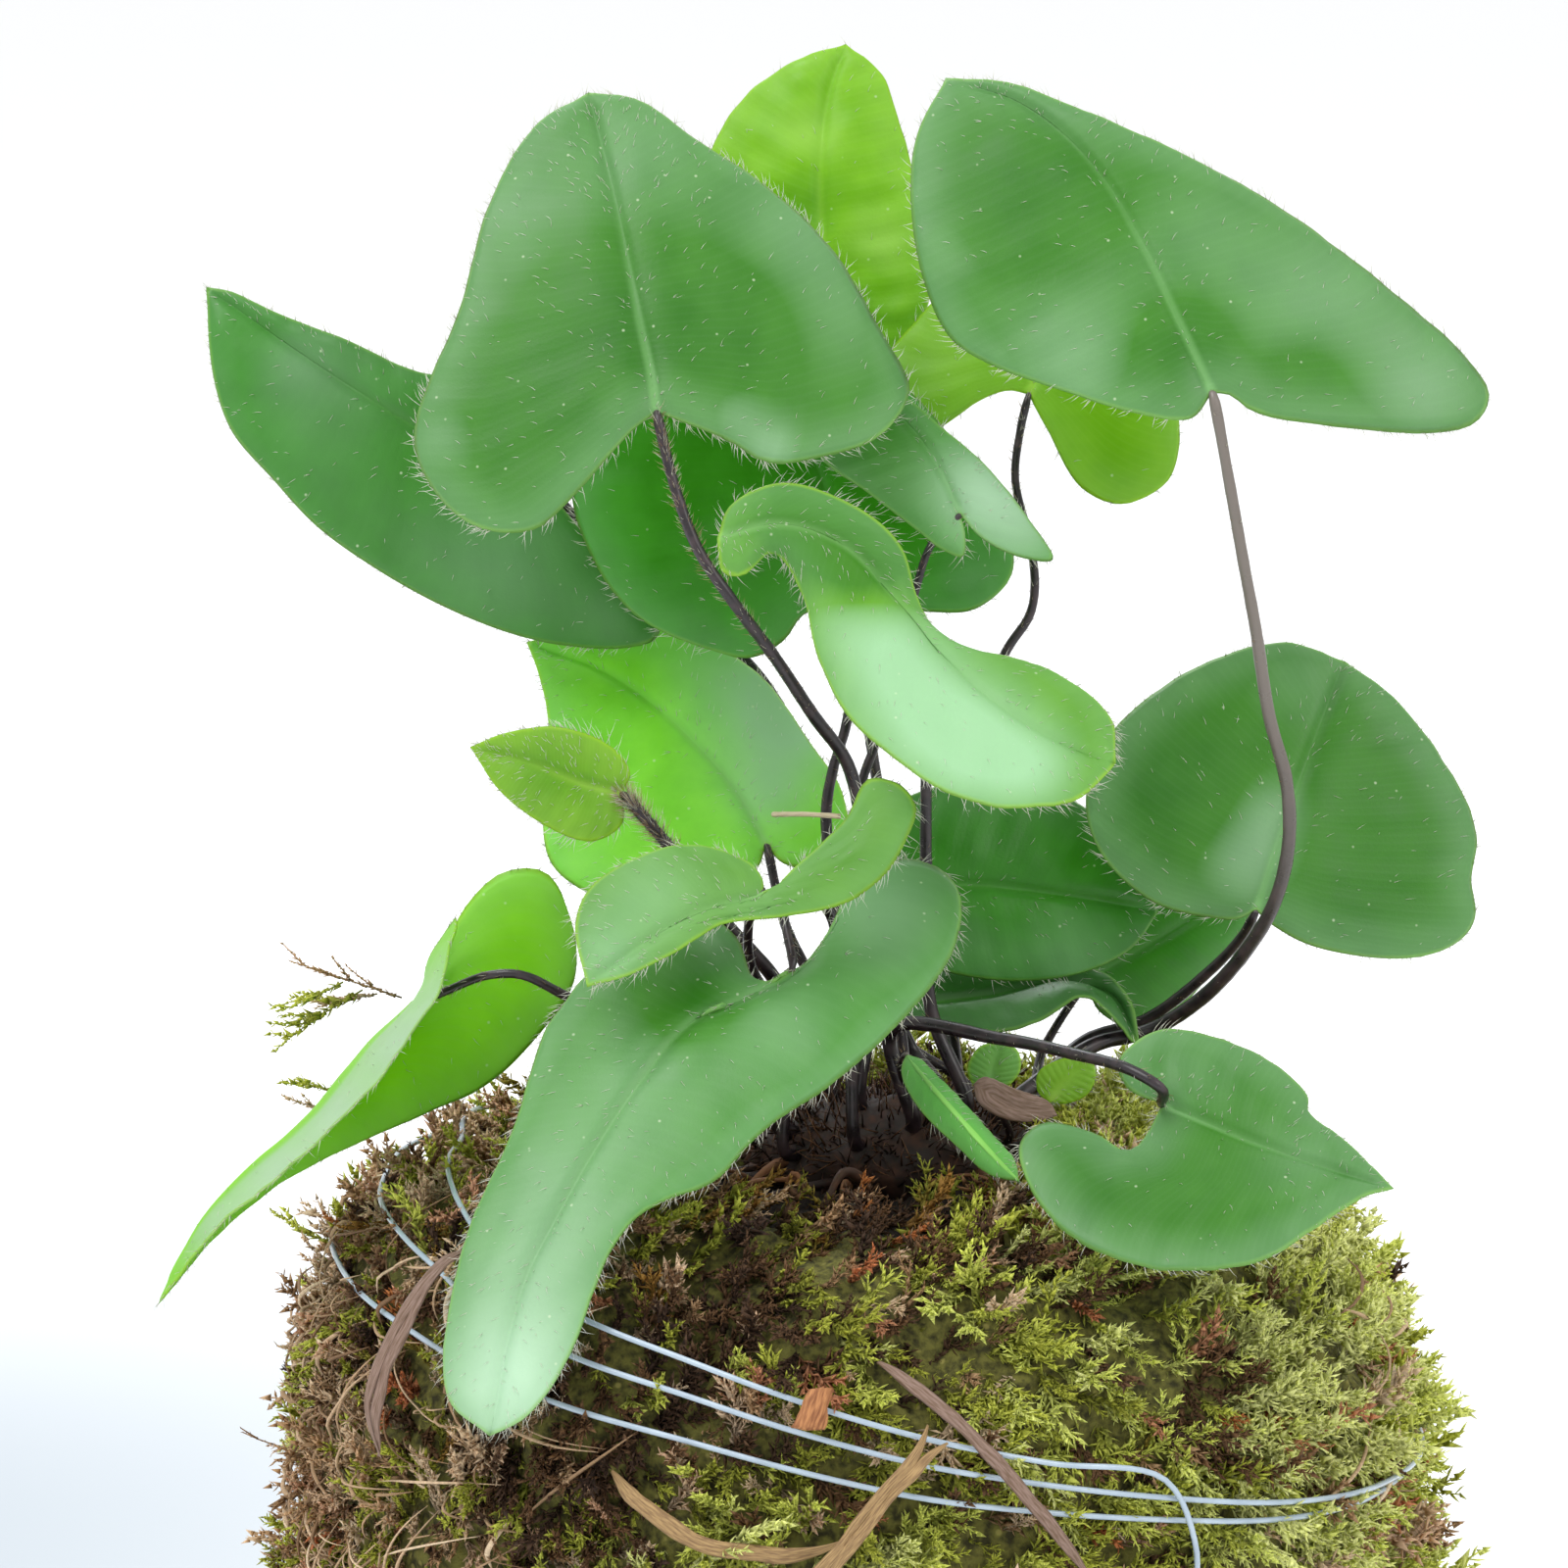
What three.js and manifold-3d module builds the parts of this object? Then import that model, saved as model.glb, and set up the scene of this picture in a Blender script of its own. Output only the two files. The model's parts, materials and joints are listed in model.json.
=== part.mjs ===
// Heart-leaf fern growing on a ball of moss, which a thin clear line binds round its roots.
// Millimetres, +Z up. The origin is the centre of the flat that the moss ball rests on.
// The fronds are drawn in perspective on a sight plane: [right, up, back], where right and up are
// read by an eye in front of the plant and a little above it, and back is the true depth along +Y.
import * as THREE from "three";
import { mergeVertices } from "three/addons/utils/BufferGeometryUtils.js";
import Module from "manifold-3d";

const wasm = await Module();
wasm.setup();

// ---------------------------------------------------------------- driving dimensions
const BALL_RADIUS = 56.5; // widest half-width of the moss ball
const BALL_CENTRE = 50; // height of its widest level
const BALL_RISE = 50; // from that level to the top
const BALL_DROP = 53; // from that level to the underside, before the flat cuts it
const BALL_POWER = 4.5; // 2 would be an ellipsoid; this gives the squat shape with full shoulders
const MOSS_THICKNESS = 7;
const OPENING = { x: 1, y: -10, halfWidth: 19, halfDepth: 22 };
const GAP = 0.35; // clearance between pieces that touch
const CROWN = { x: 4, y: -2, z: 97, rx: 15, ry: 11, rz: 7 };
const BLADE_THICKNESS = 0.5;
const LINE_RADIUS = 0.3;
const EYE = { x: -7.5, z: 135, distance: 800, pitch: THREE.MathUtils.degToRad(10) };

const ROWS = 10; // stations along each half of a blade, from the base to the tip
const COLUMNS = 4; // stations from the rib to the edge
const RIB_EASE = 1.3; // over 1, the rows start closer together along the rib near the base
const LOBE_SPREAD = 0.6; // how much a lobe's corner is sought beside the base rather than behind it
const LOBE_FADE = 2; // how fast the rows straighten from the lobe's curve towards the tip
const STIPE_SIDES = 6;
const STIPE_STEP = 4; // millimetres of stipe for each step of its tube

// ---------------------------------------------------------------- materials
const finish = (color, roughness) => new THREE.MeshStandardMaterial({ color, roughness, metalness: 0 });
const MATURE_LEAF = "#4f8f4a";
const DARK_LEAF = "#2f6f33";
const LIME_LEAF = "#7db928";
const PALE_LEAF = "#8fbf86";
const STIPE_BLACK = "#2a2228";
const MOSS_GREEN = "#7b8430";
const SOIL_BROWN = "#2b1d14";
const STRAW_TAN = "#9c7f55";

const plant = new THREE.Group();

/** Adds one named solid to the plant. */
function addPiece(name, geometry, color, roughness) {
  const mesh = new THREE.Mesh(geometry, finish(color, roughness));
  mesh.name = name;
  plant.add(mesh);
  return mesh;
}

// ---------------------------------------------------------------- geometry helpers
/** The point in space at depth `back` that the eye reads at [right, up]. */
function sight([right, up, back]) {
  const sin = Math.sin(EYE.pitch);
  const cos = Math.cos(EYE.pitch);
  const rise = up - EYE.z;
  const dz =
    (rise * (EYE.distance + back * cos) - back * sin * EYE.distance) /
    (cos * EYE.distance + rise * sin);
  const reach = (EYE.distance + back * cos - dz * sin) / EYE.distance;
  return new THREE.Vector3(EYE.x + (right - EYE.x) * reach, back, EYE.z + dz);
}

const smoothThrough = (points) => new THREE.CatmullRomCurve3(points, false, "centripetal");

/** A geometry with only positions and shared vertices, as a solid that can be joined or cut. */
function toSolid(geometry) {
  const bare = geometry.clone();
  bare.deleteAttribute("normal");
  bare.deleteAttribute("uv");
  const merged = mergeVertices(bare, 1e-4);
  return new wasm.Manifold(
    new wasm.Mesh({
      numProp: 3,
      vertProperties: new Float32Array(merged.attributes.position.array),
      triVerts: new Uint32Array(merged.index.array),
    }),
  );
}

function toGeometry(solid) {
  const mesh = solid.getMesh();
  const geometry = new THREE.BufferGeometry();
  geometry.setAttribute("position", new THREE.BufferAttribute(mesh.vertProperties, 3));
  geometry.setIndex(new THREE.BufferAttribute(mesh.triVerts, 1));
  return geometry;
}

/** A round tube that follows a smooth route through the points. */
function tube(points, radius, sides = STIPE_SIDES, stepLength = STIPE_STEP) {
  const route = smoothThrough(points);
  const section = new THREE.Shape();
  for (let i = 0; i < sides; i++) {
    const angle = (2 * Math.PI * i) / sides;
    const x = radius * Math.cos(angle);
    const y = radius * Math.sin(angle);
    if (i === 0) section.moveTo(x, y);
    else section.lineTo(x, y);
  }
  return new THREE.ExtrudeGeometry(section, {
    steps: Math.max(3, Math.ceil(route.getLength() / stepLength)),
    extrudePath: route,
    bevelEnabled: false,
  });
}

// ---------------------------------------------------------------- the moss ball and its soil
/** Half-width of the ball's outer surface at height z, less an inset all round. */
function ballRadiusAt(z, inset = 0) {
  const height = z - BALL_CENTRE;
  const half = (height > 0 ? BALL_RISE : BALL_DROP) - inset;
  const share = Math.min(1, Math.abs(height) / half);
  return (BALL_RADIUS - inset) * Math.pow(1 - share ** BALL_POWER, 1 / BALL_POWER);
}

/** Low swells of the moss: how far the surface stands out at this heading and height. */
function mossSwell(heading, z) {
  const broad = Math.sin(3 * heading + 0.6) * Math.cos(z * 0.05);
  const fine = Math.sin(7 * heading - z * 0.09) + 0.7 * Math.cos(11 * heading + z * 0.13);
  return 0.9 * broad + 0.5 * fine;
}

/** A point standing `lift` off the moss at a heading in degrees from the front towards +X. */
function onMoss(heading, z, lift) {
  const angle = THREE.MathUtils.degToRad(heading - 90);
  const radius = ballRadiusAt(z) + mossSwell(angle, z) + lift;
  return new THREE.Vector3(radius * Math.cos(angle), radius * Math.sin(angle), z);
}

/** The squat ball as a solid with a flat underside, its wall `inset` inside the moss surface. */
function ballSolid(inset, turns, levels, lumpy) {
  const bottom = inset;
  const top = BALL_CENTRE + BALL_RISE - inset;
  const profile = [new THREE.Vector2(0, bottom)];
  for (let i = 0; i < levels; i++) {
    const angle = (Math.PI * i) / levels;
    const z = bottom + ((top - bottom) * (1 - Math.cos(angle))) / 2;
    profile.push(new THREE.Vector2(ballRadiusAt(z, inset), z));
  }
  profile.push(new THREE.Vector2(0, top));
  const geometry = new THREE.LatheGeometry(profile, turns);
  geometry.rotateX(Math.PI / 2);
  const at = geometry.attributes.position;
  for (let i = 0; i < at.count && lumpy; i++) {
    const x = at.getX(i);
    const y = at.getY(i);
    const radius = Math.hypot(x, y);
    const rim = THREE.MathUtils.smoothstep(at.getZ(i), bottom, bottom + 12);
    const grow = radius > 1 ? 1 + (mossSwell(Math.atan2(y, x), at.getZ(i)) * rim) / radius : 1;
    at.setXY(i, x * grow, y * grow);
  }
  return toSolid(geometry);
}

function crownSolid(spare) {
  const geometry = new THREE.SphereGeometry(1, 16, 10);
  geometry.rotateX(Math.PI / 2);
  geometry.scale(CROWN.rx + spare, CROWN.ry + spare, CROWN.rz + spare);
  geometry.translate(CROWN.x, CROWN.y, CROWN.z);
  return toSolid(geometry);
}

function openingSolid() {
  const geometry = new THREE.CylinderGeometry(1, 1, 40, 20);
  geometry.rotateX(Math.PI / 2);
  geometry.scale(OPENING.halfWidth, OPENING.halfDepth, 1);
  geometry.translate(OPENING.x, OPENING.y, BALL_CENTRE + BALL_RISE);
  return toSolid(geometry);
}

const soil = ballSolid(MOSS_THICKNESS + GAP, 24, 12, false).subtract(crownSolid(GAP));
const jacket = ballSolid(0, 36, 18, true)
  .subtract(ballSolid(MOSS_THICKNESS, 24, 12, false))
  .subtract(openingSolid())
  .subtract(crownSolid(GAP));
addPiece("soil_ball", toGeometry(soil), SOIL_BROWN, 1.0);
addPiece("moss_jacket", toGeometry(jacket), MOSS_GREEN, 0.95);
addPiece("crown", toGeometry(crownSolid(0)), STIPE_BLACK, 0.9);

// ---------------------------------------------------------------- fronds
// Each frond: the blade's base, where its stipe joins it, as [right, up, back]; the rib from there to
// the tip; and the two halves of the outline from the base round the lobe to the tip. A point's third
// number, where it has one, is how far the blade is folded or curled back (+) or forward (-) there.
// lean and turn slope the blade back per millimetre up and to the right; arch and droop are its radii
// of curvature across the rib and along it. A blade whose lobe is rolled over has a heel, where its rib
// and outline start in place of the base. foot is where the stipe leaves the crown, as a heading from
// the front towards +X and a height angle, in degrees; stipe lists the points between.
const FRONDS = [
  {
    name: "upper_left", color: MATURE_LEAF, radius: 0.75,
    base: [-20.5, 172.9, -10], lean: 0.5, turn: 0.02, arch: 75, droop: 90,
    rib: [[-21.2, 177.5], [-22.3, 182.5], [-23.8, 190], [-25.3, 197]], tip: [-27.5, 205.7],
    left: [[-22.5, 171.6], [-25.2, 168.7], [-29.7, 163.7], [-33, 161], [-38.7, 161.2], [-43, 164.5],
      [-45.4, 170], [-43.5, 177], [-40.9, 183], [-37.6, 194.5], [-33, 202.3]],
    right: [[-17.8, 172], [-13.3, 170.2], [-9.1, 167.8], [-3.8, 168.4], [2.1, 170.4], [5.4, 175.2],
      [2.6, 181.2], [-2.8, 190.1], [-9.8, 196.6], [-16.8, 201.2], [-22.3, 205]],
    foot: [-30, 60],
    stipe: [[2.2, 118, -5], [0.6, 130, -6.5], [-1, 137, -8], [-4.5, 142, -11], [-8.5, 148, -13],
      [-13, 154, -14.5], [-16.3, 159, -14], [-18.7, 165.5, -12.5]],
  },
  {
    name: "upper_right", color: MATURE_LEAF, radius: 0.8,
    base: [36.2, 174.9, -12], lean: 0.42, turn: 0.08, arch: 70, droop: 120,
    rib: [[32, 184], [28.6, 191], [25.3, 196.5], [20.9, 201.6], [16, 205]], tip: [9, 207.2],
    left: [[34.1, 172.4], [28, 173], [20.9, 175.2], [13.2, 178], [9.3, 180.7], [6.6, 186.7],
      [5.4, 194.4], [5.9, 201]],
    right: [[38, 174.8], [40.6, 173], [48.3, 171.6], [58.7, 170.9], [63.1, 171.9], [64.6, 174.7],
      [61.5, 179.5], [56.5, 183.9], [51.1, 188.3], [41.7, 194.9], [31.9, 200.1], [22, 204.3], [15.2, 206.8]],
    foot: [68, 42],
    stipe: [[24.2, 108.4, 2.6], [29.7, 109.8, 3.6], [35.2, 113.2, 0], [39.8, 118.2, -4], [42.7, 123.3, -7],
      [44, 129, -8.5], [43.8, 135, -9], [42, 142, -10], [40.6, 151, -11], [39.5, 157, -12], [37.9, 166, -12.5]],
  },
  {
    name: "right", color: MATURE_LEAF, radius: 0.7,
    base: [40.7, 122.1, -1], lean: 0.3, turn: 0.12, arch: 80, droop: 70,
    rib: [[42.6, 128], [45, 134.8], [48.2, 143.6]], tip: [49.8, 147.6],
    left: [[38.7, 121.2], [36.5, 121.3], [30.6, 122.7], [25.5, 127], [23.4, 131.5], [23.8, 136.5],
      [27, 141.6], [34.5, 147], [43.5, 149.6]],
    right: [[42.4, 120.6], [46.7, 118.4], [55.9, 117.2], [61, 118.6], [63.1, 121], [62.8, 125.5],
      [63.3, 130], [61.4, 135], [55, 143.8]],
    foot: [98, 34],
    stipe: [[23, 108.7, 7.2], [29.5, 111, 8], [35.8, 115.8, 5], [39.2, 119.4, 1.5]],
  },
  {
    name: "back_top", color: LIME_LEAF, radius: 0.65,
    base: [-2.5, 180, 26], lean: 0.2, turn: 0, arch: 60, droop: 80,
    rib: [[-3.2, 186], [-3.8, 197], [-3, 205.5]], tip: [-1.2, 210.6],
    left: [[-4.5, 177.8], [-8.5, 177], [-13, 179.5], [-16, 186], [-16.5, 194], [-14.5, 200.9],
      [-11.5, 205.3], [-6.5, 208.9]],
    right: [[-0.5, 177.8], [2.5, 178], [5.4, 180.6], [7.4, 184.5], [7, 190], [5.5, 198.5],
      [4.2, 203], [2.4, 207.7]],
    foot: [178, 48],
    stipe: [[4, 112, 12], [3, 128, 19], [0, 148, 25], [-2, 166, 27]],
  },
  {
    name: "back_right", color: LIME_LEAF, radius: 0.6,
    base: [17.5, 174.8, 16], lean: 0.4, turn: 0, arch: 60, droop: 90,
    rib: [[20, 182], [22.5, 191]], tip: [24.5, 200],
    left: [[15.5, 175.2], [12.5, 174.2], [9, 171.8], [5, 169.5], [1, 171], [1, 176], [5.5, 182],
      [11.5, 188], [17.5, 194.5]],
    right: [[18.1, 173.5], [19.5, 171], [22.8, 165.3], [26.9, 163.6], [31.5, 165.7], [32.9, 169.3],
      [32.5, 176], [31.5, 183], [29.5, 192]],
    foot: [148, 40],
    stipe: [[9.5, 112, 9.5], [9.5, 128, 10.5], [11.5, 140, 9.5], [15.2, 148.6, 10], [17.6, 152.3, 10.5],
      [18.1, 155.5, 11], [17.5, 160, 12.5], [16.1, 166, 14], [16.6, 171, 15.5]],
  },
  {
    name: "far_left", color: DARK_LEAF, radius: 0.65,
    base: [-31.5, 165, 16], lean: 0.35, turn: 0.12, arch: 80, droop: 200,
    rib: [[-42.5, 170], [-54.5, 177.5]], tip: [-66.5, 185.8],
    left: [[-30.5, 168], [-28.5, 172], [-30.5, 176], [-36, 177.3], [-44.1, 177], [-52.1, 180.4],
      [-59.6, 183.3], [-64, 185.4]],
    right: [[-28.5, 161.5], [-23.5, 156.5], [-20, 152.5], [-20.5, 149.9], [-23.5, 148.9], [-29.7, 149.1],
      [-35.2, 150.3], [-41.6, 152.8], [-48.1, 156.3], [-55.1, 161.2], [-59.6, 166], [-64, 171.2],
      [-65.9, 177.2]],
    foot: [-150, 34],
    stipe: [[-1, 110, 8], [-1.5, 122, 12], [-5.5, 138, 18.5], [-10.8, 147, 20.5], [-17, 152, 20.5],
      [-25, 158.5, 19.5]],
  },
  {
    name: "middle", color: DARK_LEAF, radius: 0.65,
    base: [-0.7, 155, 6], lean: 0.3, turn: 0, arch: 80, droop: 100,
    rib: [[-2.5, 162], [-6, 172]], tip: [-11, 183],
    left: [[-2.5, 153.6], [-5.6, 152.2], [-7.5, 149.7], [-10.8, 147.9], [-14.8, 148.6], [-22.2, 151.8],
      [-26.2, 156.3], [-29.2, 163.7], [-29, 171], [-24.5, 178], [-17.5, 182]],
    right: [[2.5, 153.3], [7, 152.6], [12.1, 152.9], [15.8, 156.4], [15.5, 161], [11.5, 168],
      [4.5, 176], [-3.5, 181.5]],
    foot: [-100, 64],
    stipe: [[-2, 118, -0.5], [-3.2, 132, -0.5], [-2.5, 136.5, 0.2], [-1.1, 141.3, 1.5], [-0.5, 149, 4.5]],
  },
  {
    name: "curled", color: PALE_LEAF, radius: 0.7,
    base: [6, 152.6, -11], lean: 0.9, turn: 0.05, arch: 400, droop: 400, heel: [-14.3, 160.2, -9],
    rib: [[-8, 161.6, -9], [-1.5, 159.6, -6.5], [3, 155.2, -2.5], [8.5, 148.6], [15, 142.8], [21, 139.2]],
    tip: [26.4, 137.2],
    left: [[-13.7, 156.6, -7], [-11.6, 156.3, -6.5], [-8.7, 158.6, -6.5], [-5.8, 154.4, -2.5],
      [-4.2, 148.1], [-1.2, 142.2], [3.8, 137.7], [9.3, 134.2], [16.2, 132.7], [22.7, 133.7]],
    right: [[-13, 163.5, -10.5], [-7.7, 165.8, -11.5], [-0.2, 163.4, -9], [4.3, 159.6, -5.5],
      [6.2, 154.1, -0.6], [7.5, 151.6, 0.5], [10.7, 149.3, 1.5], [17.7, 147.6, 3], [22.7, 145.1, 3],
      [26, 141.8, 2]],
    foot: [45, 50],
    stipe: [[7.5, 112, -5], [7, 125, -5], [7, 138, -6.5], [6.9, 147, -8]],
  },
  {
    name: "arrow", color: MATURE_LEAF, radius: 0.55,
    base: [10.5, 162.5, -2], lean: 0.2, turn: 0, arch: 50, droop: 100,
    rib: [[9, 166], [6, 171]], tip: [0.5, 176],
    left: [[11, 160.5], [10.8, 158.2], [8.6, 158.9], [6, 160.9], [1, 164.7], [-4, 168.6], [-4, 172.5]],
    right: [[12.5, 160.2], [16, 158.3], [20, 157.9], [17.6, 162], [13.2, 167.5], [8.8, 171.3], [4.5, 174.8]],
    foot: [15, 76],
    stipe: [[3.6, 116, -3], [1.6, 128, -2.5], [0.4, 134.5, -3.2], [1.8, 139, -2], [4, 146, -0.5],
      [6, 155, 0.6], [7.5, 159.4, 0.6]],
  },
  {
    name: "matte_left", color: PALE_LEAF, radius: 0.65,
    base: [-9.3, 128.8, 4], lean: 0.68, turn: 0, arch: 90, droop: 200,
    rib: [[-12.5, 134.5], [-18.5, 141], [-25, 146]], tip: [-33.8, 149.6],
    left: [[-10.5, 126], [-13.5, 123.5], [-19.5, 122.5], [-26.5, 123.5], [-31.3, 127], [-32.2, 133],
      [-31.5, 138], [-31.8, 143], [-32.8, 147]],
    right: [[-7.5, 127], [-3.5, 126.5], [-1, 129], [-1.6, 134.5], [-4.7, 139.2], [-9.7, 146.1],
      [-15.5, 149.7], [-21.5, 151.3], [-27.5, 151.2]],
    foot: [-112, 40],
    stipe: [[-4, 112, 2], [-7.5, 121, 2.5]],
  },
  {
    name: "young_fuzzy", color: LIME_LEAF, radius: 0.8,
    base: [-24, 134, -16], lean: 0.15, turn: 0, arch: -18, droop: 80,
    rib: [[-28, 135], [-33, 137]], tip: [-39.6, 138.8],
    left: [[-23.2, 136], [-24.3, 138], [-27, 139.8], [-31.1, 140.8], [-36, 140.2]],
    right: [[-24, 131], [-27.1, 129.2], [-31.6, 130.7], [-36.5, 134.3]],
    foot: [-62, 30],
    stipe: [[-7, 112, -7], [-14, 121.5, -13.5], [-19, 128.3, -16.5], [-21.6, 131.4, -17]],
  },
  {
    name: "twisted", color: PALE_LEAF, radius: 0.6,
    base: [-9.6, 123.6, -29], lean: 0.2, turn: 0.25, arch: 400, droop: 400,
    rib: [[-14.5, 122.6], [-19.5, 120.3], [-23.5, 117.7]], tip: [-27.6, 114.4],
    left: [[-9.6, 125.4, 1.5], [-10.8, 127, 2.5], [-13.7, 128.3, 3.5], [-17.6, 129, 4], [-23.6, 127.2, 4],
      [-27.5, 124.3, 3], [-28.8, 120.5, 1.5]],
    right: [[-4.7, 128.2, 0.5], [-1.2, 131.7, 1], [1, 135.6, 1.5], [4.3, 134.9], [6, 132.7, -1],
      [4.9, 129.2, -2], [2.8, 125.8, -2.5], [-1.2, 122.9, -2.5], [-7.7, 121.5, -1.5], [-13.7, 120.8, -1],
      [-18.6, 117.9, -1], [-23.6, 115.4, -0.5]],
    foot: [-48, 12],
    stipe: [[-7, 108.5, -9], [-11, 117, -13.5], [-10.4, 124, -22]],
  },
  {
    name: "front", color: MATURE_LEAF, radius: 0.65,
    base: [-6.7, 116.1, -26], lean: 0.95, turn: 0, arch: 110, droop: 104,
    rib: [[-11, 113.5], [-17.4, 110.5], [-23, 103.7], [-28.6, 94.7], [-34.2, 84.1]], tip: [-37.6, 68.6],
    left: [[-8.5, 115], [-10.6, 115.5], [-12.3, 119.5], [-16, 122], [-21.5, 121], [-27, 116.5],
      [-29.7, 113.3], [-32, 109.9], [-35.3, 99.8], [-39.8, 89.7], [-42.4, 76.8], [-41.6, 71.8]],
    right: [[-5, 117.2], [-2.2, 121.7], [-0.5, 125.6], [5.1, 127.7], [9.6, 125.6], [10.7, 122.8],
      [9.6, 117.7], [5.1, 111.6], [-2.2, 104.8], [-9.5, 99.8], [-14.6, 94.7], [-21.9, 91.4],
      [-25.2, 87.4], [-26.9, 83.5], [-29.7, 76.2], [-33.7, 70.6]],
    foot: [-18, 26],
    stipe: [[-1, 112, -11], [-3.2, 122.4, -13.5], [-7.4, 122.6, -20]],
  },
  {
    name: "left_folded", color: LIME_LEAF, radius: 0.6,
    base: [-44, 113.2, -9], lean: 0, turn: 0, arch: 400, droop: 400,
    rib: [[-50, 107.5, -1.5], [-56, 100.8, -2.5], [-62, 95, -3], [-67, 89.2, -4]], tip: [-71.2, 81.7, -5],
    left: [[-43.6, 116.5, -1], [-40.8, 121.3, -3], [-41.4, 117.5, -7], [-42.6, 113.4, -10],
      [-45.4, 109.3, -12], [-48.8, 104.3, -13], [-52.2, 100.9, -13], [-58.9, 94.7, -11],
      [-65, 89.6, -8]],
    right: [[-42, 118, 4], [-40, 122.5, 6], [-36.2, 126, 7], [-31.8, 126, 7], [-29, 121, 7], [-28.8, 115, 6],
      [-32, 109.9, 5.5], [-37.6, 104.3, 5], [-43.2, 101.6, 4.5], [-51.1, 98.1, 3], [-58.9, 94, 1],
      [-65.1, 88.9, -2]],
    foot: [-84, 14],
    stipe: [[-14, 104.5, -6], [-20, 108.5, -10], [-30, 113.5, -14], [-34.2, 115.5, -14.5],
      [-37.6, 115.5, -14]],
  },
  {
    name: "right_low", color: DARK_LEAF, radius: 0.6,
    base: [3, 124.5, 3], lean: 0.35, turn: 0.1, arch: 60, droop: 150,
    rib: [[12.5, 124.7], [21.5, 123.6]], tip: [30.8, 122],
    left: [[1, 128], [2.5, 132], [8.5, 135], [16.5, 135.6], [23.5, 132.6], [28, 127.5]],
    right: [[1.5, 120], [4.5, 116.8], [8.1, 116], [13.6, 115], [19.2, 115], [24.2, 116.1], [28.2, 118.4]],
    foot: [62, 72],
    stipe: [[5.6, 108, -0.5], [3.2, 114, -2.5], [1.6, 120, -2]],
  },
  {
    name: "right_back", color: DARK_LEAF, radius: 0.55,
    base: [23.5, 115, 12], lean: 0.3, turn: 0, arch: 60, droop: 100,
    rib: [[30.5, 119]], tip: [41, 125.5],
    left: [[22, 117.5], [23.5, 122], [28.5, 125.5], [34.5, 127.4]],
    right: [[24.5, 112], [28.8, 109.9], [32.5, 111.8], [35.4, 114.7], [38.2, 118], [40.2, 121.8]],
    foot: [112, 22],
    stipe: [[19, 108, 9.5]],
  },
  {
    name: "narrow_right", color: DARK_LEAF, radius: 0.55,
    base: [5, 112.6, 3], lean: 0.6, turn: 0, arch: 400, droop: 400,
    rib: [[13.5, 113.6, 1], [21, 115, 1.5], [25.8, 113.6, 1]], tip: [28.6, 108.7],
    left: [[4.5, 114.5, 1], [8.5, 116.3, 1.5], [14.5, 116.6, 2], [21, 116.7, 2], [25.2, 115.9, 1.5],
      [27.8, 113]],
    right: [[5, 111], [8.5, 110.2, -1], [15.9, 110, -2], [19.2, 111.4, -2.5], [22.4, 113.3, -3],
      [24, 113.3, -3], [26, 111.4, -2.5]],
    foot: [85, 62],
    stipe: [[4.4, 109.4, 3.4]],
  },
  {
    name: "lower_right", color: MATURE_LEAF, radius: 0.75,
    base: [31, 102.3, -34], lean: 1.05, turn: 0, arch: 160, droop: 400,
    rib: [[38.5, 99.3], [46.5, 96.5]], tip: [54.8, 93.9],
    left: [[27.6, 104, -1], [26.6, 106.8, -2.2], [30.6, 110, -3.8], [36.6, 109.3, -3.5], [42.6, 106.6, -2.2],
      [46.2, 103, -0.8], [46.2, 101.6], [49, 99.4], [51.8, 97]],
    right: [[29.2, 99], [27.4, 97.7], [24.2, 99.6], [18.8, 100.7], [16.5, 98.4], [17.8, 93.6],
      [21.5, 89.2], [28.3, 86.1], [35.2, 85.5], [42.1, 86.9], [49, 91.4], [52.3, 93.2]],
    foot: [8, 42],
    stipe: [[3.4, 109.9, -12], [14.6, 109, -21], [21.5, 107.6, -29], [27.9, 105.8, -36.5], [31, 103.9, -38]],
  },
  {
    name: "thin_folded", color: LIME_LEAF, radius: 0.5,
    base: [4.9, 107.5, -20], lean: 0.9, turn: 0, arch: 400, droop: 400,
    rib: [[8.2, 103.6, -1.5], [12.4, 98.8, -2]], tip: [16.6, 94.4],
    left: [[4.4, 105.5, 0.5], [6, 102.2, 0.5], [10, 98, 0.5], [13.6, 95, 0.5]],
    right: [[6.4, 107, 0.5], [9.6, 104, 0.5], [13.6, 99.6, 0.5], [16.2, 96.6, 0.3]],
    foot: [28, 18],
    stipe: [[4.6, 105, -16.5]],
  },
  {
    name: "young_pale", color: PALE_LEAF, radius: 0.45,
    base: [13.4, 103.6, -15], lean: 0.2, turn: 0, arch: 12, droop: 30,
    rib: [[13.8, 106]], tip: [14.6, 108.8],
    left: [[12, 104], [11.2, 106], [12.4, 108.2]],
    right: [[15, 103.9], [16.6, 105.6], [16.4, 107.8]],
    foot: [52, 22],
    stipe: [],
  },
  {
    name: "young_lime", color: LIME_LEAF, radius: 0.45,
    base: [19.6, 102.4, -11], lean: 0.2, turn: 0, arch: 12, droop: 30,
    rib: [[21, 104.4]], tip: [24, 107.2],
    left: [[18.4, 103.6], [18.4, 105.6], [20.8, 107]],
    right: [[21.6, 102.4], [23.6, 103.4], [24.4, 105.4]],
    foot: [60, 16],
    stipe: [],
  },
];

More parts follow.
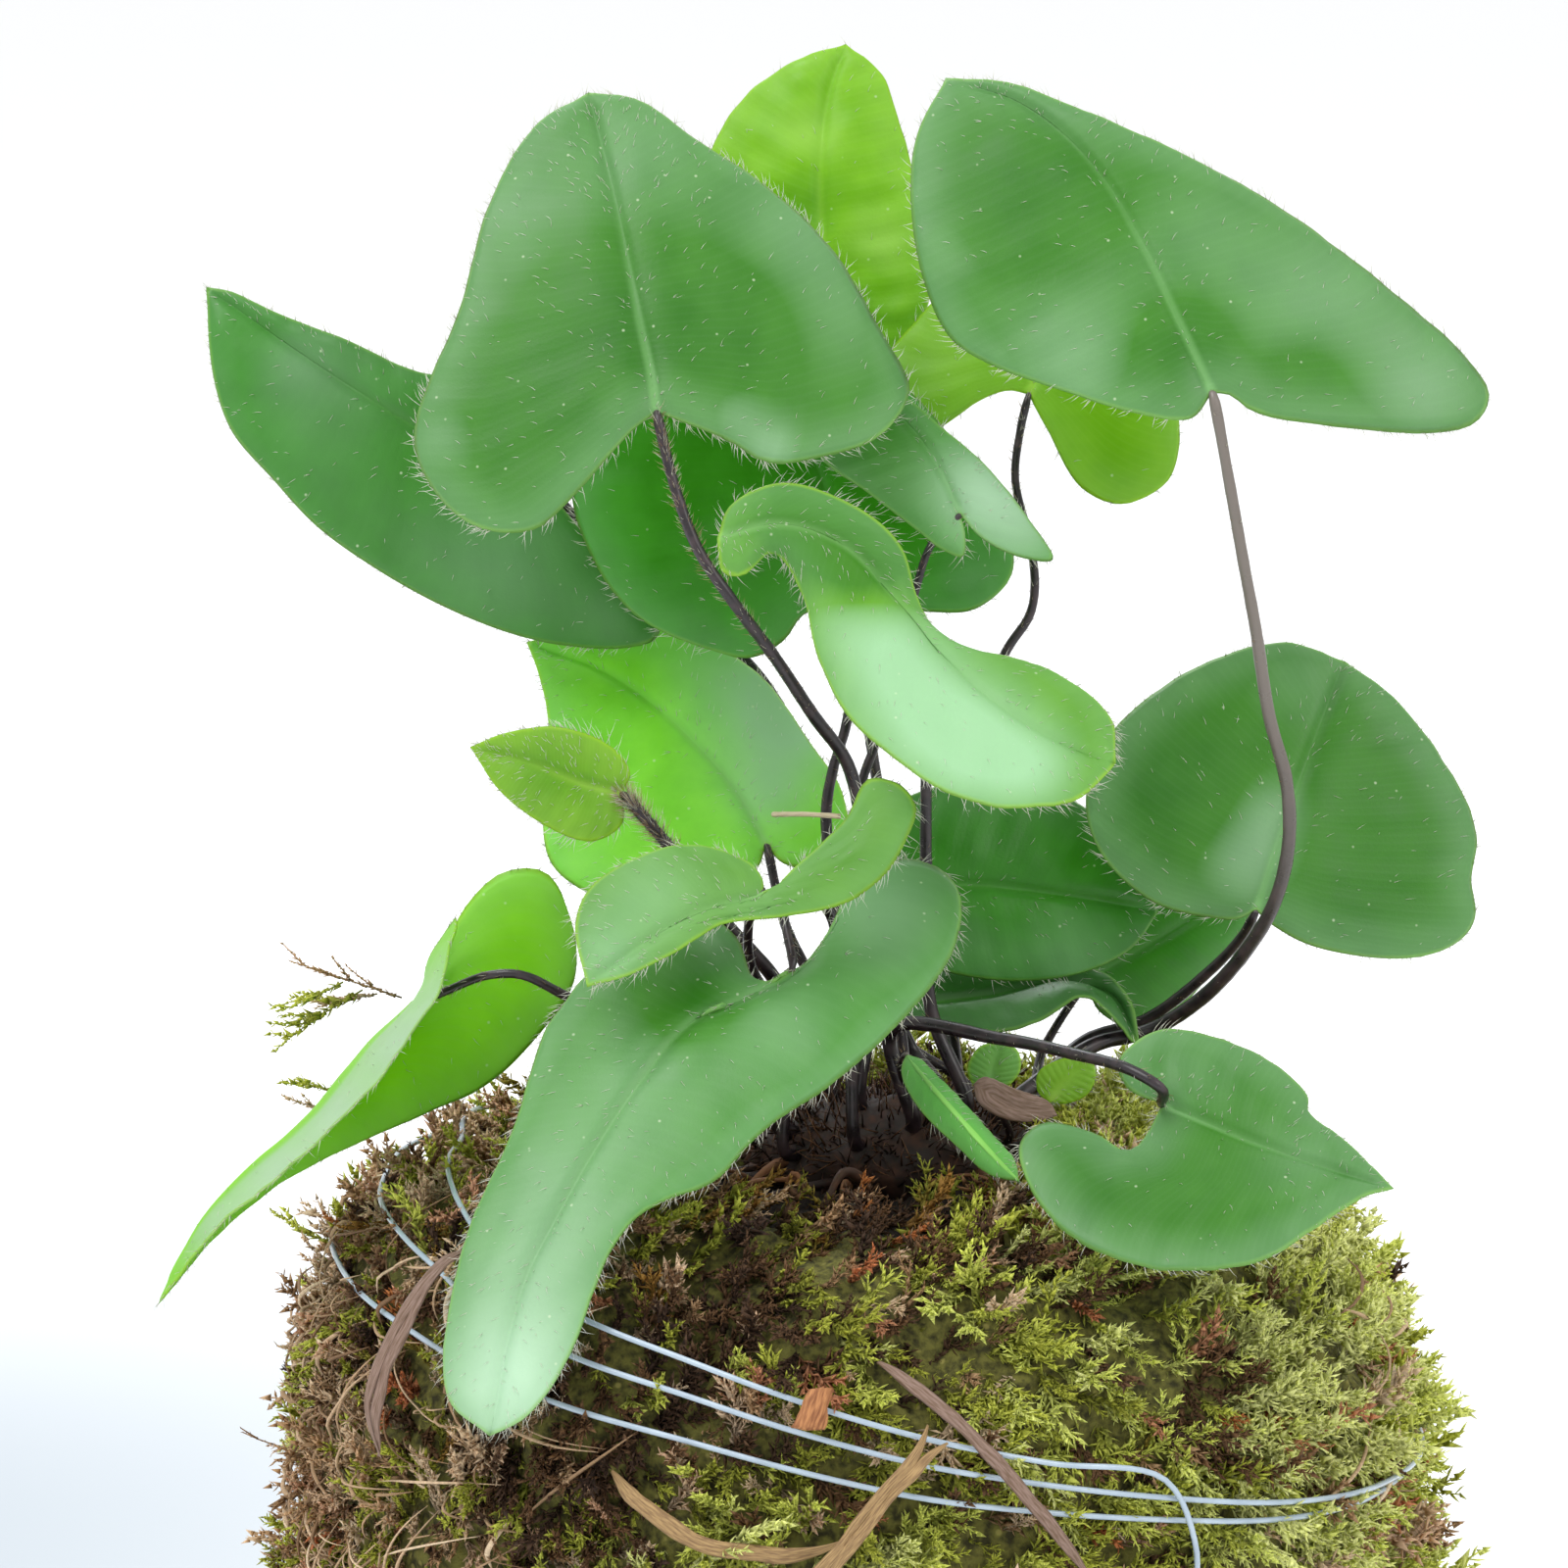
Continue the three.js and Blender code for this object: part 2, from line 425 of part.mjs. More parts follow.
/** Depth that a blade's overall slope and curvature give the drawn point [right, up]. */
function bladeDepth(frond, right, up) {
  const [baseRight, baseUp, baseBack] = frond.base;
  const [tipRight, tipUp] = frond.tip;
  const span = Math.hypot(tipRight - baseRight, tipUp - baseUp);
  const ahead = [(tipRight - baseRight) / span, (tipUp - baseUp) / span];
  const dr = right - baseRight;
  const du = up - baseUp;
  const along = dr * ahead[0] + du * ahead[1];
  const across = dr * ahead[1] - du * ahead[0];
  const slope = frond.lean * du + frond.turn * dr;
  return baseBack + slope + along ** 2 / (2 * frond.droop) + across ** 2 / (2 * frond.arch);
}

/** How far round the outline, as a share, its lobe stands out the most behind and beside the heel. */
function lobeShare(outline, heel, ahead) {
  let best = { share: 0, reach: 0 };
  for (let share = 0; share < 0.7; share += 0.01) {
    const from = outline.getPointAt(share).sub(heel).setZ(0);
    const along = from.dot(ahead);
    const across = Math.abs(from.x * ahead.y - from.y * ahead.x);
    const reach = LOBE_SPREAD * across - along;
    if (reach > best.reach) best = { share, reach };
  }
  return best.share;
}

/**
 * The two halves of a blade, each a patch of drawn points between the rib, the outline's side and
 * its lobe: row 0 follows the lobe, and the rows straighten towards the tip.
 */
function bladeHalves(frond) {
  const drawn = ([right, up, curl = 0]) => new THREE.Vector3(right, up, curl);
  const heel = drawn(frond.heel ?? frond.base.slice(0, 2));
  const tip = drawn(frond.tip);
  const rib = smoothThrough([heel, ...frond.rib.map(drawn), tip]);
  const ahead = tip.clone().sub(heel).setZ(0).normalize();
  return [frond.left, frond.right].map((side) => {
    const outline = smoothThrough([heel, ...side.map(drawn), tip]);
    const lobe = lobeShare(outline, heel, ahead);
    const corner = outline.getPointAt(lobe);
    return Array.from({ length: ROWS + 1 }, (_, i) => {
      const edge = outline.getPointAt(THREE.MathUtils.lerp(lobe, 1, i / ROWS));
      return Array.from({ length: COLUMNS + 1 }, (_, j) => {
        const chord = heel.clone().lerp(corner, j / COLUMNS);
        const bulge = outline.getPointAt((lobe * j) / COLUMNS).sub(chord);
        return rib
          .getPointAt((i / ROWS) ** RIB_EASE)
          .lerp(edge, j / COLUMNS)
          .addScaledVector(bulge, (1 - i / ROWS) ** LOBE_FADE);
      });
    });
  });
}

/** The blade as a closed sheet of even thickness. */
function bladeGeometry(frond) {
  const points = [];
  const indexOf = new Map();
  const keep = (drawn) => {
    const back = bladeDepth(frond, drawn.x, drawn.y) + drawn.z;
    const point = sight([drawn.x, drawn.y, back]);
    const key = point.toArray().map((n) => n.toFixed(2)).join();
    if (!indexOf.has(key)) {
      indexOf.set(key, points.length);
      points.push(point);
    }
    return indexOf.get(key);
  };
  const faces = [];
  const addFace = (a, b, c) => {
    if (a !== b && b !== c && c !== a) faces.push([a, b, c]);
  };
  bladeHalves(frond).forEach((half, side) => {
    const rows = half.map((row) => row.map(keep));
    for (let i = 0; i < ROWS; i++) {
      for (let j = 0; j < COLUMNS; j++) {
        const corners = [rows[i][j], rows[i][j + 1], rows[i + 1][j + 1], rows[i + 1][j]];
        if (side === 0) corners.reverse();
        addFace(corners[0], corners[1], corners[2]);
        addFace(corners[0], corners[2], corners[3]);
      }
    }
  });
  return thicken(points, faces, BLADE_THICKNESS);
}

/** A closed body from an open sheet of faces: both sides of it and the rim between them. */
function thicken(points, faces, thickness) {
  const normals = points.map(() => new THREE.Vector3());
  for (const [a, b, c] of faces) {
    const ab = points[b].clone().sub(points[a]);
    const ac = points[c].clone().sub(points[a]);
    const n = ab.cross(ac);
    [a, b, c].forEach((i) => normals[i].add(n));
  }
  normals.forEach((n) => n.normalize().multiplyScalar(thickness / 2));
  const upper = points.map((p, i) => p.clone().add(normals[i]));
  const lower = points.map((p, i) => p.clone().sub(normals[i]));
  const count = points.length;
  const edges = new Set(faces.flatMap(([a, b, c]) => [`${a},${b}`, `${b},${c}`, `${c},${a}`]));
  const index = [];
  for (const [a, b, c] of faces) {
    index.push(a, b, c);
    index.push(count + a, count + c, count + b);
    for (const [from, to] of [[a, b], [b, c], [c, a]]) {
      if (edges.has(`${to},${from}`)) continue;
      index.push(to, from, count + from);
      index.push(to, count + from, count + to);
    }
  }
  const geometry = new THREE.BufferGeometry().setFromPoints([...upper, ...lower]);
  geometry.setIndex(index);
  return geometry;
}

/** The point just clear of the crown at a heading from the front and a height angle. */
function crownPoint([heading, height], clear) {
  const h = THREE.MathUtils.degToRad(heading);
  const v = THREE.MathUtils.degToRad(height);
  return new THREE.Vector3(
    CROWN.x + (CROWN.rx + clear) * Math.sin(h) * Math.cos(v),
    CROWN.y - (CROWN.ry + clear) * Math.cos(h) * Math.cos(v),
    CROWN.z + (CROWN.rz + clear) * Math.sin(v),
  );
}

/** The stipe from the crown to just short of the blade. */
function stipeGeometry(frond) {
  const start = crownPoint(frond.foot, frond.radius * 0.6 + GAP);
  const middle = frond.stipe.map(sight);
  const end = sight(frond.base);
  const before = middle.length ? middle[middle.length - 1] : start;
  const short = end.clone().sub(before).setLength(frond.radius + 2 * GAP);
  return tube([start, ...middle, end.sub(short)], frond.radius);
}

for (const frond of FRONDS) {
  addPiece(`blade_${frond.name}`, bladeGeometry(frond), frond.color, 0.45);
  addPiece(`stipe_${frond.name}`, stipeGeometry(frond), STIPE_BLACK, 0.35);
}

// ---------------------------------------------------------------- the binding line
// One line: three slanting turns round the shoulder, each lying over the one before, then a drop at
// the right of the front, a low turn, and a rise beside the drop to its tucked-in end.
const LINE_TURNS = [
  { z: 77, slant: 10, phase: 10 },
  { z: 80.5, slant: 13.5, phase: 10 },
  { z: 83, slant: 15, phase: 0 },
];
const LINE_START = -150; // heading of the first tucked-in end
const LINE_DROP = 31; // heading at which it leaves the upper turns
const LINE_LIFT = 1.1; // its centre above the moss on the first turn
const LINE_OVERLAY = 0.8; // each further turn stands this much higher
const LOW_TURN = { z: 27, from: 37, to: 383 };

function lineRoute() {
  const points = [];
  const upper = 360 * 2 + LINE_DROP - LINE_START;
  for (let run = 0; run <= upper; run += 12) {
    const turn = Math.min(LINE_TURNS.length - 1, run / 360);
    const [below, above] = [LINE_TURNS[Math.floor(turn)], LINE_TURNS[Math.ceil(turn)]];
    const share = turn - Math.floor(turn);
    const mix = (key) => THREE.MathUtils.lerp(below[key], above[key], share);
    const heading = LINE_START + run;
    const dip = Math.sin(THREE.MathUtils.degToRad(heading + mix("phase")));
    points.push(onMoss(heading, mix("z") - mix("slant") * dip, LINE_LIFT + LINE_OVERLAY * (run / 360)));
  }
  const overlay = LINE_LIFT + LINE_OVERLAY * (upper / 360);
  points.push(onMoss(LINE_DROP + 2, 69, overlay));
  points.push(onMoss(LINE_DROP + 3, 62, LINE_LIFT + 0.4));
  points.push(onMoss(LINE_DROP + 3, 50, LINE_LIFT));
  points.push(onMoss(LINE_DROP + 3, 37, LINE_LIFT));
  for (let heading = LOW_TURN.from; heading <= LOW_TURN.to; heading += 12) {
    points.push(onMoss(heading + 3, LOW_TURN.z + 2 * Math.cos(heading / 40), LINE_LIFT));
  }
  points.push(onMoss(LOW_TURN.to + 5, 38, LINE_LIFT));
  points.push(onMoss(LOW_TURN.to + 6, 52, LINE_LIFT));
  points.push(onMoss(LOW_TURN.to + 5, 64, LINE_LIFT));
  return points;
}

addPiece("binding_line", tube(lineRoute(), LINE_RADIUS, 5, 11), "#c9d3dc", 0.15);

// ---------------------------------------------------------------- dry grass, bark and stalks
// Straws lie over the line: points are [heading in degrees, height], width across, lift off the moss.
const STRAWS = [
  { name: "straw_left", width: 2.6, lift: 7, route: [[-49, 96], [-49, 91], [-50, 84], [-51, 75]] },
  { name: "straw_bent", width: 1.7, lift: 4.4, route: [[-25, 77], [-18, 72.5], [-13, 70.5], [-2, 70.5]] },
  { name: "straw_middle", width: 2, lift: 7, route: [[7, 82.5], [2, 77], [-3, 70], [-8, 63]] },
  { name: "straw_right", width: 1.4, lift: 4.4, route: [[1.5, 89], [8, 84], [16, 75], [22, 66]] },
];
const STRAW_THICKNESS = 0.5;

/** A flat blade of dry grass along a route. */
function strawGeometry(straw) {
  const points = straw.route.map(([heading, z]) => onMoss(heading, z, straw.lift));
  const section = new THREE.Shape();
  section.moveTo(-straw.width / 2, -STRAW_THICKNESS / 2);
  section.lineTo(straw.width / 2, -STRAW_THICKNESS / 2);
  section.lineTo(straw.width / 2, STRAW_THICKNESS / 2);
  section.lineTo(-straw.width / 2, STRAW_THICKNESS / 2);
  return new THREE.ExtrudeGeometry(section, {
    steps: 10,
    extrudePath: smoothThrough(points),
    bevelEnabled: false,
  });
}

for (const straw of STRAWS) addPiece(straw.name, strawGeometry(straw), STRAW_TAN, 0.8);

const BARK_CHIP = { heading: -4.5, z: 84.5, width: 2.6, height: 4, thickness: 0.9, lift: 5 };
const chip = addPiece(
  "bark_chip",
  new THREE.BoxGeometry(BARK_CHIP.width, BARK_CHIP.thickness, BARK_CHIP.height),
  "#8a5a34",
  0.9,
);
chip.position.copy(onMoss(BARK_CHIP.heading, BARK_CHIP.z, BARK_CHIP.lift));
chip.rotation.set(-0.5, 0.35, 0);

const DRY_STALK = { points: [[-8.6, 131.9, -8], [-5, 131.9, -12.5], [-1.8, 131.7, -14]], radius: 0.3 };
addPiece("dry_stalk", tube(DRY_STALK.points.map(sight), DRY_STALK.radius), "#d8cdb4", 0.7);

const DRY_SCALE = {
  base: [20.4, 101.2, -20], lean: 0.5, turn: 0.1, arch: 9, droop: 30,
  rib: [[16.5, 101.8]], tip: [11.8, 104.4],
  left: [[19.6, 102.6], [16, 104], [12.8, 105.2]],
  right: [[18.6, 100.6], [15, 100.8], [12.2, 102.6]],
};
addPiece("dry_scale", bladeGeometry(DRY_SCALE), "#7a5a3a", 0.9);

export default plant;
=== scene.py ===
"""Heart-leaf fern growing on a ball of moss that a thin clear line binds round its roots.

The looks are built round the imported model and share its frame: +Z up, metres. Drawing tables
and sizes are in millimetres and turn to metres in one place, Shell.to_object. The fronds are
drawn in perspective, as in the solid model: [right, up, back], where right and up are read by
an eye in front of the plant and back is the true depth along +Y.
"""

import json
import logging
import math
from dataclasses import dataclass, field
from enum import Enum
from typing import Any, Callable

import bpy
import numpy as np
from mathutils import Euler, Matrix, Vector, kdtree, noise


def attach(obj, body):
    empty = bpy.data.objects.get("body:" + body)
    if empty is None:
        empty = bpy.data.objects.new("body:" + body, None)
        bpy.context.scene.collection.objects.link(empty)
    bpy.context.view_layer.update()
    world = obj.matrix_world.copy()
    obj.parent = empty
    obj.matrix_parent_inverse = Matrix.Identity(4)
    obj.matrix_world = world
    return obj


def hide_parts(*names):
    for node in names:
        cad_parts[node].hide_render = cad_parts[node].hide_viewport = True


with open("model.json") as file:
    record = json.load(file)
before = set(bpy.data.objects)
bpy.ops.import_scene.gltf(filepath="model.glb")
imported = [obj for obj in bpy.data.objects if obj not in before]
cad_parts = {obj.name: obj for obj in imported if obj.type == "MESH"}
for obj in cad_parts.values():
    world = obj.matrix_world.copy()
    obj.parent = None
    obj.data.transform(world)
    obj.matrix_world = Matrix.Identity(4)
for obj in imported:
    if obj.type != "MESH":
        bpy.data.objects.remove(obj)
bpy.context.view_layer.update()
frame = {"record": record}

log = logging.getLogger("moss_ball_fern")

MM = 0.001
BAKE_MAP = "OFBake"  # hairs and moss carry their tone in u and their length in v of this map


# ---------------------------------------------------------------- colours and nodes
def hex_to_linear(code: str) -> tuple[float, float, float, float]:
    """Turns an sRGB hex value to linear light.

    Args:
        code: Six hex digits after a #.

    Returns:
        Red, green, blue and an alpha of 1.
    """
    shares = [int(code[i : i + 2], 16) / 255 for i in (1, 3, 5)]
    linear = [s / 12.92 if s <= 0.04045 else ((s + 0.055) / 1.055) ** 2.4 for s in shares]
    return (*linear, 1.0)


def add_node(
    tree: bpy.types.NodeTree,
    kind: str,
    settings: dict[str, Any] | None = None,
    inputs: dict[int | str, Any] | None = None,
) -> bpy.types.Node:
    """Adds one node with its settings and its inputs.

    Args:
        tree: The node tree to add to.
        kind: The node's type name.
        settings: Properties of the node; "stops" fills a colour ramp with (place, colour) pairs.
        inputs: Input sockets by name or number, each with a value or a socket to link from.

    Returns:
        The new node.
    """
    node = tree.nodes.new(kind)
    for key, value in (settings or {}).items():
        if key == "stops":
            ramp = node.color_ramp
            while len(ramp.elements) < len(value):
                ramp.elements.new(1.0)
            for element, (place, colour) in zip(ramp.elements, value):
                element.position = place
                element.color = colour
        else:
            setattr(node, key, value)
    for key, value in (inputs or {}).items():
        socket = node.inputs[key]
        if isinstance(value, bpy.types.NodeSocket):
            tree.links.new(value, socket)
        else:
            socket.default_value = value
    return node


def new_material(name: str) -> tuple[bpy.types.Material, bpy.types.NodeTree]:
    """Makes an empty node material.

    Args:
        name: The material's name.

    Returns:
        The material and its cleared node tree.
    """
    material = bpy.data.materials.new(name)
    material.use_nodes = True
    material.node_tree.nodes.clear()
    return material, material.node_tree


def per_mm(size: float) -> float:
    """The scale of a pattern whose features are size millimetres across, on metre coordinates."""
    return 1.0 / (size * MM)


# ---------------------------------------------------------------- meshes
@dataclass
class Shell:
    """Points and faces of one piece in millimetres, with numbers marked on its points.

    Attributes:
        points: Places, one row each.
        faces: Arrays of point numbers, three or four to a face.
        marks: Named numbers, one for each point, that materials read.
        sheet: Map coordinates for each point, or None.
    """

    points: np.ndarray
    faces: list[np.ndarray]
    marks: dict[str, np.ndarray] = field(default_factory=dict)
    sheet: np.ndarray | None = None

    def to_object(self, name: str, material: bpy.types.Material) -> bpy.types.Object:
        """Makes the piece as a smooth-shaded object in metres.

        Args:
            name: The object's name.
            material: What it is made of.

        Returns:
            The object, linked to the scene.
        """
        faces = [np.asarray(f, dtype=np.int32) for f in self.faces if len(f)]
        corners = np.concatenate([f.ravel() for f in faces])
        counts = np.concatenate([np.full(len(f), f.shape[1]) for f in faces])
        mesh = bpy.data.meshes.new(name)
        mesh.vertices.add(len(self.points))
        mesh.vertices.foreach_set("co", (self.points * MM).astype(np.float32).ravel())
        mesh.loops.add(len(corners))
        mesh.loops.foreach_set("vertex_index", corners)
        mesh.polygons.add(len(counts))
        starts = np.concatenate([[0], np.cumsum(counts)[:-1]]).astype(np.int32)
        mesh.polygons.foreach_set("loop_start", starts)
        mesh.polygons.foreach_set("use_smooth", np.ones(len(counts), dtype=bool))
        for key, values in self.marks.items():
            layer = mesh.attributes.new(key, "FLOAT", "POINT")
            layer.data.foreach_set("value", np.asarray(values, dtype=np.float32))
        if self.sheet is not None:
            layer = mesh.uv_layers.new(name=BAKE_MAP)
            layer.data.foreach_set("uv", self.sheet[corners].astype(np.float32).ravel())
        mesh.update(calc_edges=True)
        mesh.validate()
        mesh.materials.append(material)
        made = bpy.data.objects.new(name, mesh)
        bpy.context.scene.collection.objects.link(made)
        return made


def join_shells(shells: list[Shell]) -> Shell:
    """Puts several shells into one.

    Args:
        shells: Shells with the same marks.

    Returns:
        One shell that holds them all.
    """
    shells = [s for s in shells if len(s.points)]
    starts = np.cumsum([0] + [len(s.points) for s in shells[:-1]])
    faces = [f + start for s, start in zip(shells, starts) for f in s.faces if len(f)]
    marks = {k: np.concatenate([s.marks[k] for s in shells]) for k in shells[0].marks}
    sheet = None
    if shells[0].sheet is not None:
        sheet = np.concatenate([s.sheet for s in shells])
    return Shell(np.concatenate([s.points for s in shells]), faces, marks, sheet)


def unit(vectors: np.ndarray) -> np.ndarray:
    """Each row scaled to length 1."""
    lengths = np.linalg.norm(vectors, axis=-1, keepdims=True)
    return vectors / np.maximum(lengths, 1e-9)


def smoothstep(low: float, high: float, value: np.ndarray) -> np.ndarray:
    """An S curve from 0 at low to 1 at high."""
    t = np.clip((np.asarray(value) - low) / (high - low), 0, 1)
    return t * t * (3 - 2 * t)


def lumps(points: np.ndarray, size: float, octaves: int = 3, offset: float = 0.0) -> np.ndarray:
    """Soft random heights, about -1 to 1, that belong to places in space.

    Args:
        points: Places in millimetres.
        size: Width of the largest lumps.
        octaves: How many finer layers are added.
        offset: Shifts the pattern so that two uses differ.

    Returns:
        One height for each place.
    """
    scaled = points / size + offset
    return np.array([noise.fractal(Vector(p), 0.9, 2.1, octaves) for p in scaled])


class Route:
    """A smooth line through points, the same curve that the solid model uses."""

    STEPS = 36

    def __init__(self, points: np.ndarray | list) -> None:
        """Fits the curve.

        Args:
            points: Places for it to pass through, one row each.
        """
        p = np.asarray(points, dtype=float)
        p = np.vstack([2 * p[0] - p[1], p, 2 * p[-1] - p[-2]])
        t = np.linspace(0, 1, self.STEPS, endpoint=False)[:, None]
        rows = []
        for a, b, c, d in zip(p, p[1:], p[2:], p[3:]):
            before, here, after = (np.sum((v - u) ** 2) ** 0.25 for u, v in ((a, b), (b, c), (c, d)))
            here = here if here > 1e-4 else 1.0
            before = before if before > 1e-4 else here
            after = after if after > 1e-4 else here
            start = ((b - a) / before - (c - a) / (before + here) + (c - b) / here) * here
            end = ((c - b) / here - (d - b) / (here + after) + (d - c) / after) * here
            square = -3 * b + 3 * c - 2 * start - end
            cube = 2 * b - 2 * c + start + end
            rows.append(b + start * t + square * t**2 + cube * t**3)
        rows.append(p[-2][None])
        self._fine = np.concatenate(rows)
        steps = np.linalg.norm(np.diff(self._fine, axis=0), axis=1)
        self._run = np.concatenate([[0], np.cumsum(steps)])
        self.length = float(self._run[-1])

    def at(self, shares: np.ndarray | float) -> np.ndarray:
        """Places at shares of the line's length, from 0 to 1."""
        run = np.atleast_1d(shares) * self.length
        return np.stack([np.interp(run, self._run, axis) for axis in self._fine.T], axis=1)


def loft(rings: np.ndarray) -> Shell:
    """A closed body through a row of rings, with a low point at each end.

    Args:
        rings: Points as [ring, corner, xyz], each ring anticlockwise seen from ahead.

    Returns:
        The body, with "along" marked from 0 to 1.
    """
    count, sides = rings.shape[:2]
    middles = rings.mean(axis=1)
    bulge = 0.25 * np.linalg.norm(rings[[0, -1]] - middles[[0, -1], None], axis=2).mean(axis=1, keepdims=True)
    ends = middles[[0, -1]] + bulge * unit(middles[[0, -1]] - middles[[1, -2]])
    ring = np.arange(sides)
    after = np.roll(ring, -1)
    quads = [
        np.stack([i * sides + ring, i * sides + after, (i + 1) * sides + after, (i + 1) * sides + ring], 1)
        for i in range(count - 1)
    ]
    last = (count - 1) * sides
    caps = [
        np.stack([after, ring, np.full(sides, count * sides)], 1),
        np.stack([last + ring, last + after, np.full(sides, count * sides + 1)], 1),
    ]
    along = np.concatenate([np.repeat(np.linspace(0, 1, count), sides), [0, 1]])
    points = np.concatenate([rings.reshape(-1, 3), ends])
    return Shell(points, [np.concatenate(quads), np.concatenate(caps)], {"along": along})


def tube(centres: np.ndarray, radii: np.ndarray, sides: int, squash: float = 1.0) -> Shell:
    """A closed tube with round ends along a row of centres.

    Args:
        centres: The middle of each ring.
        radii: Each ring's radius.
        sides: Corners of a ring.
        squash: Thickness as a share of width.

    Returns:
        The tube, with "along" marked from 0 to 1.
    """
    ahead = unit(np.gradient(centres, axis=0))
    side = np.cross(ahead[0], (0.1, 0.2, 1.0))
    rings = []
    for centre, way, radius in zip(centres, ahead, radii):
        side = side - way * side.dot(way)
        side = side / np.linalg.norm(side)
        up = np.cross(way, side)
        angles = np.linspace(0, 2 * np.pi, sides, endpoint=False)[:, None]
        rings.append(centre + radius * (np.cos(angles) * side + squash * np.sin(angles) * up))
    return loft(np.array(rings))


def spikes(
    roots: np.ndarray,
    ways: np.ndarray,
    sags: np.ndarray,
    lengths: np.ndarray,
    radius: float,
    tones: np.ndarray,
) -> Shell:
    """Many fine tapering hairs, each a bent closed cone with three sides.

    Args:
        roots: Where each hair starts.
        ways: The direction that each sets out in.
        sags: The direction that each bends towards, its size the share of its length.
        lengths: How long each one is.
        radius: Thickness at the root.
        tones: Colour number from 0 to 1, kept in the map's u.

    Returns:
        All the hairs as one shell.
    """
    ways = unit(ways)
    side = unit(np.cross(ways, (0.31, 0.17, 0.93)))
    up = np.cross(ways, side)
    reach = lengths[:, None]
    middle = roots + ways * reach * 0.5 + sags * reach * 0.15
    tip = roots + ways * reach + sags * reach * 0.6
    angles = np.radians([0, 120, 240])
    ring = [np.cos(a) * side + np.sin(a) * up for a in angles]
    points = np.stack(
        [roots + radius * r for r in ring] + [middle + 0.6 * radius * r for r in ring] + [tip], 1
    )
    count = len(roots)
    start = 7 * np.arange(count)[:, None]
    quads = [start + np.array(q) for q in ((0, 1, 4, 3), (1, 2, 5, 4), (2, 0, 3, 5))]
    threes = [start + np.array(t) for t in ((3, 4, 6), (4, 5, 6), (5, 3, 6), (2, 1, 0))]
    sheet = np.stack([np.repeat(tones, 7), np.tile([0.02] * 3 + [0.5] * 3 + [0.98], count)], 1)
    return Shell(points.reshape(-1, 3), [np.concatenate(quads), np.concatenate(threes)], {}, sheet)




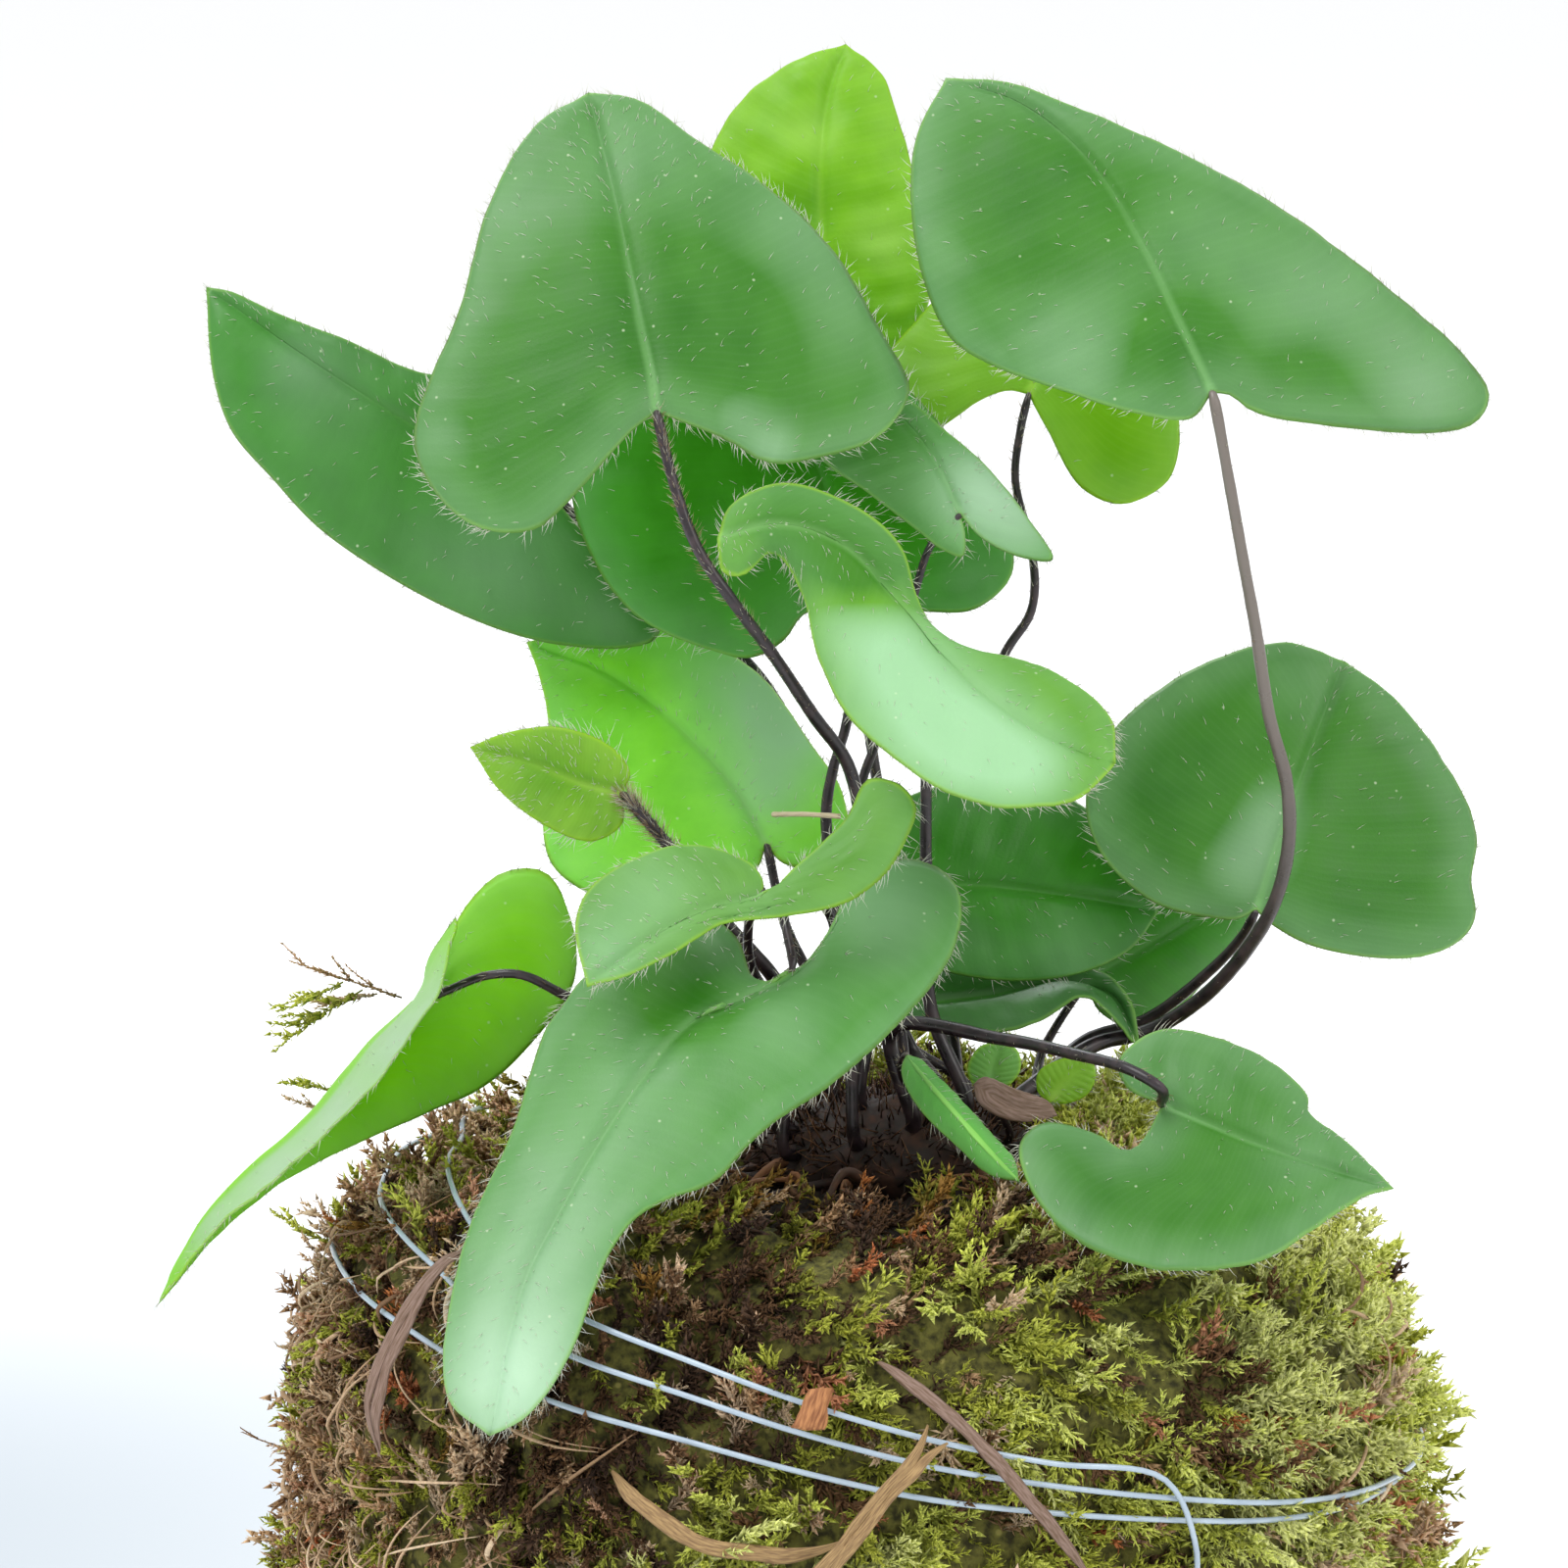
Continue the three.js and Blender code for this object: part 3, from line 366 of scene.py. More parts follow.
# ---------------------------------------------------------------- finishes
@dataclass(frozen=True)
class LeafFinish:
    """Fern blade, grown: a skin of wax over soft green flesh, thin enough to glow against the light.

    Attributes:
        name: Name of the material.
        body: Main colour of the upper side.
        shade: Deeper colour in the mottling.
        painted_light: Pale colour of the painted sheen and the painted highlights; the side veins use it too.
        rib: Colour of the midrib.
        rim: Colour of the thin margin.
        under: Colour of the lower side.
        roughness: Middle of the roughness range.
        glow: Share of the light that passes through.
        vein: How strongly the fan of side veins shows.
    """

    name: str
    body: str
    shade: str
    painted_light: str
    rib: str
    rim: str
    under: str
    roughness: float
    glow: float
    vein: float

    MOTTLE = 5.0  # patches of slightly different green, mm
    CELL = 0.35  # skin cells are finer than this; drawn as coarse as they need to show, mm
    SPECK = 2.6  # spacing of the pale pores, mm
    VEINS = 46.0  # side veins from base to tip

    def make(self) -> bpy.types.Material:
        """Makes the material."""
        material, tree = new_material(self.name)
        place = add_node(tree, "ShaderNodeTexCoord").outputs["Object"]
        mark = {
            key: add_node(tree, "ShaderNodeAttribute", {"attribute_name": key}).outputs["Fac"]
            for key in ("rib", "edge", "under", "pale", "vein", "tone")
        }
        mix = {"data_type": "RGBA"}
        mottle = add_node(
            tree, "ShaderNodeTexNoise", inputs={"Vector": place, "Scale": per_mm(self.MOTTLE), "Detail": 4.0}
        )
        # deeper green in soft mottled patches, and painted shade wherever the pale mark is under 0
        patches = add_node(
            tree, "ShaderNodeMapRange", inputs={0: mottle.outputs["Fac"], 1: 0.36, 2: 0.66, 3: 0.35, 4: 0.0}
        ).outputs[0]
        deep = add_node(tree, "ShaderNodeMapRange", inputs={0: mark["pale"], 1: 0.0, 2: -1.0}).outputs[0]
        deep = add_node(tree, "ShaderNodeMath", {"use_clamp": True}, {0: patches, 1: deep}).outputs[0]
        colour = add_node(
            tree, "ShaderNodeMix", mix, {0: deep, 6: hex_to_linear(self.body), 7: hex_to_linear(self.shade)}
        ).outputs[2]
        under = hex_to_linear(self.under)
        colour = add_node(tree, "ShaderNodeMix", mix, {0: mark["under"], 6: colour, 7: under}).outputs[2]
        # each frond is lighter or darker than the rest: partly its own green, partly painted light that
        # brightens fronds lying in shade
        colour = add_node(
            tree, "ShaderNodeHueSaturation", inputs={"Color": colour, "Value": mark["tone"]}
        ).outputs[0]
        # painted sheen: paler towards the margin, and painted highlights in patches where the pale mark is
        # over 0
        painted_sheen = add_node(
            tree,
            "ShaderNodeMapRange",
            {"interpolation_type": "SMOOTHSTEP"},
            {0: mark["edge"], 1: 6.0, 2: 0.0, 4: 0.16},
        ).outputs[0]
        painted_sheen = add_node(
            tree, "ShaderNodeMath", {"operation": "MAXIMUM"}, {0: painted_sheen, 1: mark["pale"]}
        ).outputs[0]
        colour = add_node(
            tree, "ShaderNodeMix", mix, {0: painted_sheen, 6: colour, 7: hex_to_linear(self.painted_light)}
        ).outputs[2]
        # the side veins fan out from the base as fine paler lines, in the same pale colour as the painted
        # light
        turns = add_node(
            tree, "ShaderNodeMath", {"operation": "MULTIPLY"}, {0: mark["vein"], 1: 2 * math.pi * self.VEINS}
        ).outputs[0]
        wave = add_node(tree, "ShaderNodeMath", {"operation": "SINE"}, {0: turns}).outputs[0]
        lines = add_node(
            tree, "ShaderNodeMapRange", inputs={0: wave, 1: 0.2, 2: 1.0, 4: self.vein}
        ).outputs[0]
        colour = add_node(
            tree, "ShaderNodeMix", mix, {0: lines, 6: colour, 7: hex_to_linear(self.painted_light)}
        ).outputs[2]
        # midrib: palest near the base, fading towards the tip
        strength = add_node(
            tree, "ShaderNodeMapRange", inputs={0: mark["vein"], 1: 0.05, 2: 0.7, 3: 0.6, 4: 0.12}
        ).outputs[0]
        rib = add_node(
            tree,
            "ShaderNodeMapRange",
            {"interpolation_type": "SMOOTHSTEP"},
            {0: mark["rib"], 1: 0.85, 2: 0.1, 4: strength},
        ).outputs[0]
        colour = add_node(
            tree, "ShaderNodeMix", mix, {0: rib, 6: colour, 7: hex_to_linear(self.rib)}
        ).outputs[2]
        # the margin is only skin deep, so it shows yellow-green
        rim = add_node(
            tree,
            "ShaderNodeMapRange",
            {"interpolation_type": "SMOOTHSTEP"},
            {0: mark["edge"], 1: 0.5, 2: 0.05, 4: 0.6},
        ).outputs[0]
        colour = add_node(
            tree, "ShaderNodeMix", mix, {0: rim, 6: colour, 7: hex_to_linear(self.rim)}
        ).outputs[2]
        pores = add_node(tree, "ShaderNodeTexVoronoi", inputs={"Vector": place, "Scale": per_mm(self.SPECK)})
        specks = add_node(
            tree, "ShaderNodeMapRange", inputs={0: pores.outputs["Distance"], 1: 0.075, 2: 0.03, 4: 0.45}
        ).outputs[0]
        colour = add_node(
            tree, "ShaderNodeMix", mix, {0: specks, 6: colour, 7: hex_to_linear("#DCE8C8")}
        ).outputs[2]
        cells = add_node(
            tree, "ShaderNodeTexNoise", inputs={"Vector": place, "Scale": per_mm(self.CELL), "Detail": 2.0}
        ).outputs["Fac"]
        rough = add_node(
            tree,
            "ShaderNodeMapRange",
            inputs={
                0: mottle.outputs["Fac"], 1: 0.3, 2: 0.7, 3: self.roughness - 0.07, 4: self.roughness + 0.09
            },
        ).outputs[0]
        veined = add_node(
            tree, "ShaderNodeBump", inputs={"Height": wave, "Strength": 0.03, "Distance": 0.06 * MM}
        ).outputs[0]
        skin = add_node(
            tree,
            "ShaderNodeBump",
            inputs={"Height": cells, "Strength": 0.35, "Distance": 0.05 * MM, "Normal": veined},
        ).outputs[0]
        surface = add_node(
            tree,
            "ShaderNodeBsdfPrincipled",
            inputs={"Base Color": colour, "Roughness": rough, "Normal": skin, "IOR": 1.4},
        )
        lit = add_node(
            tree,
            "ShaderNodeMix",
            {**mix, "blend_type": "MULTIPLY"},
            {0: 1.0, 6: colour, 7: (1.25, 1.35, 0.55, 1)},
        ).outputs[2]
        through = add_node(tree, "ShaderNodeBsdfTranslucent", inputs={"Color": lit, "Normal": skin})
        both = add_node(
            tree, "ShaderNodeMixShader", inputs={0: self.glow, 1: surface.outputs[0], 2: through.outputs[0]}
        )
        add_node(tree, "ShaderNodeOutputMaterial", inputs={"Surface": both.outputs[0]})
        return material


class LeafAge(Enum):
    """The ages of blade on this plant, each with its finish."""

    MATURE = LeafFinish(
        "leaf_mature_waxy",
        "#3D7F1E",
        "#246808",
        "#B0D4B4",
        "#7CB46C",
        "#84B850",
        "#659E38",
        0.42,
        0.14,
        0.012,
    )
    DARK = LeafFinish(
        "leaf_old_waxy", "#2E7C06", "#1B5C02", "#7FA082", "#52903A", "#76A842", "#50882C", 0.40, 0.12, 0.01
    )
    MATTE = LeafFinish(
        "leaf_downy_soft", "#60A022", "#3A8004", "#9CCC9C", "#86BC70", "#9CCC2C", "#66A42E", 0.50, 0.18, 0.012
    )
    YOUNG = LeafFinish(
        "leaf_young_thin", "#82BC0E", "#5C9C02", "#BEDC80", "#B4DA5C", "#9CC81C", "#70AC14", 0.44, 0.36, 0.03
    )
    FOLDED = LeafFinish(
        "leaf_young_folded",
        "#72B00C",
        "#5C9C02",
        "#A9C8A4",
        "#9CC87C",
        "#94C41C",
        "#70AC14",
        0.44,
        0.30,
        0.02,
    )


@dataclass(frozen=True)
class FibreFinish:
    """Hair, moss or dry fibre, grown: its tone runs along u of its map and its length along v.

    Attributes:
        name: Name of the material.
        tones: Colours from u = 0 to u = 1.
        root: How bright a fibre is at its root, beside its tip.
        roughness: Roughness, the same all over.
        glow: Share of the light that passes through.
        blotch: How much neighbouring fibres differ in brightness.
    """

    name: str
    tones: tuple[str, ...]
    root: float
    roughness: float
    glow: float
    blotch: float

    def make(self) -> bpy.types.Material:
        """Makes the material."""
        material, tree = new_material(self.name)
        sheet = add_node(tree, "ShaderNodeUVMap", {"uv_map": BAKE_MAP}).outputs[0]
        ends = add_node(tree, "ShaderNodeSeparateXYZ", inputs={0: sheet}).outputs
        last = len(self.tones) - 1
        stops = [(i / last, hex_to_linear(code)) for i, code in enumerate(self.tones)]
        tone = add_node(tree, "ShaderNodeValToRGB", {"stops": stops}, {0: ends["X"]}).outputs[0]
        bright = add_node(
            tree, "ShaderNodeMapRange", inputs={0: ends["Y"], 1: 0.0, 2: 0.75, 3: self.root, 4: 1.0}
        ).outputs[0]
        grain = add_node(
            tree,
            "ShaderNodeTexNoise",
            {"noise_dimensions": "2D"},
            {"Vector": sheet, "Scale": 90.0, "Detail": 2.0},
        ).outputs["Fac"]
        vary = add_node(
            tree,
            "ShaderNodeMapRange",
            inputs={0: grain, 1: 0.3, 2: 0.7, 3: 1 - self.blotch, 4: 1 + self.blotch},
        ).outputs[0]
        value = add_node(tree, "ShaderNodeMath", {"operation": "MULTIPLY"}, {0: bright, 1: vary}).outputs[0]
        colour = add_node(
            tree, "ShaderNodeHueSaturation", inputs={"Color": tone, "Value": value}
        ).outputs[0]
        surface = add_node(
            tree,
            "ShaderNodeBsdfPrincipled",
            inputs={"Base Color": colour, "Roughness": self.roughness, "IOR": 1.45},
        )
        through = add_node(tree, "ShaderNodeBsdfTranslucent", inputs={"Color": colour})
        both = add_node(
            tree, "ShaderNodeMixShader", inputs={0: self.glow, 1: surface.outputs[0], 2: through.outputs[0]}
        )
        add_node(tree, "ShaderNodeOutputMaterial", inputs={"Surface": both.outputs[0]})
        return material


# live carpet moss: bright feathery tips over brown dead growth, with dried patches
MOSS = FibreFinish(
    "carpet_moss_live_and_dried",
    (
        "#4A3426",
        "#86623F",
        "#D2AC80",
        "#F2DCBA",
        "#D07C48",
        "#8E9030",
        "#BCC046",
        "#D6DC58",
        "#EAF27C",
        "#F8FCA8",
    ),
    0.5,
    0.75,
    0.3,
    0.3,
)
# leaf and stipe hairs: white and glassy, some rusty
HAIR = FibreFinish("fern_hair_dry", ("#F2F4EA", "#E4E4CE", "#C8B48C", "#9A6E44"), 0.8, 0.4, 0.35, 0.08)
# scales on the crown: thin brown papery points
CROWN_SCALE = FibreFinish("crown_scale_papery", ("#2A1A14", "#4E3220", "#7A5230"), 0.5, 0.6, 0.1, 0.2)
# tangled dry grass and root fibres
DRY_FIBRE = FibreFinish(
    "dry_fibre_weathered", ("#7A5C40", "#A88A68", "#CBAE8C", "#E2CCAC"), 0.8, 0.75, 0.1, 0.18
)


@dataclass(frozen=True)
class StemFinish:
    """A round grown stem or root: a dark polished bark that dulls and pales with age.

    Attributes:
        name: Name of the material.
        body: Main colour.
        streak: Colour of the long streaks.
        aged: Colour where the mark "aged" is 1.
        roughness: Middle of the roughness range.
    """

    name: str
    body: str
    streak: str
    aged: str
    roughness: float

    STREAK = 1.6  # length of a streak, mm

    def make(self) -> bpy.types.Material:
        """Makes the material."""
        material, tree = new_material(self.name)
        place = add_node(tree, "ShaderNodeTexCoord").outputs["Object"]
        aged = add_node(tree, "ShaderNodeAttribute", {"attribute_name": "aged"}).outputs["Fac"]
        streaks = add_node(
            tree, "ShaderNodeTexNoise", inputs={"Vector": place, "Scale": per_mm(self.STREAK), "Detail": 5.0}
        ).outputs["Fac"]
        share = add_node(tree, "ShaderNodeMapRange", inputs={0: streaks, 1: 0.45, 2: 0.68}).outputs[0]
        colour = add_node(
            tree,
            "ShaderNodeMix",
            {"data_type": "RGBA"},
            {0: share, 6: hex_to_linear(self.body), 7: hex_to_linear(self.streak)},
        ).outputs[2]
        colour = add_node(
            tree, "ShaderNodeMix", {"data_type": "RGBA"}, {0: aged, 6: colour, 7: hex_to_linear(self.aged)}
        ).outputs[2]
        rough = add_node(
            tree,
            "ShaderNodeMapRange",
            inputs={0: streaks, 1: 0.3, 2: 0.7, 3: self.roughness - 0.08, 4: self.roughness + 0.12},
        ).outputs[0]
        relief = add_node(
            tree, "ShaderNodeBump", inputs={"Height": streaks, "Strength": 0.5, "Distance": 0.08 * MM}
        ).outputs[0]
        surface = add_node(
            tree,
            "ShaderNodeBsdfPrincipled",
            inputs={"Base Color": colour, "Roughness": rough, "Normal": relief, "IOR": 1.5},
        )
        add_node(tree, "ShaderNodeOutputMaterial", inputs={"Surface": surface.outputs[0]})
        return material


# fern stipe: hard and purple-black with a dull polish
STIPE = StemFinish("fern_stipe_polished", "#1E171C", "#3A2C30", "#7C746C", 0.32)
# roots and stubs in the hollow: brown-black and dull
ROOT = StemFinish("root_dull", "#2A1C18", "#4E3226", "#8A5A34", 0.7)


@dataclass(frozen=True)
class EarthFinish:
    """A matted or crumbly ground, grown or pressed: broken brown patches with coarse relief.

    Attributes:
        name: Name of the material.
        deep: Colour in the hollows.
        body: Main colour.
        fleck: Colour of the scattered bits.
        grain: Width of a crumb, mm.
    """

    name: str
    deep: str
    body: str
    fleck: str
    grain: float

    def make(self) -> bpy.types.Material:
        """Makes the material."""
        material, tree = new_material(self.name)
        place = add_node(tree, "ShaderNodeTexCoord").outputs["Object"]
        crumbs = add_node(
            tree, "ShaderNodeTexNoise", inputs={"Vector": place, "Scale": per_mm(self.grain), "Detail": 6.0}
        ).outputs["Fac"]
        # the crumb noise gives both colour and relief: the hollows take the deep colour, which is painted
        # shade
        stops = [(0.35, hex_to_linear(self.deep)), (0.6, hex_to_linear(self.body))]
        colour = add_node(tree, "ShaderNodeValToRGB", {"stops": stops}, {0: crumbs}).outputs[0]
        bits = add_node(
            tree, "ShaderNodeTexVoronoi", inputs={"Vector": place, "Scale": per_mm(2 * self.grain)}
        ).outputs["Distance"]
        flecks = add_node(tree, "ShaderNodeMapRange", inputs={0: bits, 1: 0.2, 2: 0.1, 4: 0.7}).outputs[0]
        colour = add_node(
            tree, "ShaderNodeMix", {"data_type": "RGBA"}, {0: flecks, 6: colour, 7: hex_to_linear(self.fleck)}
        ).outputs[2]
        relief = add_node(
            tree, "ShaderNodeBump", inputs={"Height": crumbs, "Strength": 0.9, "Distance": 0.6 * MM}
        ).outputs[0]
        surface = add_node(
            tree,
            "ShaderNodeBsdfPrincipled",
            inputs={"Base Color": colour, "Roughness": 0.92, "Normal": relief},
        )
        add_node(tree, "ShaderNodeOutputMaterial", inputs={"Surface": surface.outputs[0]})
        return material


# pressed dead moss under the live shoots: dark, brown-olive
MOSS_BED = EarthFinish("moss_bed_pressed", "#302E10", "#6C6A2E", "#9A924E", 1.0)
# peat: black-brown crumbs with orange-brown bits
PEAT = EarthFinish("peat_crumbled", "#100A07", "#2B1D14", "#6A4226", 1.0)


@dataclass(frozen=True)
class LineFinish:
    """Nylon line, drawn: clear, smooth and bluish white with a sharp shine.

    Attributes:
        name: Name of the material.
        colour: Tint of the line.
    """

    name: str = "nylon_line_drawn"
    colour: str = "#BCCCDA"

    # the line is duller in stretches and painted darker there: the darker colour is a painted dark reflection
    WEAR_AND_DARK_REFLECTION = 3.0  # spacing of the duller stretches, mm

    def make(self) -> bpy.types.Material:
        """Makes the material."""
        material, tree = new_material(self.name)
        place = add_node(tree, "ShaderNodeTexCoord").outputs["Object"]
        wear_and_dark_reflection = add_node(
            tree, "ShaderNodeTexNoise", inputs={"Vector": place, "Scale": per_mm(self.WEAR_AND_DARK_REFLECTION), "Detail": 3.0}
        ).outputs["Fac"]
        # painted dark reflection: darker blue-grey in the stretches, which are also rougher
        colour = add_node(
            tree,
            "ShaderNodeMix",
            {"data_type": "RGBA"},
            {0: wear_and_dark_reflection, 6: hex_to_linear(self.colour), 7: hex_to_linear("#8496A6")},
        ).outputs[2]
        rough = add_node(tree, "ShaderNodeMapRange", inputs={0: wear_and_dark_reflection, 3: 0.08, 4: 0.3}).outputs[0]
        surface = add_node(
            tree,
            "ShaderNodeBsdfPrincipled",
            inputs={"Base Color": colour, "Roughness": rough, "IOR": 1.53, "Coat Weight": 0.3},
        )
        add_node(tree, "ShaderNodeOutputMaterial", inputs={"Surface": surface.outputs[0]})
        return material


@dataclass(frozen=True)
class StrawFinish:
    """Dry grass, bark or stalk, weathered: long fibres with grey-brown streaks.

    Attributes:
        name: Name of the material.
        body: Main colour.
        streak: Colour of the fibres.
        fibre: Width of a fibre, mm.
    """

    name: str
    body: str
    streak: str
    fibre: float

    def make(self) -> bpy.types.Material:
        """Makes the material."""
        material, tree = new_material(self.name)
        across = add_node(tree, "ShaderNodeAttribute", {"attribute_name": "across"}).outputs["Fac"]
        along = add_node(tree, "ShaderNodeAttribute", {"attribute_name": "along"}).outputs["Fac"]
        grid = add_node(tree, "ShaderNodeCombineXYZ", inputs={0: across, 1: along}).outputs[0]
        fibres = add_node(
            tree, "ShaderNodeTexNoise", inputs={"Vector": grid, "Scale": 1 / self.fibre, "Detail": 4.0}
        ).outputs["Fac"]
        share = add_node(tree, "ShaderNodeMapRange", inputs={0: fibres, 1: 0.38, 2: 0.62}).outputs[0]
        colour = add_node(
            tree,
            "ShaderNodeMix",
            {"data_type": "RGBA"},
            {0: share, 6: hex_to_linear(self.body), 7: hex_to_linear(self.streak)},
        ).outputs[2]
        relief = add_node(
            tree, "ShaderNodeBump", inputs={"Height": fibres, "Strength": 0.6, "Distance": 0.1 * MM}
        ).outputs[0]
        surface = add_node(
            tree,
            "ShaderNodeBsdfPrincipled",
            inputs={"Base Color": colour, "Roughness": 0.72, "Normal": relief},
        )
        add_node(tree, "ShaderNodeOutputMaterial", inputs={"Surface": surface.outputs[0]})
        return material


# sedge or grass blade, dried grey-brown
STRAW = StrawFinish("grass_blade_dried", "#8C7468", "#6A5240", 0.22)
# the golden straws
GOLD_STRAW = StrawFinish("grass_straw_dried", "#A88A5C", "#7C6040", 0.2)
# bark chip: orange-tan, flaking
BARK = StrawFinish("bark_chip_flaked", "#B47C4C", "#7C4A28", 0.3)
# stalk bleached by the light
BLEACHED = StrawFinish("stalk_bleached", "#CDBFA2", "#A8977A", 0.25)


# ---------------------------------------------------------------- fronds
@dataclass(frozen=True)
class Sight:
    """The eye in front of the plant that the fronds are drawn from.

    Attributes:
        right: Its place along +X, mm.
        up: Height that it looks at, mm.
        distance: How far it stands from the plant's middle plane, mm.
        pitch: How far it looks down, radians.
    """

    right: float = -7.5
    up: float = 135.0
    distance: float = 800.0
    pitch: float = math.radians(10)

    def place(self, drawn: np.ndarray | list | tuple) -> np.ndarray:
        """Turns drawn points to places in space.

        Args:
            drawn: Rows of [right, up, back] in millimetres.

        Returns:
            Rows of x, y, z in millimetres.
        """
        right, up, back = np.atleast_2d(np.asarray(drawn, dtype=float)).T
        sin, cos = math.sin(self.pitch), math.cos(self.pitch)
        rise = up - self.up
        dz = (
            rise * (self.distance + back * cos) - back * sin * self.distance
        ) / (cos * self.distance + rise * sin)
        reach = (self.distance + back * cos - dz * sin) / self.distance
        return np.stack([self.right + (right - self.right) * reach, back, self.up + dz], 1)

    def eye(self) -> np.ndarray:
        """Where the eye is, in millimetres."""
        back = self.distance * math.cos(self.pitch)
        return np.array([self.right, -back, self.up + self.distance * math.sin(self.pitch)])


class Half(Enum):
    """The halves of a blade, as drawn."""

    LEFT = 0
    RIGHT = 1
    BOTH = 2


@dataclass(frozen=True)
class CrownPlan:
    """The fern's crown, an ellipsoid that the stipes leave.

    Attributes:
        centre: Its middle, mm.
        radii: Its half-widths along X, Y and Z, mm.
    """

    centre: tuple[float, float, float] = (4.0, -2.0, 97.0)
    radii: tuple[float, float, float] = (15.0, 11.0, 7.0)

    def point(self, heading: float, height: float, clear: float) -> np.ndarray:
        """A point clear of the surface at a heading from the front towards +X and a height angle, degrees."""
        h, v = math.radians(heading), math.radians(height)
        way = np.array([math.sin(h) * math.cos(v), -math.cos(h) * math.cos(v), math.sin(v)])
        return np.array(self.centre) + (np.array(self.radii) + clear) * way


@dataclass(frozen=True)
class FrondPlan:
    """How one frond is drawn and how it looks.

    Attributes:
        name: The frond's name.
        age: Which finish its blade has.
        radius: Half the thickness of its stipe.
        base: Where the blade meets its stipe, [right, up, back].
        lean, turn: How far the blade slopes back per millimetre up and to the right.
        arch, droop: Radii of curvature across the rib and along it.
        tip: The blade's tip.
        rib: Points along the rib between base and tip.
        left, right: Each half's outline round its lobe to the tip; a third number curls it back.
        foot: Heading and height angle at which the stipe leaves the crown, degrees.
        tone: Brightness beside the rest: partly the frond's own green, partly painted light that brightens
            fronds lying in shade.
        fuzz, stipe_fuzz: How hairy the blade and its stipe are.
        stipe: Points between the crown and the blade.
        heel: Where rib and outline start on a blade whose lobe is rolled over.
        stipe_aged: How far the stipe's top has gone grey.
        ripple: Height of the waves in the blade.
        painted_light_spots: Soft patches as (right, up, radius, strength): over 0 a pale painted highlight,
            under 0 painted shade in deeper green.
        painted_light_half: The half that has the painted patches.
    """

    name: str
    age: LeafAge
    radius: float
    base: tuple[float, float, float]
    lean: float
    turn: float
    arch: float
    droop: float
    tip: tuple[float, ...]
    rib: tuple[tuple[float, ...], ...]
    left: tuple[tuple[float, ...], ...]
    right: tuple[tuple[float, ...], ...]
    foot: tuple[float, float]
    tone: float
    fuzz: float
    stipe_fuzz: float = 1.2
    stipe: tuple[tuple[float, float, float], ...] = ()
    heel: tuple[float, ...] | None = None
    stipe_aged: float = 0.0
    ripple: float = 0.35
    painted_light_spots: tuple[tuple[float, float, float, float], ...] = ()
    painted_light_half: Half = Half.BOTH


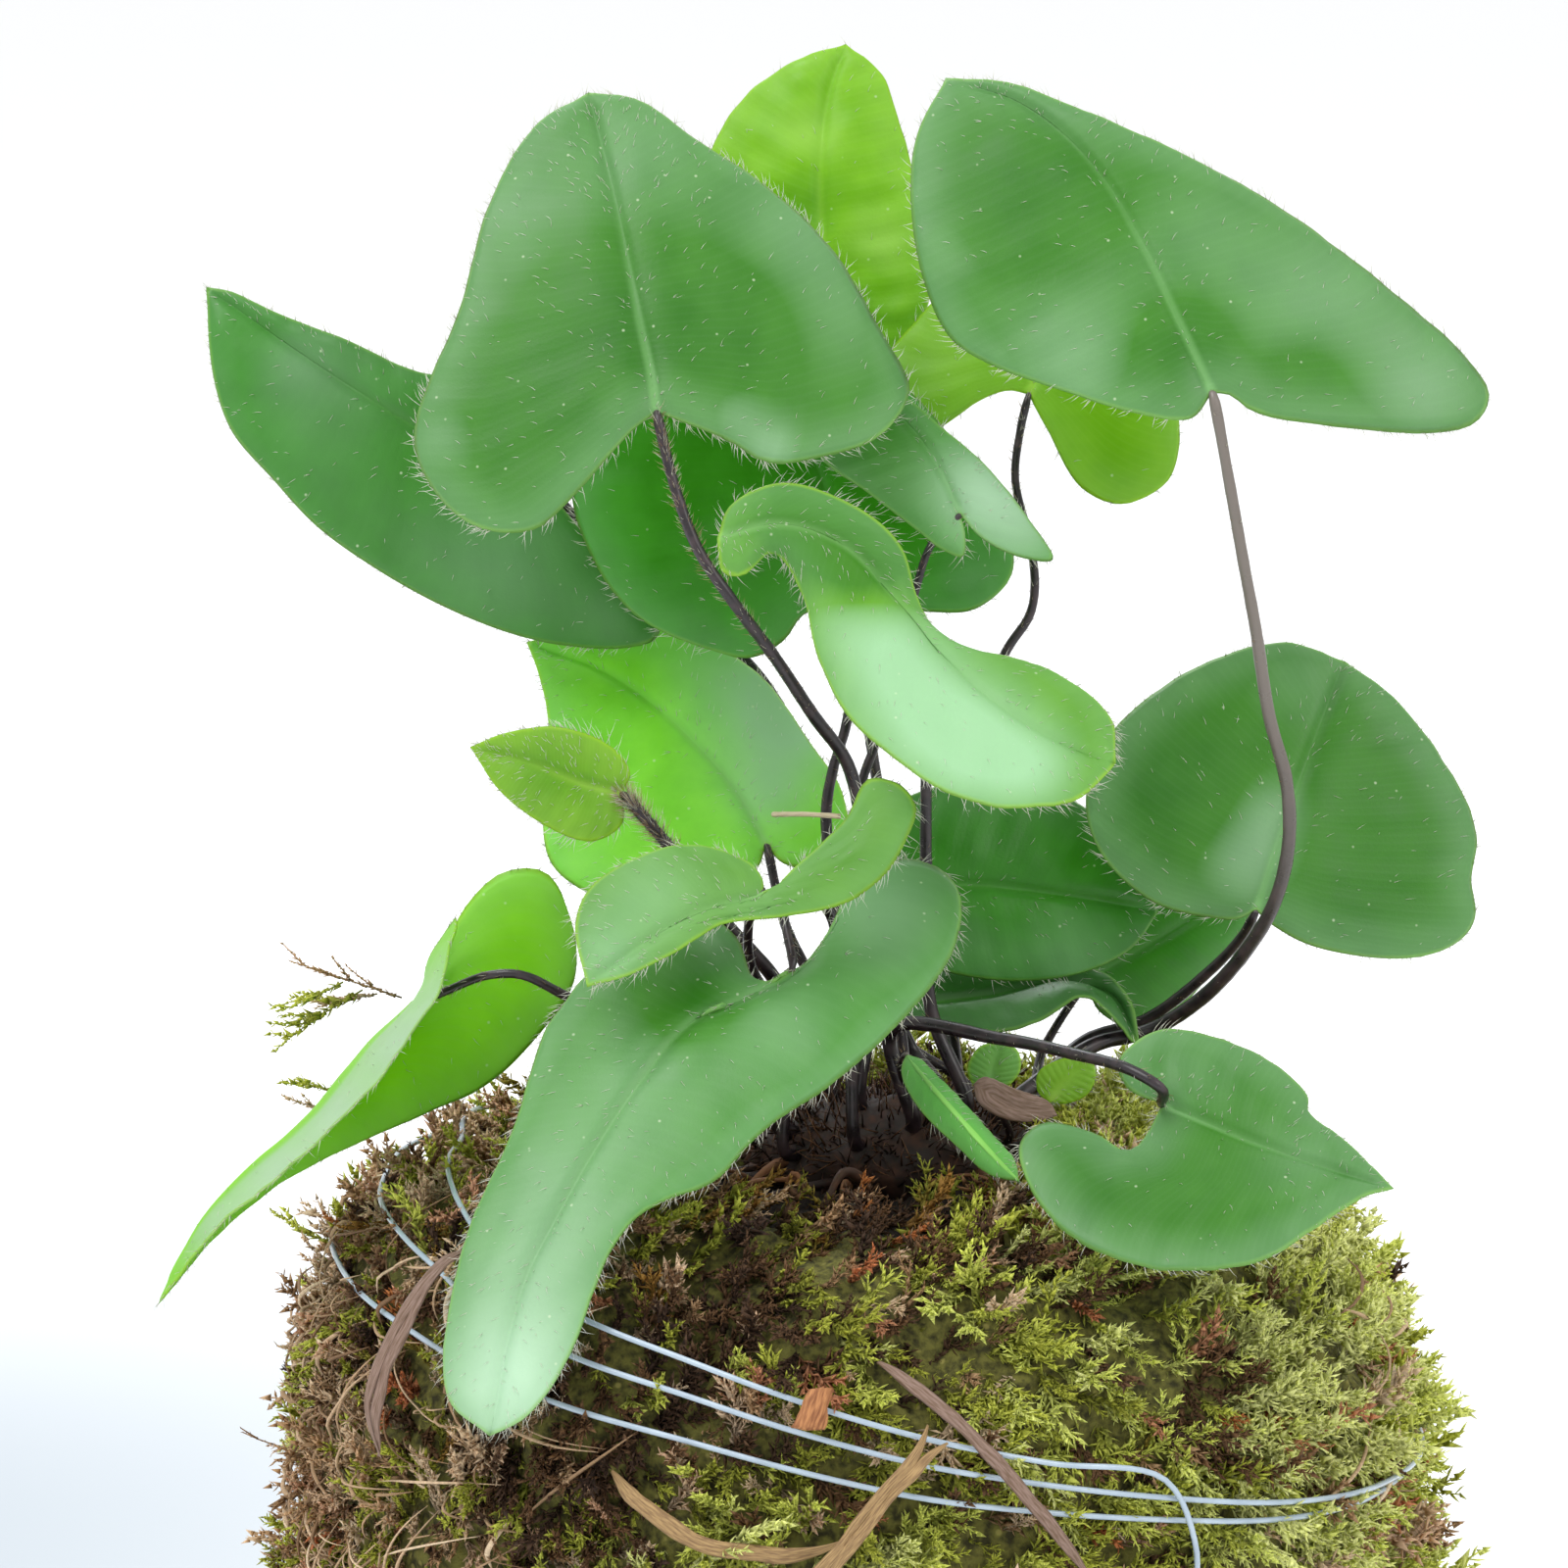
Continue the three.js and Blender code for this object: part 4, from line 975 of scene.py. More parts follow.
FRONDS = (
    FrondPlan(
        "upper_left", LeafAge.MATURE, 0.75, base=(-20.5, 172.9, -10), lean=0.5, turn=0.02,
        arch=75, droop=90, tip=(-27.5, 205.7),
        rib=((-21.2, 177.5), (-22.3, 182.5), (-23.8, 190), (-25.3, 197)),
        left=((-22.5, 171.6), (-25.2, 168.7), (-29.7, 163.7), (-33, 161), (-38.7, 161.2),
            (-43, 164.5), (-45.4, 170), (-43.5, 177), (-40.9, 183), (-37.6, 194.5), (-33, 202.3)),
        right=((-17.8, 172), (-13.3, 170.2), (-9.1, 167.8), (-3.8, 168.4), (2.1, 170.4),
            (5.4, 175.2), (2.6, 181.2), (-2.8, 190.1), (-9.8, 196.6), (-16.8, 201.2), (-22.3, 205)),
        stipe=((2.2, 118, -5), (0.6, 130, -6.5), (-1, 137, -8), (-4.5, 142, -11), (-8.5, 148, -13),
            (-13, 154, -14.5), (-16.3, 159, -14), (-18.7, 165.5, -12.5)),
        foot=(-30, 60), tone=1.0, fuzz=1.6, stipe_fuzz=2.2, ripple=0.25,
        painted_light_spots=((-37, 194, 7, 0.19), (-5.8, 192.3, 7, 0.22), (-21.7, 200.7, 8, 0.19),
            (-43, 170, 5, 0.22), (-12.5, 172.5, 3.2, 0.28), (-8.5, 169.2, 2.8, 0.37),
            (-1, 183, 6, 0.15), (-24.6, 181.9, 6, -0.6), (-14, 181, 6, -0.4), (-33, 172, 6, -0.4)),
    ),
    FrondPlan(
        "upper_right", LeafAge.MATURE, 0.8, base=(36.2, 174.9, -12), lean=0.42, turn=0.08,
        arch=70, droop=120, tip=(9, 207.2),
        rib=((32, 184), (28.6, 191), (25.3, 196.5), (20.9, 201.6), (16, 205)),
        left=((34.1, 172.4), (28, 173), (20.9, 175.2), (13.2, 178), (9.3, 180.7), (6.6, 186.7),
            (5.4, 194.4), (5.9, 201)),
        right=((38, 174.8), (40.6, 173), (48.3, 171.6), (58.7, 170.9), (63.1, 171.9), (64.6, 174.7),
            (61.5, 179.5), (56.5, 183.9), (51.1, 188.3), (41.7, 194.9), (31.9, 200.1), (22, 204.3),
            (15.2, 206.8)),
        stipe=((24.2, 108.4, 2.6), (29.7, 109.8, 3.6), (35.2, 113.2, 0), (39.8, 118.2, -4),
            (42.7, 123.3, -7), (44, 129, -8.5), (43.8, 135, -9), (42, 142, -10), (40.6, 151, -11),
            (39.5, 157, -12), (37.9, 166, -12.5)),
        foot=(68, 42), tone=1.0, fuzz=1.0, stipe_fuzz=0.15, stipe_aged=0.75, ripple=0.3,
        painted_light_spots=((47.5, 183, 10, 0.25), (22.5, 178, 8, 0.28), (58.5, 175, 6, 0.25),
            (8, 190, 5, 0.19), (35, 192, 7, 0.12), (17, 196, 7, -0.45), (33, 178, 5, -0.5),
            (46, 176, 5, -0.3)),
    ),
    FrondPlan(
        "right", LeafAge.MATURE, 0.7, base=(40.7, 122.1, -1), lean=0.3, turn=0.12,
        arch=80, droop=70, tip=(49.8, 147.6),
        rib=((42.6, 128), (45, 134.8), (48.2, 143.6)),
        left=((38.7, 121.2), (36.5, 121.3), (30.6, 122.7), (25.5, 127), (23.4, 131.5),
            (23.8, 136.5), (27, 141.6), (34.5, 147), (43.5, 149.6)),
        right=((42.4, 120.6), (46.7, 118.4), (55.9, 117.2), (61, 118.6), (63.1, 121), (62.8, 125.5),
            (63.3, 130), (61.4, 135), (55, 143.8)),
        stipe=((23, 108.7, 7.2), (29.5, 111, 8), (35.8, 115.8, 5), (39.2, 119.4, 1.5)),
        foot=(98, 34), tone=0.97, fuzz=1.0, stipe_fuzz=0.3, ripple=0.3,
        painted_light_spots=((39.5, 127, 4.5, 0.37), (42, 132, 3.5, 0.28), (45, 146, 5, 0.15),
            (31, 135, 7, -0.5), (52, 122, 6, -0.4), (55, 133, 7, -0.2)),
    ),
    FrondPlan(
        "back_top", LeafAge.YOUNG, 0.65, base=(-2.5, 180, 26), lean=0.2, turn=0,
        arch=60, droop=80, tip=(-1.2, 210.6),
        rib=((-3.2, 186), (-3.8, 197), (-3, 205.5)),
        left=((-4.5, 177.8), (-8.5, 177), (-13, 179.5), (-16, 186), (-16.5, 194), (-14.5, 200.9),
            (-11.5, 205.3), (-6.5, 208.9)),
        right=((-0.5, 177.8), (2.5, 178), (5.4, 180.6), (7.4, 184.5), (7, 190), (5.5, 198.5),
            (4.2, 203), (2.4, 207.7)),
        stipe=((4, 112, 12), (3, 128, 19), (0, 148, 25), (-2, 166, 27)),
        foot=(178, 48), tone=1.04, fuzz=0.4, ripple=0.9,
        painted_light_spots=((-5, 201, 3.5, 0.3), (2.5, 190, 4, 0.4), (-10, 196, 3, 0.2), (-6.5, 194, 3.5, -0.6),
            (0, 184, 4, -0.4)),
    ),
    FrondPlan(
        "back_right", LeafAge.YOUNG, 0.6, base=(17.5, 174.8, 16), lean=0.4, turn=0,
        arch=60, droop=90, tip=(24.5, 200),
        rib=((20, 182), (22.5, 191)),
        left=((15.5, 175.2), (12.5, 174.2), (9, 171.8), (5, 169.5), (1, 171), (1, 176), (5.5, 182),
            (11.5, 188), (17.5, 194.5)),
        right=((18.1, 173.5), (19.5, 171), (22.8, 165.3), (26.9, 163.6), (31.5, 165.7),
            (32.9, 169.3), (32.5, 176), (31.5, 183), (29.5, 192)),
        stipe=((9.5, 112, 9.5), (9.5, 128, 10.5), (11.5, 140, 9.5), (15.2, 148.6, 10),
            (17.6, 152.3, 10.5), (18.1, 155.5, 11), (17.5, 160, 12.5), (16.1, 166, 14),
            (16.6, 171, 15.5)),
        foot=(148, 40), tone=1.0, fuzz=0.5,
        painted_light_spots=((9, 178, 5, 0.2), (26, 166, 5, -0.3)),
    ),
    FrondPlan(
        "far_left", LeafAge.DARK, 0.65, base=(-31.5, 165, 16), lean=0.35, turn=0.12,
        arch=80, droop=200, tip=(-66.5, 185.8),
        rib=((-42.5, 170), (-54.5, 177.5)),
        left=((-30.5, 168), (-28.5, 172), (-30.5, 176), (-36, 177.3), (-44.1, 177), (-52.1, 180.4),
            (-59.6, 183.3), (-64, 185.4)),
        right=((-28.5, 161.5), (-23.5, 156.5), (-20, 152.5), (-20.5, 149.9), (-23.5, 148.9),
            (-29.7, 149.1), (-35.2, 150.3), (-41.6, 152.8), (-48.1, 156.3), (-55.1, 161.2),
            (-59.6, 166), (-64, 171.2), (-65.9, 177.2)),
        stipe=((-1, 110, 8), (-1.5, 122, 12), (-5.5, 138, 18.5), (-10.8, 147, 20.5),
            (-17, 152, 20.5), (-25, 158.5, 19.5)),
        foot=(-150, 34), tone=1.1, fuzz=1.0,
        painted_light_spots=((-35, 157, 8, 0.3), (-50, 171, 11, 0.3), (-42, 161, 9, 0.2), (-57, 178, 4, 0.3),
            (-25, 152, 4, 0.25), (-45, 168, 8, -0.3)),
    ),
    FrondPlan(
        "middle", LeafAge.DARK, 0.65, base=(-0.7, 155, 6), lean=0.3, turn=0,
        arch=80, droop=100, tip=(-11, 183),
        rib=((-2.5, 162), (-6, 172)),
        left=((-2.5, 153.6), (-5.6, 152.2), (-7.5, 149.7), (-10.8, 147.9), (-14.8, 148.6),
            (-22.2, 151.8), (-26.2, 156.3), (-29.2, 163.7), (-29, 171), (-24.5, 178), (-17.5, 182)),
        right=((2.5, 153.3), (7, 152.6), (12.1, 152.9), (15.8, 156.4), (15.5, 161), (11.5, 168),
            (4.5, 176), (-3.5, 181.5)),
        stipe=((-2, 118, -0.5), (-3.2, 132, -0.5), (-2.5, 136.5, 0.2), (-1.1, 141.3, 1.5),
            (-0.5, 149, 4.5)),
        foot=(-100, 64), tone=1.5, fuzz=1.0,
        painted_light_spots=((-15, 156, 7, -0.3), (12, 156, 4, 0.25)),
    ),
    FrondPlan(
        "curled", LeafAge.MATTE, 0.7, base=(6, 152.6, -11), lean=0.9, turn=0.05,
        arch=400, droop=400, tip=(26.4, 137.2), heel=(-14.3, 160.2, -9),
        rib=((-8, 161.6, -9), (-1.5, 159.6, -6.5), (3, 155.2, -2.5), (8.5, 148.6), (15, 142.8),
            (21, 139.2)),
        left=((-13.7, 156.6, -7), (-11.6, 156.3, -6.5), (-8.7, 158.6, -6.5), (-5.8, 154.4, -2.5),
            (-4.2, 148.1), (-1.2, 142.2), (3.8, 137.7), (9.3, 134.2), (16.2, 132.7), (22.7, 133.7)),
        right=((-13, 163.5, -10.5), (-7.7, 165.8, -11.5), (-0.2, 163.4, -9), (4.3, 159.6, -5.5),
            (6.2, 154.1, -0.6), (7.5, 151.6, 0.5), (10.7, 149.3, 1.5), (17.7, 147.6, 3),
            (22.7, 145.1, 3), (26, 141.8, 2)),
        stipe=((7.5, 112, -5), (7, 125, -5), (7, 138, -6.5), (6.9, 147, -8)),
        foot=(45, 50), tone=1.0, fuzz=1.6,
        painted_light_spots=((-5.5, 162, 8, -1), (3, 160, 6, -1), (-1, 157, 4, -0.8), (-2.5, 153.5, 4, 0.6),
            (2.5, 149, 5.5, 0.85), (7, 142, 6.5, 0.95), (13, 138, 5.5, 0.9), (18.5, 136.5, 4, 0.6),
            (-12, 159, 3, 0.2)),
    ),
    FrondPlan(
        "arrow", LeafAge.MATURE, 0.55, base=(10.5, 162.5, -2), lean=0.2, turn=0,
        arch=50, droop=100, tip=(0.5, 176),
        rib=((9, 166), (6, 171)),
        left=((11, 160.5), (10.8, 158.2), (8.6, 158.9), (6, 160.9), (1, 164.7), (-4, 168.6),
            (-4, 172.5)),
        right=((12.5, 160.2), (16, 158.3), (20, 157.9), (17.6, 162), (13.2, 167.5), (8.8, 171.3),
            (4.5, 174.8)),
        stipe=((3.6, 116, -3), (1.6, 128, -2.5), (0.4, 134.5, -3.2), (1.8, 139, -2), (4, 146, -0.5),
            (6, 155, 0.6), (7.5, 159.4, 0.6)),
        foot=(15, 76), tone=1.35, fuzz=1.0,
        painted_light_spots=((13, 165, 5.5, 0.8), (17.5, 160.5, 4, 0.37), (2.5, 165, 5, 0.12)),
    ),
    FrondPlan(
        "matte_left", LeafAge.MATTE, 0.65, base=(-9.3, 128.8, 4), lean=0.68, turn=0,
        arch=90, droop=200, tip=(-33.8, 149.6),
        rib=((-12.5, 134.5), (-18.5, 141), (-25, 146)),
        left=((-10.5, 126), (-13.5, 123.5), (-19.5, 122.5), (-26.5, 123.5), (-31.3, 127),
            (-32.2, 133), (-31.5, 138), (-31.8, 143), (-32.8, 147)),
        right=((-7.5, 127), (-3.5, 126.5), (-1, 129), (-1.6, 134.5), (-4.7, 139.2), (-9.7, 146.1),
            (-15.5, 149.7), (-21.5, 151.3), (-27.5, 151.2)),
        stipe=((-4, 112, 2), (-7.5, 121, 2.5)),
        foot=(-112, 40), tone=2.1, fuzz=1.6,
        painted_light_spots=((-8, 142, 7, 0.95), (-4, 146, 6, 0.7), (-15, 147, 5, 0.35), (-9, 134, 4, 0.5),
            (-28, 140, 6, -0.3)),
    ),
    FrondPlan(
        "young_fuzzy", LeafAge.YOUNG, 0.8, base=(-24, 134, -16), lean=0.15, turn=0,
        arch=-18, droop=80, tip=(-39.6, 138.8),
        rib=((-28, 135), (-33, 137)),
        left=((-23.2, 136), (-24.3, 138), (-27, 139.8), (-31.1, 140.8), (-36, 140.2)),
        right=((-24, 131), (-27.1, 129.2), (-31.6, 130.7), (-36.5, 134.3)),
        stipe=((-7, 112, -7), (-14, 121.5, -13.5), (-19, 128.3, -16.5), (-21.6, 131.4, -17)),
        foot=(-62, 30), tone=0.95, fuzz=2.4, stipe_fuzz=5.0,
        painted_light_spots=((-31, 136, 6, -0.6),),
    ),
    FrondPlan(
        "twisted", LeafAge.MATTE, 0.6, base=(-9.6, 123.6, -29), lean=0.2, turn=0.25,
        arch=400, droop=400, tip=(-27.6, 114.4),
        rib=((-14.5, 122.6), (-19.5, 120.3), (-23.5, 117.7)),
        left=((-9.6, 125.4, 1.5), (-10.8, 127, 2.5), (-13.7, 128.3, 3.5), (-17.6, 129, 4),
            (-23.6, 127.2, 4), (-27.5, 124.3, 3), (-28.8, 120.5, 1.5)),
        right=((-4.7, 128.2, 0.5), (-1.2, 131.7, 1), (1, 135.6, 1.5), (4.3, 134.9), (6, 132.7, -1),
            (4.9, 129.2, -2), (2.8, 125.8, -2.5), (-1.2, 122.9, -2.5), (-7.7, 121.5, -1.5),
            (-13.7, 120.8, -1), (-18.6, 117.9, -1), (-23.6, 115.4, -0.5)),
        stipe=((-7, 108.5, -9), (-11, 117, -13.5), (-10.4, 124, -22)),
        foot=(-48, 12), tone=0.85, fuzz=1.4,
        painted_light_spots=((-21, 123, 6, 0.4), (-26, 117, 4, 0.5), (-10, 122, 4, 0.2)),
    ),
    FrondPlan(
        "front", LeafAge.MATURE, 0.65, base=(-6.7, 116.1, -26), lean=0.95, turn=0,
        arch=110, droop=104, tip=(-37.6, 68.6),
        rib=((-11, 113.5), (-17.4, 110.5), (-23, 103.7), (-28.6, 94.7), (-34.2, 84.1)),
        left=((-8.5, 115), (-10.6, 115.5), (-12.3, 119.5), (-16, 122), (-21.5, 121), (-27, 116.5),
            (-29.7, 113.3), (-32, 109.9), (-35.3, 99.8), (-39.8, 89.7), (-42.4, 76.8),
            (-41.6, 71.8)),
        right=((-5, 117.2), (-2.2, 121.7), (-0.5, 125.6), (5.1, 127.7), (9.6, 125.6), (10.7, 122.8),
            (9.6, 117.7), (5.1, 111.6), (-2.2, 104.8), (-9.5, 99.8), (-14.6, 94.7), (-21.9, 91.4),
            (-25.2, 87.4), (-26.9, 83.5), (-29.7, 76.2), (-33.7, 70.6)),
        stipe=((-1, 112, -11), (-3.2, 122.4, -13.5), (-7.4, 122.6, -20)),
        foot=(-18, 26), tone=1.15, fuzz=1.5,
        painted_light_spots=((-35.5, 73, 8, 0.95), (-33, 84, 8, 0.4), (-29, 94, 8, 0.25), (-22, 104, 8, 0.2),
            (3, 122, 7, 0.35), (-8, 110, 6, 0.2), (-17, 113, 3.5, -0.6), (-13, 117, 4, -0.3)),
    ),
    FrondPlan(
        "left_folded", LeafAge.FOLDED, 0.6, base=(-44, 113.2, -9), lean=0, turn=0,
        arch=400, droop=400, tip=(-71.2, 81.7, -5),
        rib=((-50, 107.5, -1.5), (-56, 100.8, -2.5), (-62, 95, -3), (-67, 89.2, -4)),
        left=((-43.6, 116.5, -1), (-40.8, 121.3, -3), (-41.4, 117.5, -7), (-42.6, 113.4, -10),
            (-45.4, 109.3, -12), (-48.8, 104.3, -13), (-52.2, 100.9, -13), (-58.9, 94.7, -11),
            (-65, 89.6, -8)),
        right=((-42, 118, 4), (-40, 122.5, 6), (-36.2, 126, 7), (-31.8, 126, 7), (-29, 121, 7),
            (-28.8, 115, 6), (-32, 109.9, 5.5), (-37.6, 104.3, 5), (-43.2, 101.6, 4.5),
            (-51.1, 98.1, 3), (-58.9, 94, 1), (-65.1, 88.9, -2)),
        stipe=((-14, 104.5, -6), (-20, 108.5, -10), (-30, 113.5, -14), (-34.2, 115.5, -14.5),
            (-37.6, 115.5, -14)),
        foot=(-84, 14), tone=1.5, fuzz=0.8,
        painted_light_spots=((-41, 113, 5, 0.8), (-47, 108, 5, 0.9), (-53, 101.5, 5, 0.9), (-59, 95.5, 5, 0.9),
            (-65, 89.5, 5, 0.8)),
        painted_light_half=Half.LEFT,
    ),
    FrondPlan(
        "right_low", LeafAge.DARK, 0.6, base=(3, 124.5, 3), lean=0.35, turn=0.1,
        arch=60, droop=150, tip=(30.8, 122),
        rib=((12.5, 124.7), (21.5, 123.6)),
        left=((1, 128), (2.5, 132), (8.5, 135), (16.5, 135.6), (23.5, 132.6), (28, 127.5)),
        right=((1.5, 120), (4.5, 116.8), (8.1, 116), (13.6, 115), (19.2, 115), (24.2, 116.1),
            (28.2, 118.4)),
        stipe=((5.6, 108, -0.5), (3.2, 114, -2.5), (1.6, 120, -2)),
        foot=(62, 72), tone=1.2, fuzz=0.8,
        painted_light_spots=((22, 117, 6, 0.3), (10, 119, 5, 0.2), (14, 128, 7, -0.3)),
    ),
    FrondPlan(
        "right_back", LeafAge.MATURE, 0.55, base=(23.5, 115, 12), lean=0.3, turn=0,
        arch=60, droop=100, tip=(41, 125.5),
        rib=((30.5, 119),),
        left=((22, 117.5), (23.5, 122), (28.5, 125.5), (34.5, 127.4)),
        right=((24.5, 112), (28.8, 109.9), (32.5, 111.8), (35.4, 114.7), (38.2, 118),
            (40.2, 121.8)),
        stipe=((19, 108, 9.5),),
        foot=(112, 22), tone=1.6, fuzz=0.6,
        painted_light_spots=((30, 119, 5, -0.3),),
    ),
    FrondPlan(
        "narrow_right", LeafAge.DARK, 0.55, base=(5, 112.6, 3), lean=0.6, turn=0,
        arch=400, droop=400, tip=(28.6, 108.7),
        rib=((13.5, 113.6, 1), (21, 115, 1.5), (25.8, 113.6, 1)),
        left=((4.5, 114.5, 1), (8.5, 116.3, 1.5), (14.5, 116.6, 2), (21, 116.7, 2),
            (25.2, 115.9, 1.5), (27.8, 113)),
        right=((5, 111), (8.5, 110.2, -1), (15.9, 110, -2), (19.2, 111.4, -2.5), (22.4, 113.3, -3),
            (24, 113.3, -3), (26, 111.4, -2.5)),
        stipe=((4.4, 109.4, 3.4),),
        foot=(85, 62), tone=0.75, fuzz=0.6,
        painted_light_spots=((22, 114.5, 4, 0.2),),
    ),
    FrondPlan(
        "lower_right", LeafAge.MATURE, 0.75, base=(31, 102.3, -34), lean=1.05, turn=0,
        arch=160, droop=400, tip=(54.8, 93.9),
        rib=((38.5, 99.3), (46.5, 96.5)),
        left=((27.6, 104, -1), (26.6, 106.8, -2.2), (30.6, 110, -3.8), (36.6, 109.3, -3.5),
            (42.6, 106.6, -2.2), (46.2, 103, -0.8), (46.2, 101.6), (49, 99.4), (51.8, 97)),
        right=((29.2, 99), (27.4, 97.7), (24.2, 99.6), (18.8, 100.7), (16.5, 98.4), (17.8, 93.6),
            (21.5, 89.2), (28.3, 86.1), (35.2, 85.5), (42.1, 86.9), (49, 91.4), (52.3, 93.2)),
        stipe=((3.4, 109.9, -12), (14.6, 109, -21), (21.5, 107.6, -29), (27.9, 105.8, -36.5),
            (31, 103.9, -38)),
        foot=(8, 42), tone=0.95, fuzz=1.0, stipe_fuzz=0.8,
        painted_light_spots=((34, 106, 5, 0.12), (46, 97, 5, 0.15), (23, 93, 5, -0.4), (30, 98, 4, -0.3)),
    ),
    FrondPlan(
        "thin_folded", LeafAge.MATURE, 0.5, base=(4.9, 107.5, -20), lean=0.9, turn=0,
        arch=400, droop=400, tip=(16.6, 94.4),
        rib=((8.2, 103.6, -1.5), (12.4, 98.8, -2)),
        left=((4.4, 105.5, 0.5), (6, 102.2, 0.5), (10, 98, 0.5), (13.6, 95, 0.5)),
        right=((6.4, 107, 0.5), (9.6, 104, 0.5), (13.6, 99.6, 0.5), (16.2, 96.6, 0.3)),
        stipe=((4.6, 105, -16.5),),
        foot=(28, 18), tone=2.0, fuzz=0.8,
    ),
    FrondPlan(
        "young_pale", LeafAge.MATTE, 0.45, base=(13.4, 103.6, -15), lean=0.2, turn=0,
        arch=12, droop=30, tip=(14.6, 108.8),
        rib=((13.8, 106),),
        left=((12, 104), (11.2, 106), (12.4, 108.2)),
        right=((15, 103.9), (16.6, 105.6), (16.4, 107.8)),
        foot=(52, 22), tone=1.0, fuzz=1.0,
    ),
    FrondPlan(
        "young_lime", LeafAge.YOUNG, 0.45, base=(19.6, 102.4, -11), lean=0.2, turn=0,
        arch=12, droop=30, tip=(24, 107.2),
        rib=((21, 104.4),),
        left=((18.4, 103.6), (18.4, 105.6), (20.8, 107)),
        right=((21.6, 102.4), (23.6, 103.4), (24.4, 105.4)),
        foot=(60, 16), tone=1.0, fuzz=1.0,
    ),
)


def drawn(point: tuple[float, ...]) -> tuple[float, float, float]:
    """A drawn point with its curl, which is 0 where none is given."""
    return (point[0], point[1], point[2] if len(point) > 2 else 0.0)


@dataclass
class Frond:
    """One frond: its blade, its stipe and the hairs on both.

    Attributes:
        plan: How it is drawn.
        sight: The eye that it is drawn from.
        crown: What its stipe grows from.
        seed: Start of its random numbers.
        rows: Rows of the blade's grid from base to tip.
        columns: Columns from the midrib to each margin.
        thickness: Thickness of the blade, mm.
        rim: Width of the thin margin, mm.
        rib_groove: Depth of the groove along the midrib, mm.
        rib_width: Half-width of that groove, mm.
        rolled_margin: How far the margin turns down, mm.
    """

    plan: FrondPlan
    sight: Sight
    crown: CrownPlan
    seed: int
    rows: int = 64
    columns: int = 22
    thickness: float = 0.34
    rim: float = 0.3
    rib_groove: float = 0.5
    rib_width: float = 0.65
    rolled_margin: float = 0.3

    RIB_EASE = 1.3
    LOBE_SPREAD = 0.6
    LOBE_FADE = 2
    MARGIN_HAIR = 0.044  # thickness of the hairs at their roots, mm
    SURFACE_HAIR = 0.036
    STIPE_HAIR = 0.034

    def __post_init__(self) -> None:
        """Lays out the blade's grid of points, which the blade and the hairs share."""
        self.random = np.random.default_rng(self.seed)
        self._lay_out()

    def _lobe_share(self, outline: Route, heel: np.ndarray, ahead: np.ndarray) -> float:
        """How far round the outline, as a share, the lobe stands out the most behind and beside the heel."""
        shares = np.arange(0, 0.7, 0.01)
        away = (outline.at(shares) - heel)[:, :2]
        reach = self.LOBE_SPREAD * np.abs(away[:, 0] * ahead[1] - away[:, 1] * ahead[0]) - away @ ahead
        return float(shares[np.argmax(reach)]) if reach.max() > 0 else 0.0

    def _lay_out(self) -> None:
        """Works out the grid: rows from base to tip, columns from the left edge over the rib to the right."""
        plan = self.plan
        heel = np.array(drawn(plan.heel or plan.base[:2]))
        tip = np.array(drawn(plan.tip))
        rib = Route([heel, *map(drawn, plan.rib), tip])
        ahead = unit((tip - heel)[:2])
        u = np.linspace(0, 1, self.rows + 1)[:, None, None]
        even = np.linspace(0, 1, self.columns + 1)
        v = (0.55 * even + 0.45 * (1 - np.cos(np.pi * even)) / 2)[None, :, None]
        halves = []
        for side in (plan.left, plan.right):
            outline = Route([heel, *map(drawn, side), tip])
            lobe = self._lobe_share(outline, heel, ahead)
            corner = outline.at(lobe)[0]
            edge = outline.at(lobe + (1 - lobe) * u.ravel())[:, None]
            spine = rib.at(u.ravel() ** self.RIB_EASE)[:, None]
            bulge = outline.at(lobe * v.ravel())[None] - (heel + (corner - heel) * v)
            halves.append(spine + (edge - spine) * v + bulge * (1 - u) ** self.LOBE_FADE)
        grid = np.concatenate([halves[0][:, ::-1], halves[1][:, 1:]], axis=1)
        base, way = np.array(plan.base), unit(tip[:2] - np.array(plan.base[:2]))
        off = grid[..., :2] - base[:2]
        along = off @ way
        across = off[..., 0] * way[1] - off[..., 1] * way[0]
        back = base[2] + plan.lean * off[..., 1] + plan.turn * off[..., 0] + grid[..., 2]
        back = back + along**2 / (2 * plan.droop) + across**2 / (2 * plan.arch)
        flat = np.stack([grid[..., 0], grid[..., 1], back], -1).reshape(-1, 3)
        self.shape = grid.shape[:2]
        self.points = self.sight.place(flat)
        # painted highlight where the spots are over 0, and painted shade where they are under 0; the shader
        # reads this as the pale mark
        self.painted_light = np.zeros(len(flat))
        for right, up, radius, strength in plan.painted_light_spots:
            self.painted_light += strength * np.exp(-(np.hypot(flat[:, 0] - right, flat[:, 1] - up) / radius) ** 2)
        self.share = np.repeat(u.ravel(), self.shape[1])
        self.side = np.tile(np.concatenate([-v.ravel()[::-1], v.ravel()[1:]]), self.shape[0])
        if plan.painted_light_half is not Half.BOTH:
            self.painted_light *= smoothstep(0.02, 0.12, self.side * (-1 if plan.painted_light_half is Half.LEFT else 1))
        self._measure()
        self._shape_surface()

    def _at(self, row: int | slice, column: int | slice) -> np.ndarray:
        """Points of the grid by row and column."""
        return self.points.reshape(*self.shape, 3)[row, column]

    def _normals(self) -> np.ndarray:
        """Directions square to the blade, turned so that they point to the eye where the upper side shows."""
        grid = self.points.reshape(*self.shape, 3)
        down = np.gradient(grid, axis=0)
        over = np.gradient(grid, axis=1)
        normals = np.cross(over, down).reshape(-1, 3)
        size = np.linalg.norm(normals, axis=1, keepdims=True)
        middle = np.cross(over, down).sum(axis=(0, 1))
        normals = np.where(size < 1e-7, unit(middle), normals / np.maximum(size, 1e-9))
        towards = self.sight.eye() - self.points.mean(axis=0)
        return normals if middle.dot(towards) > 0 else -normals

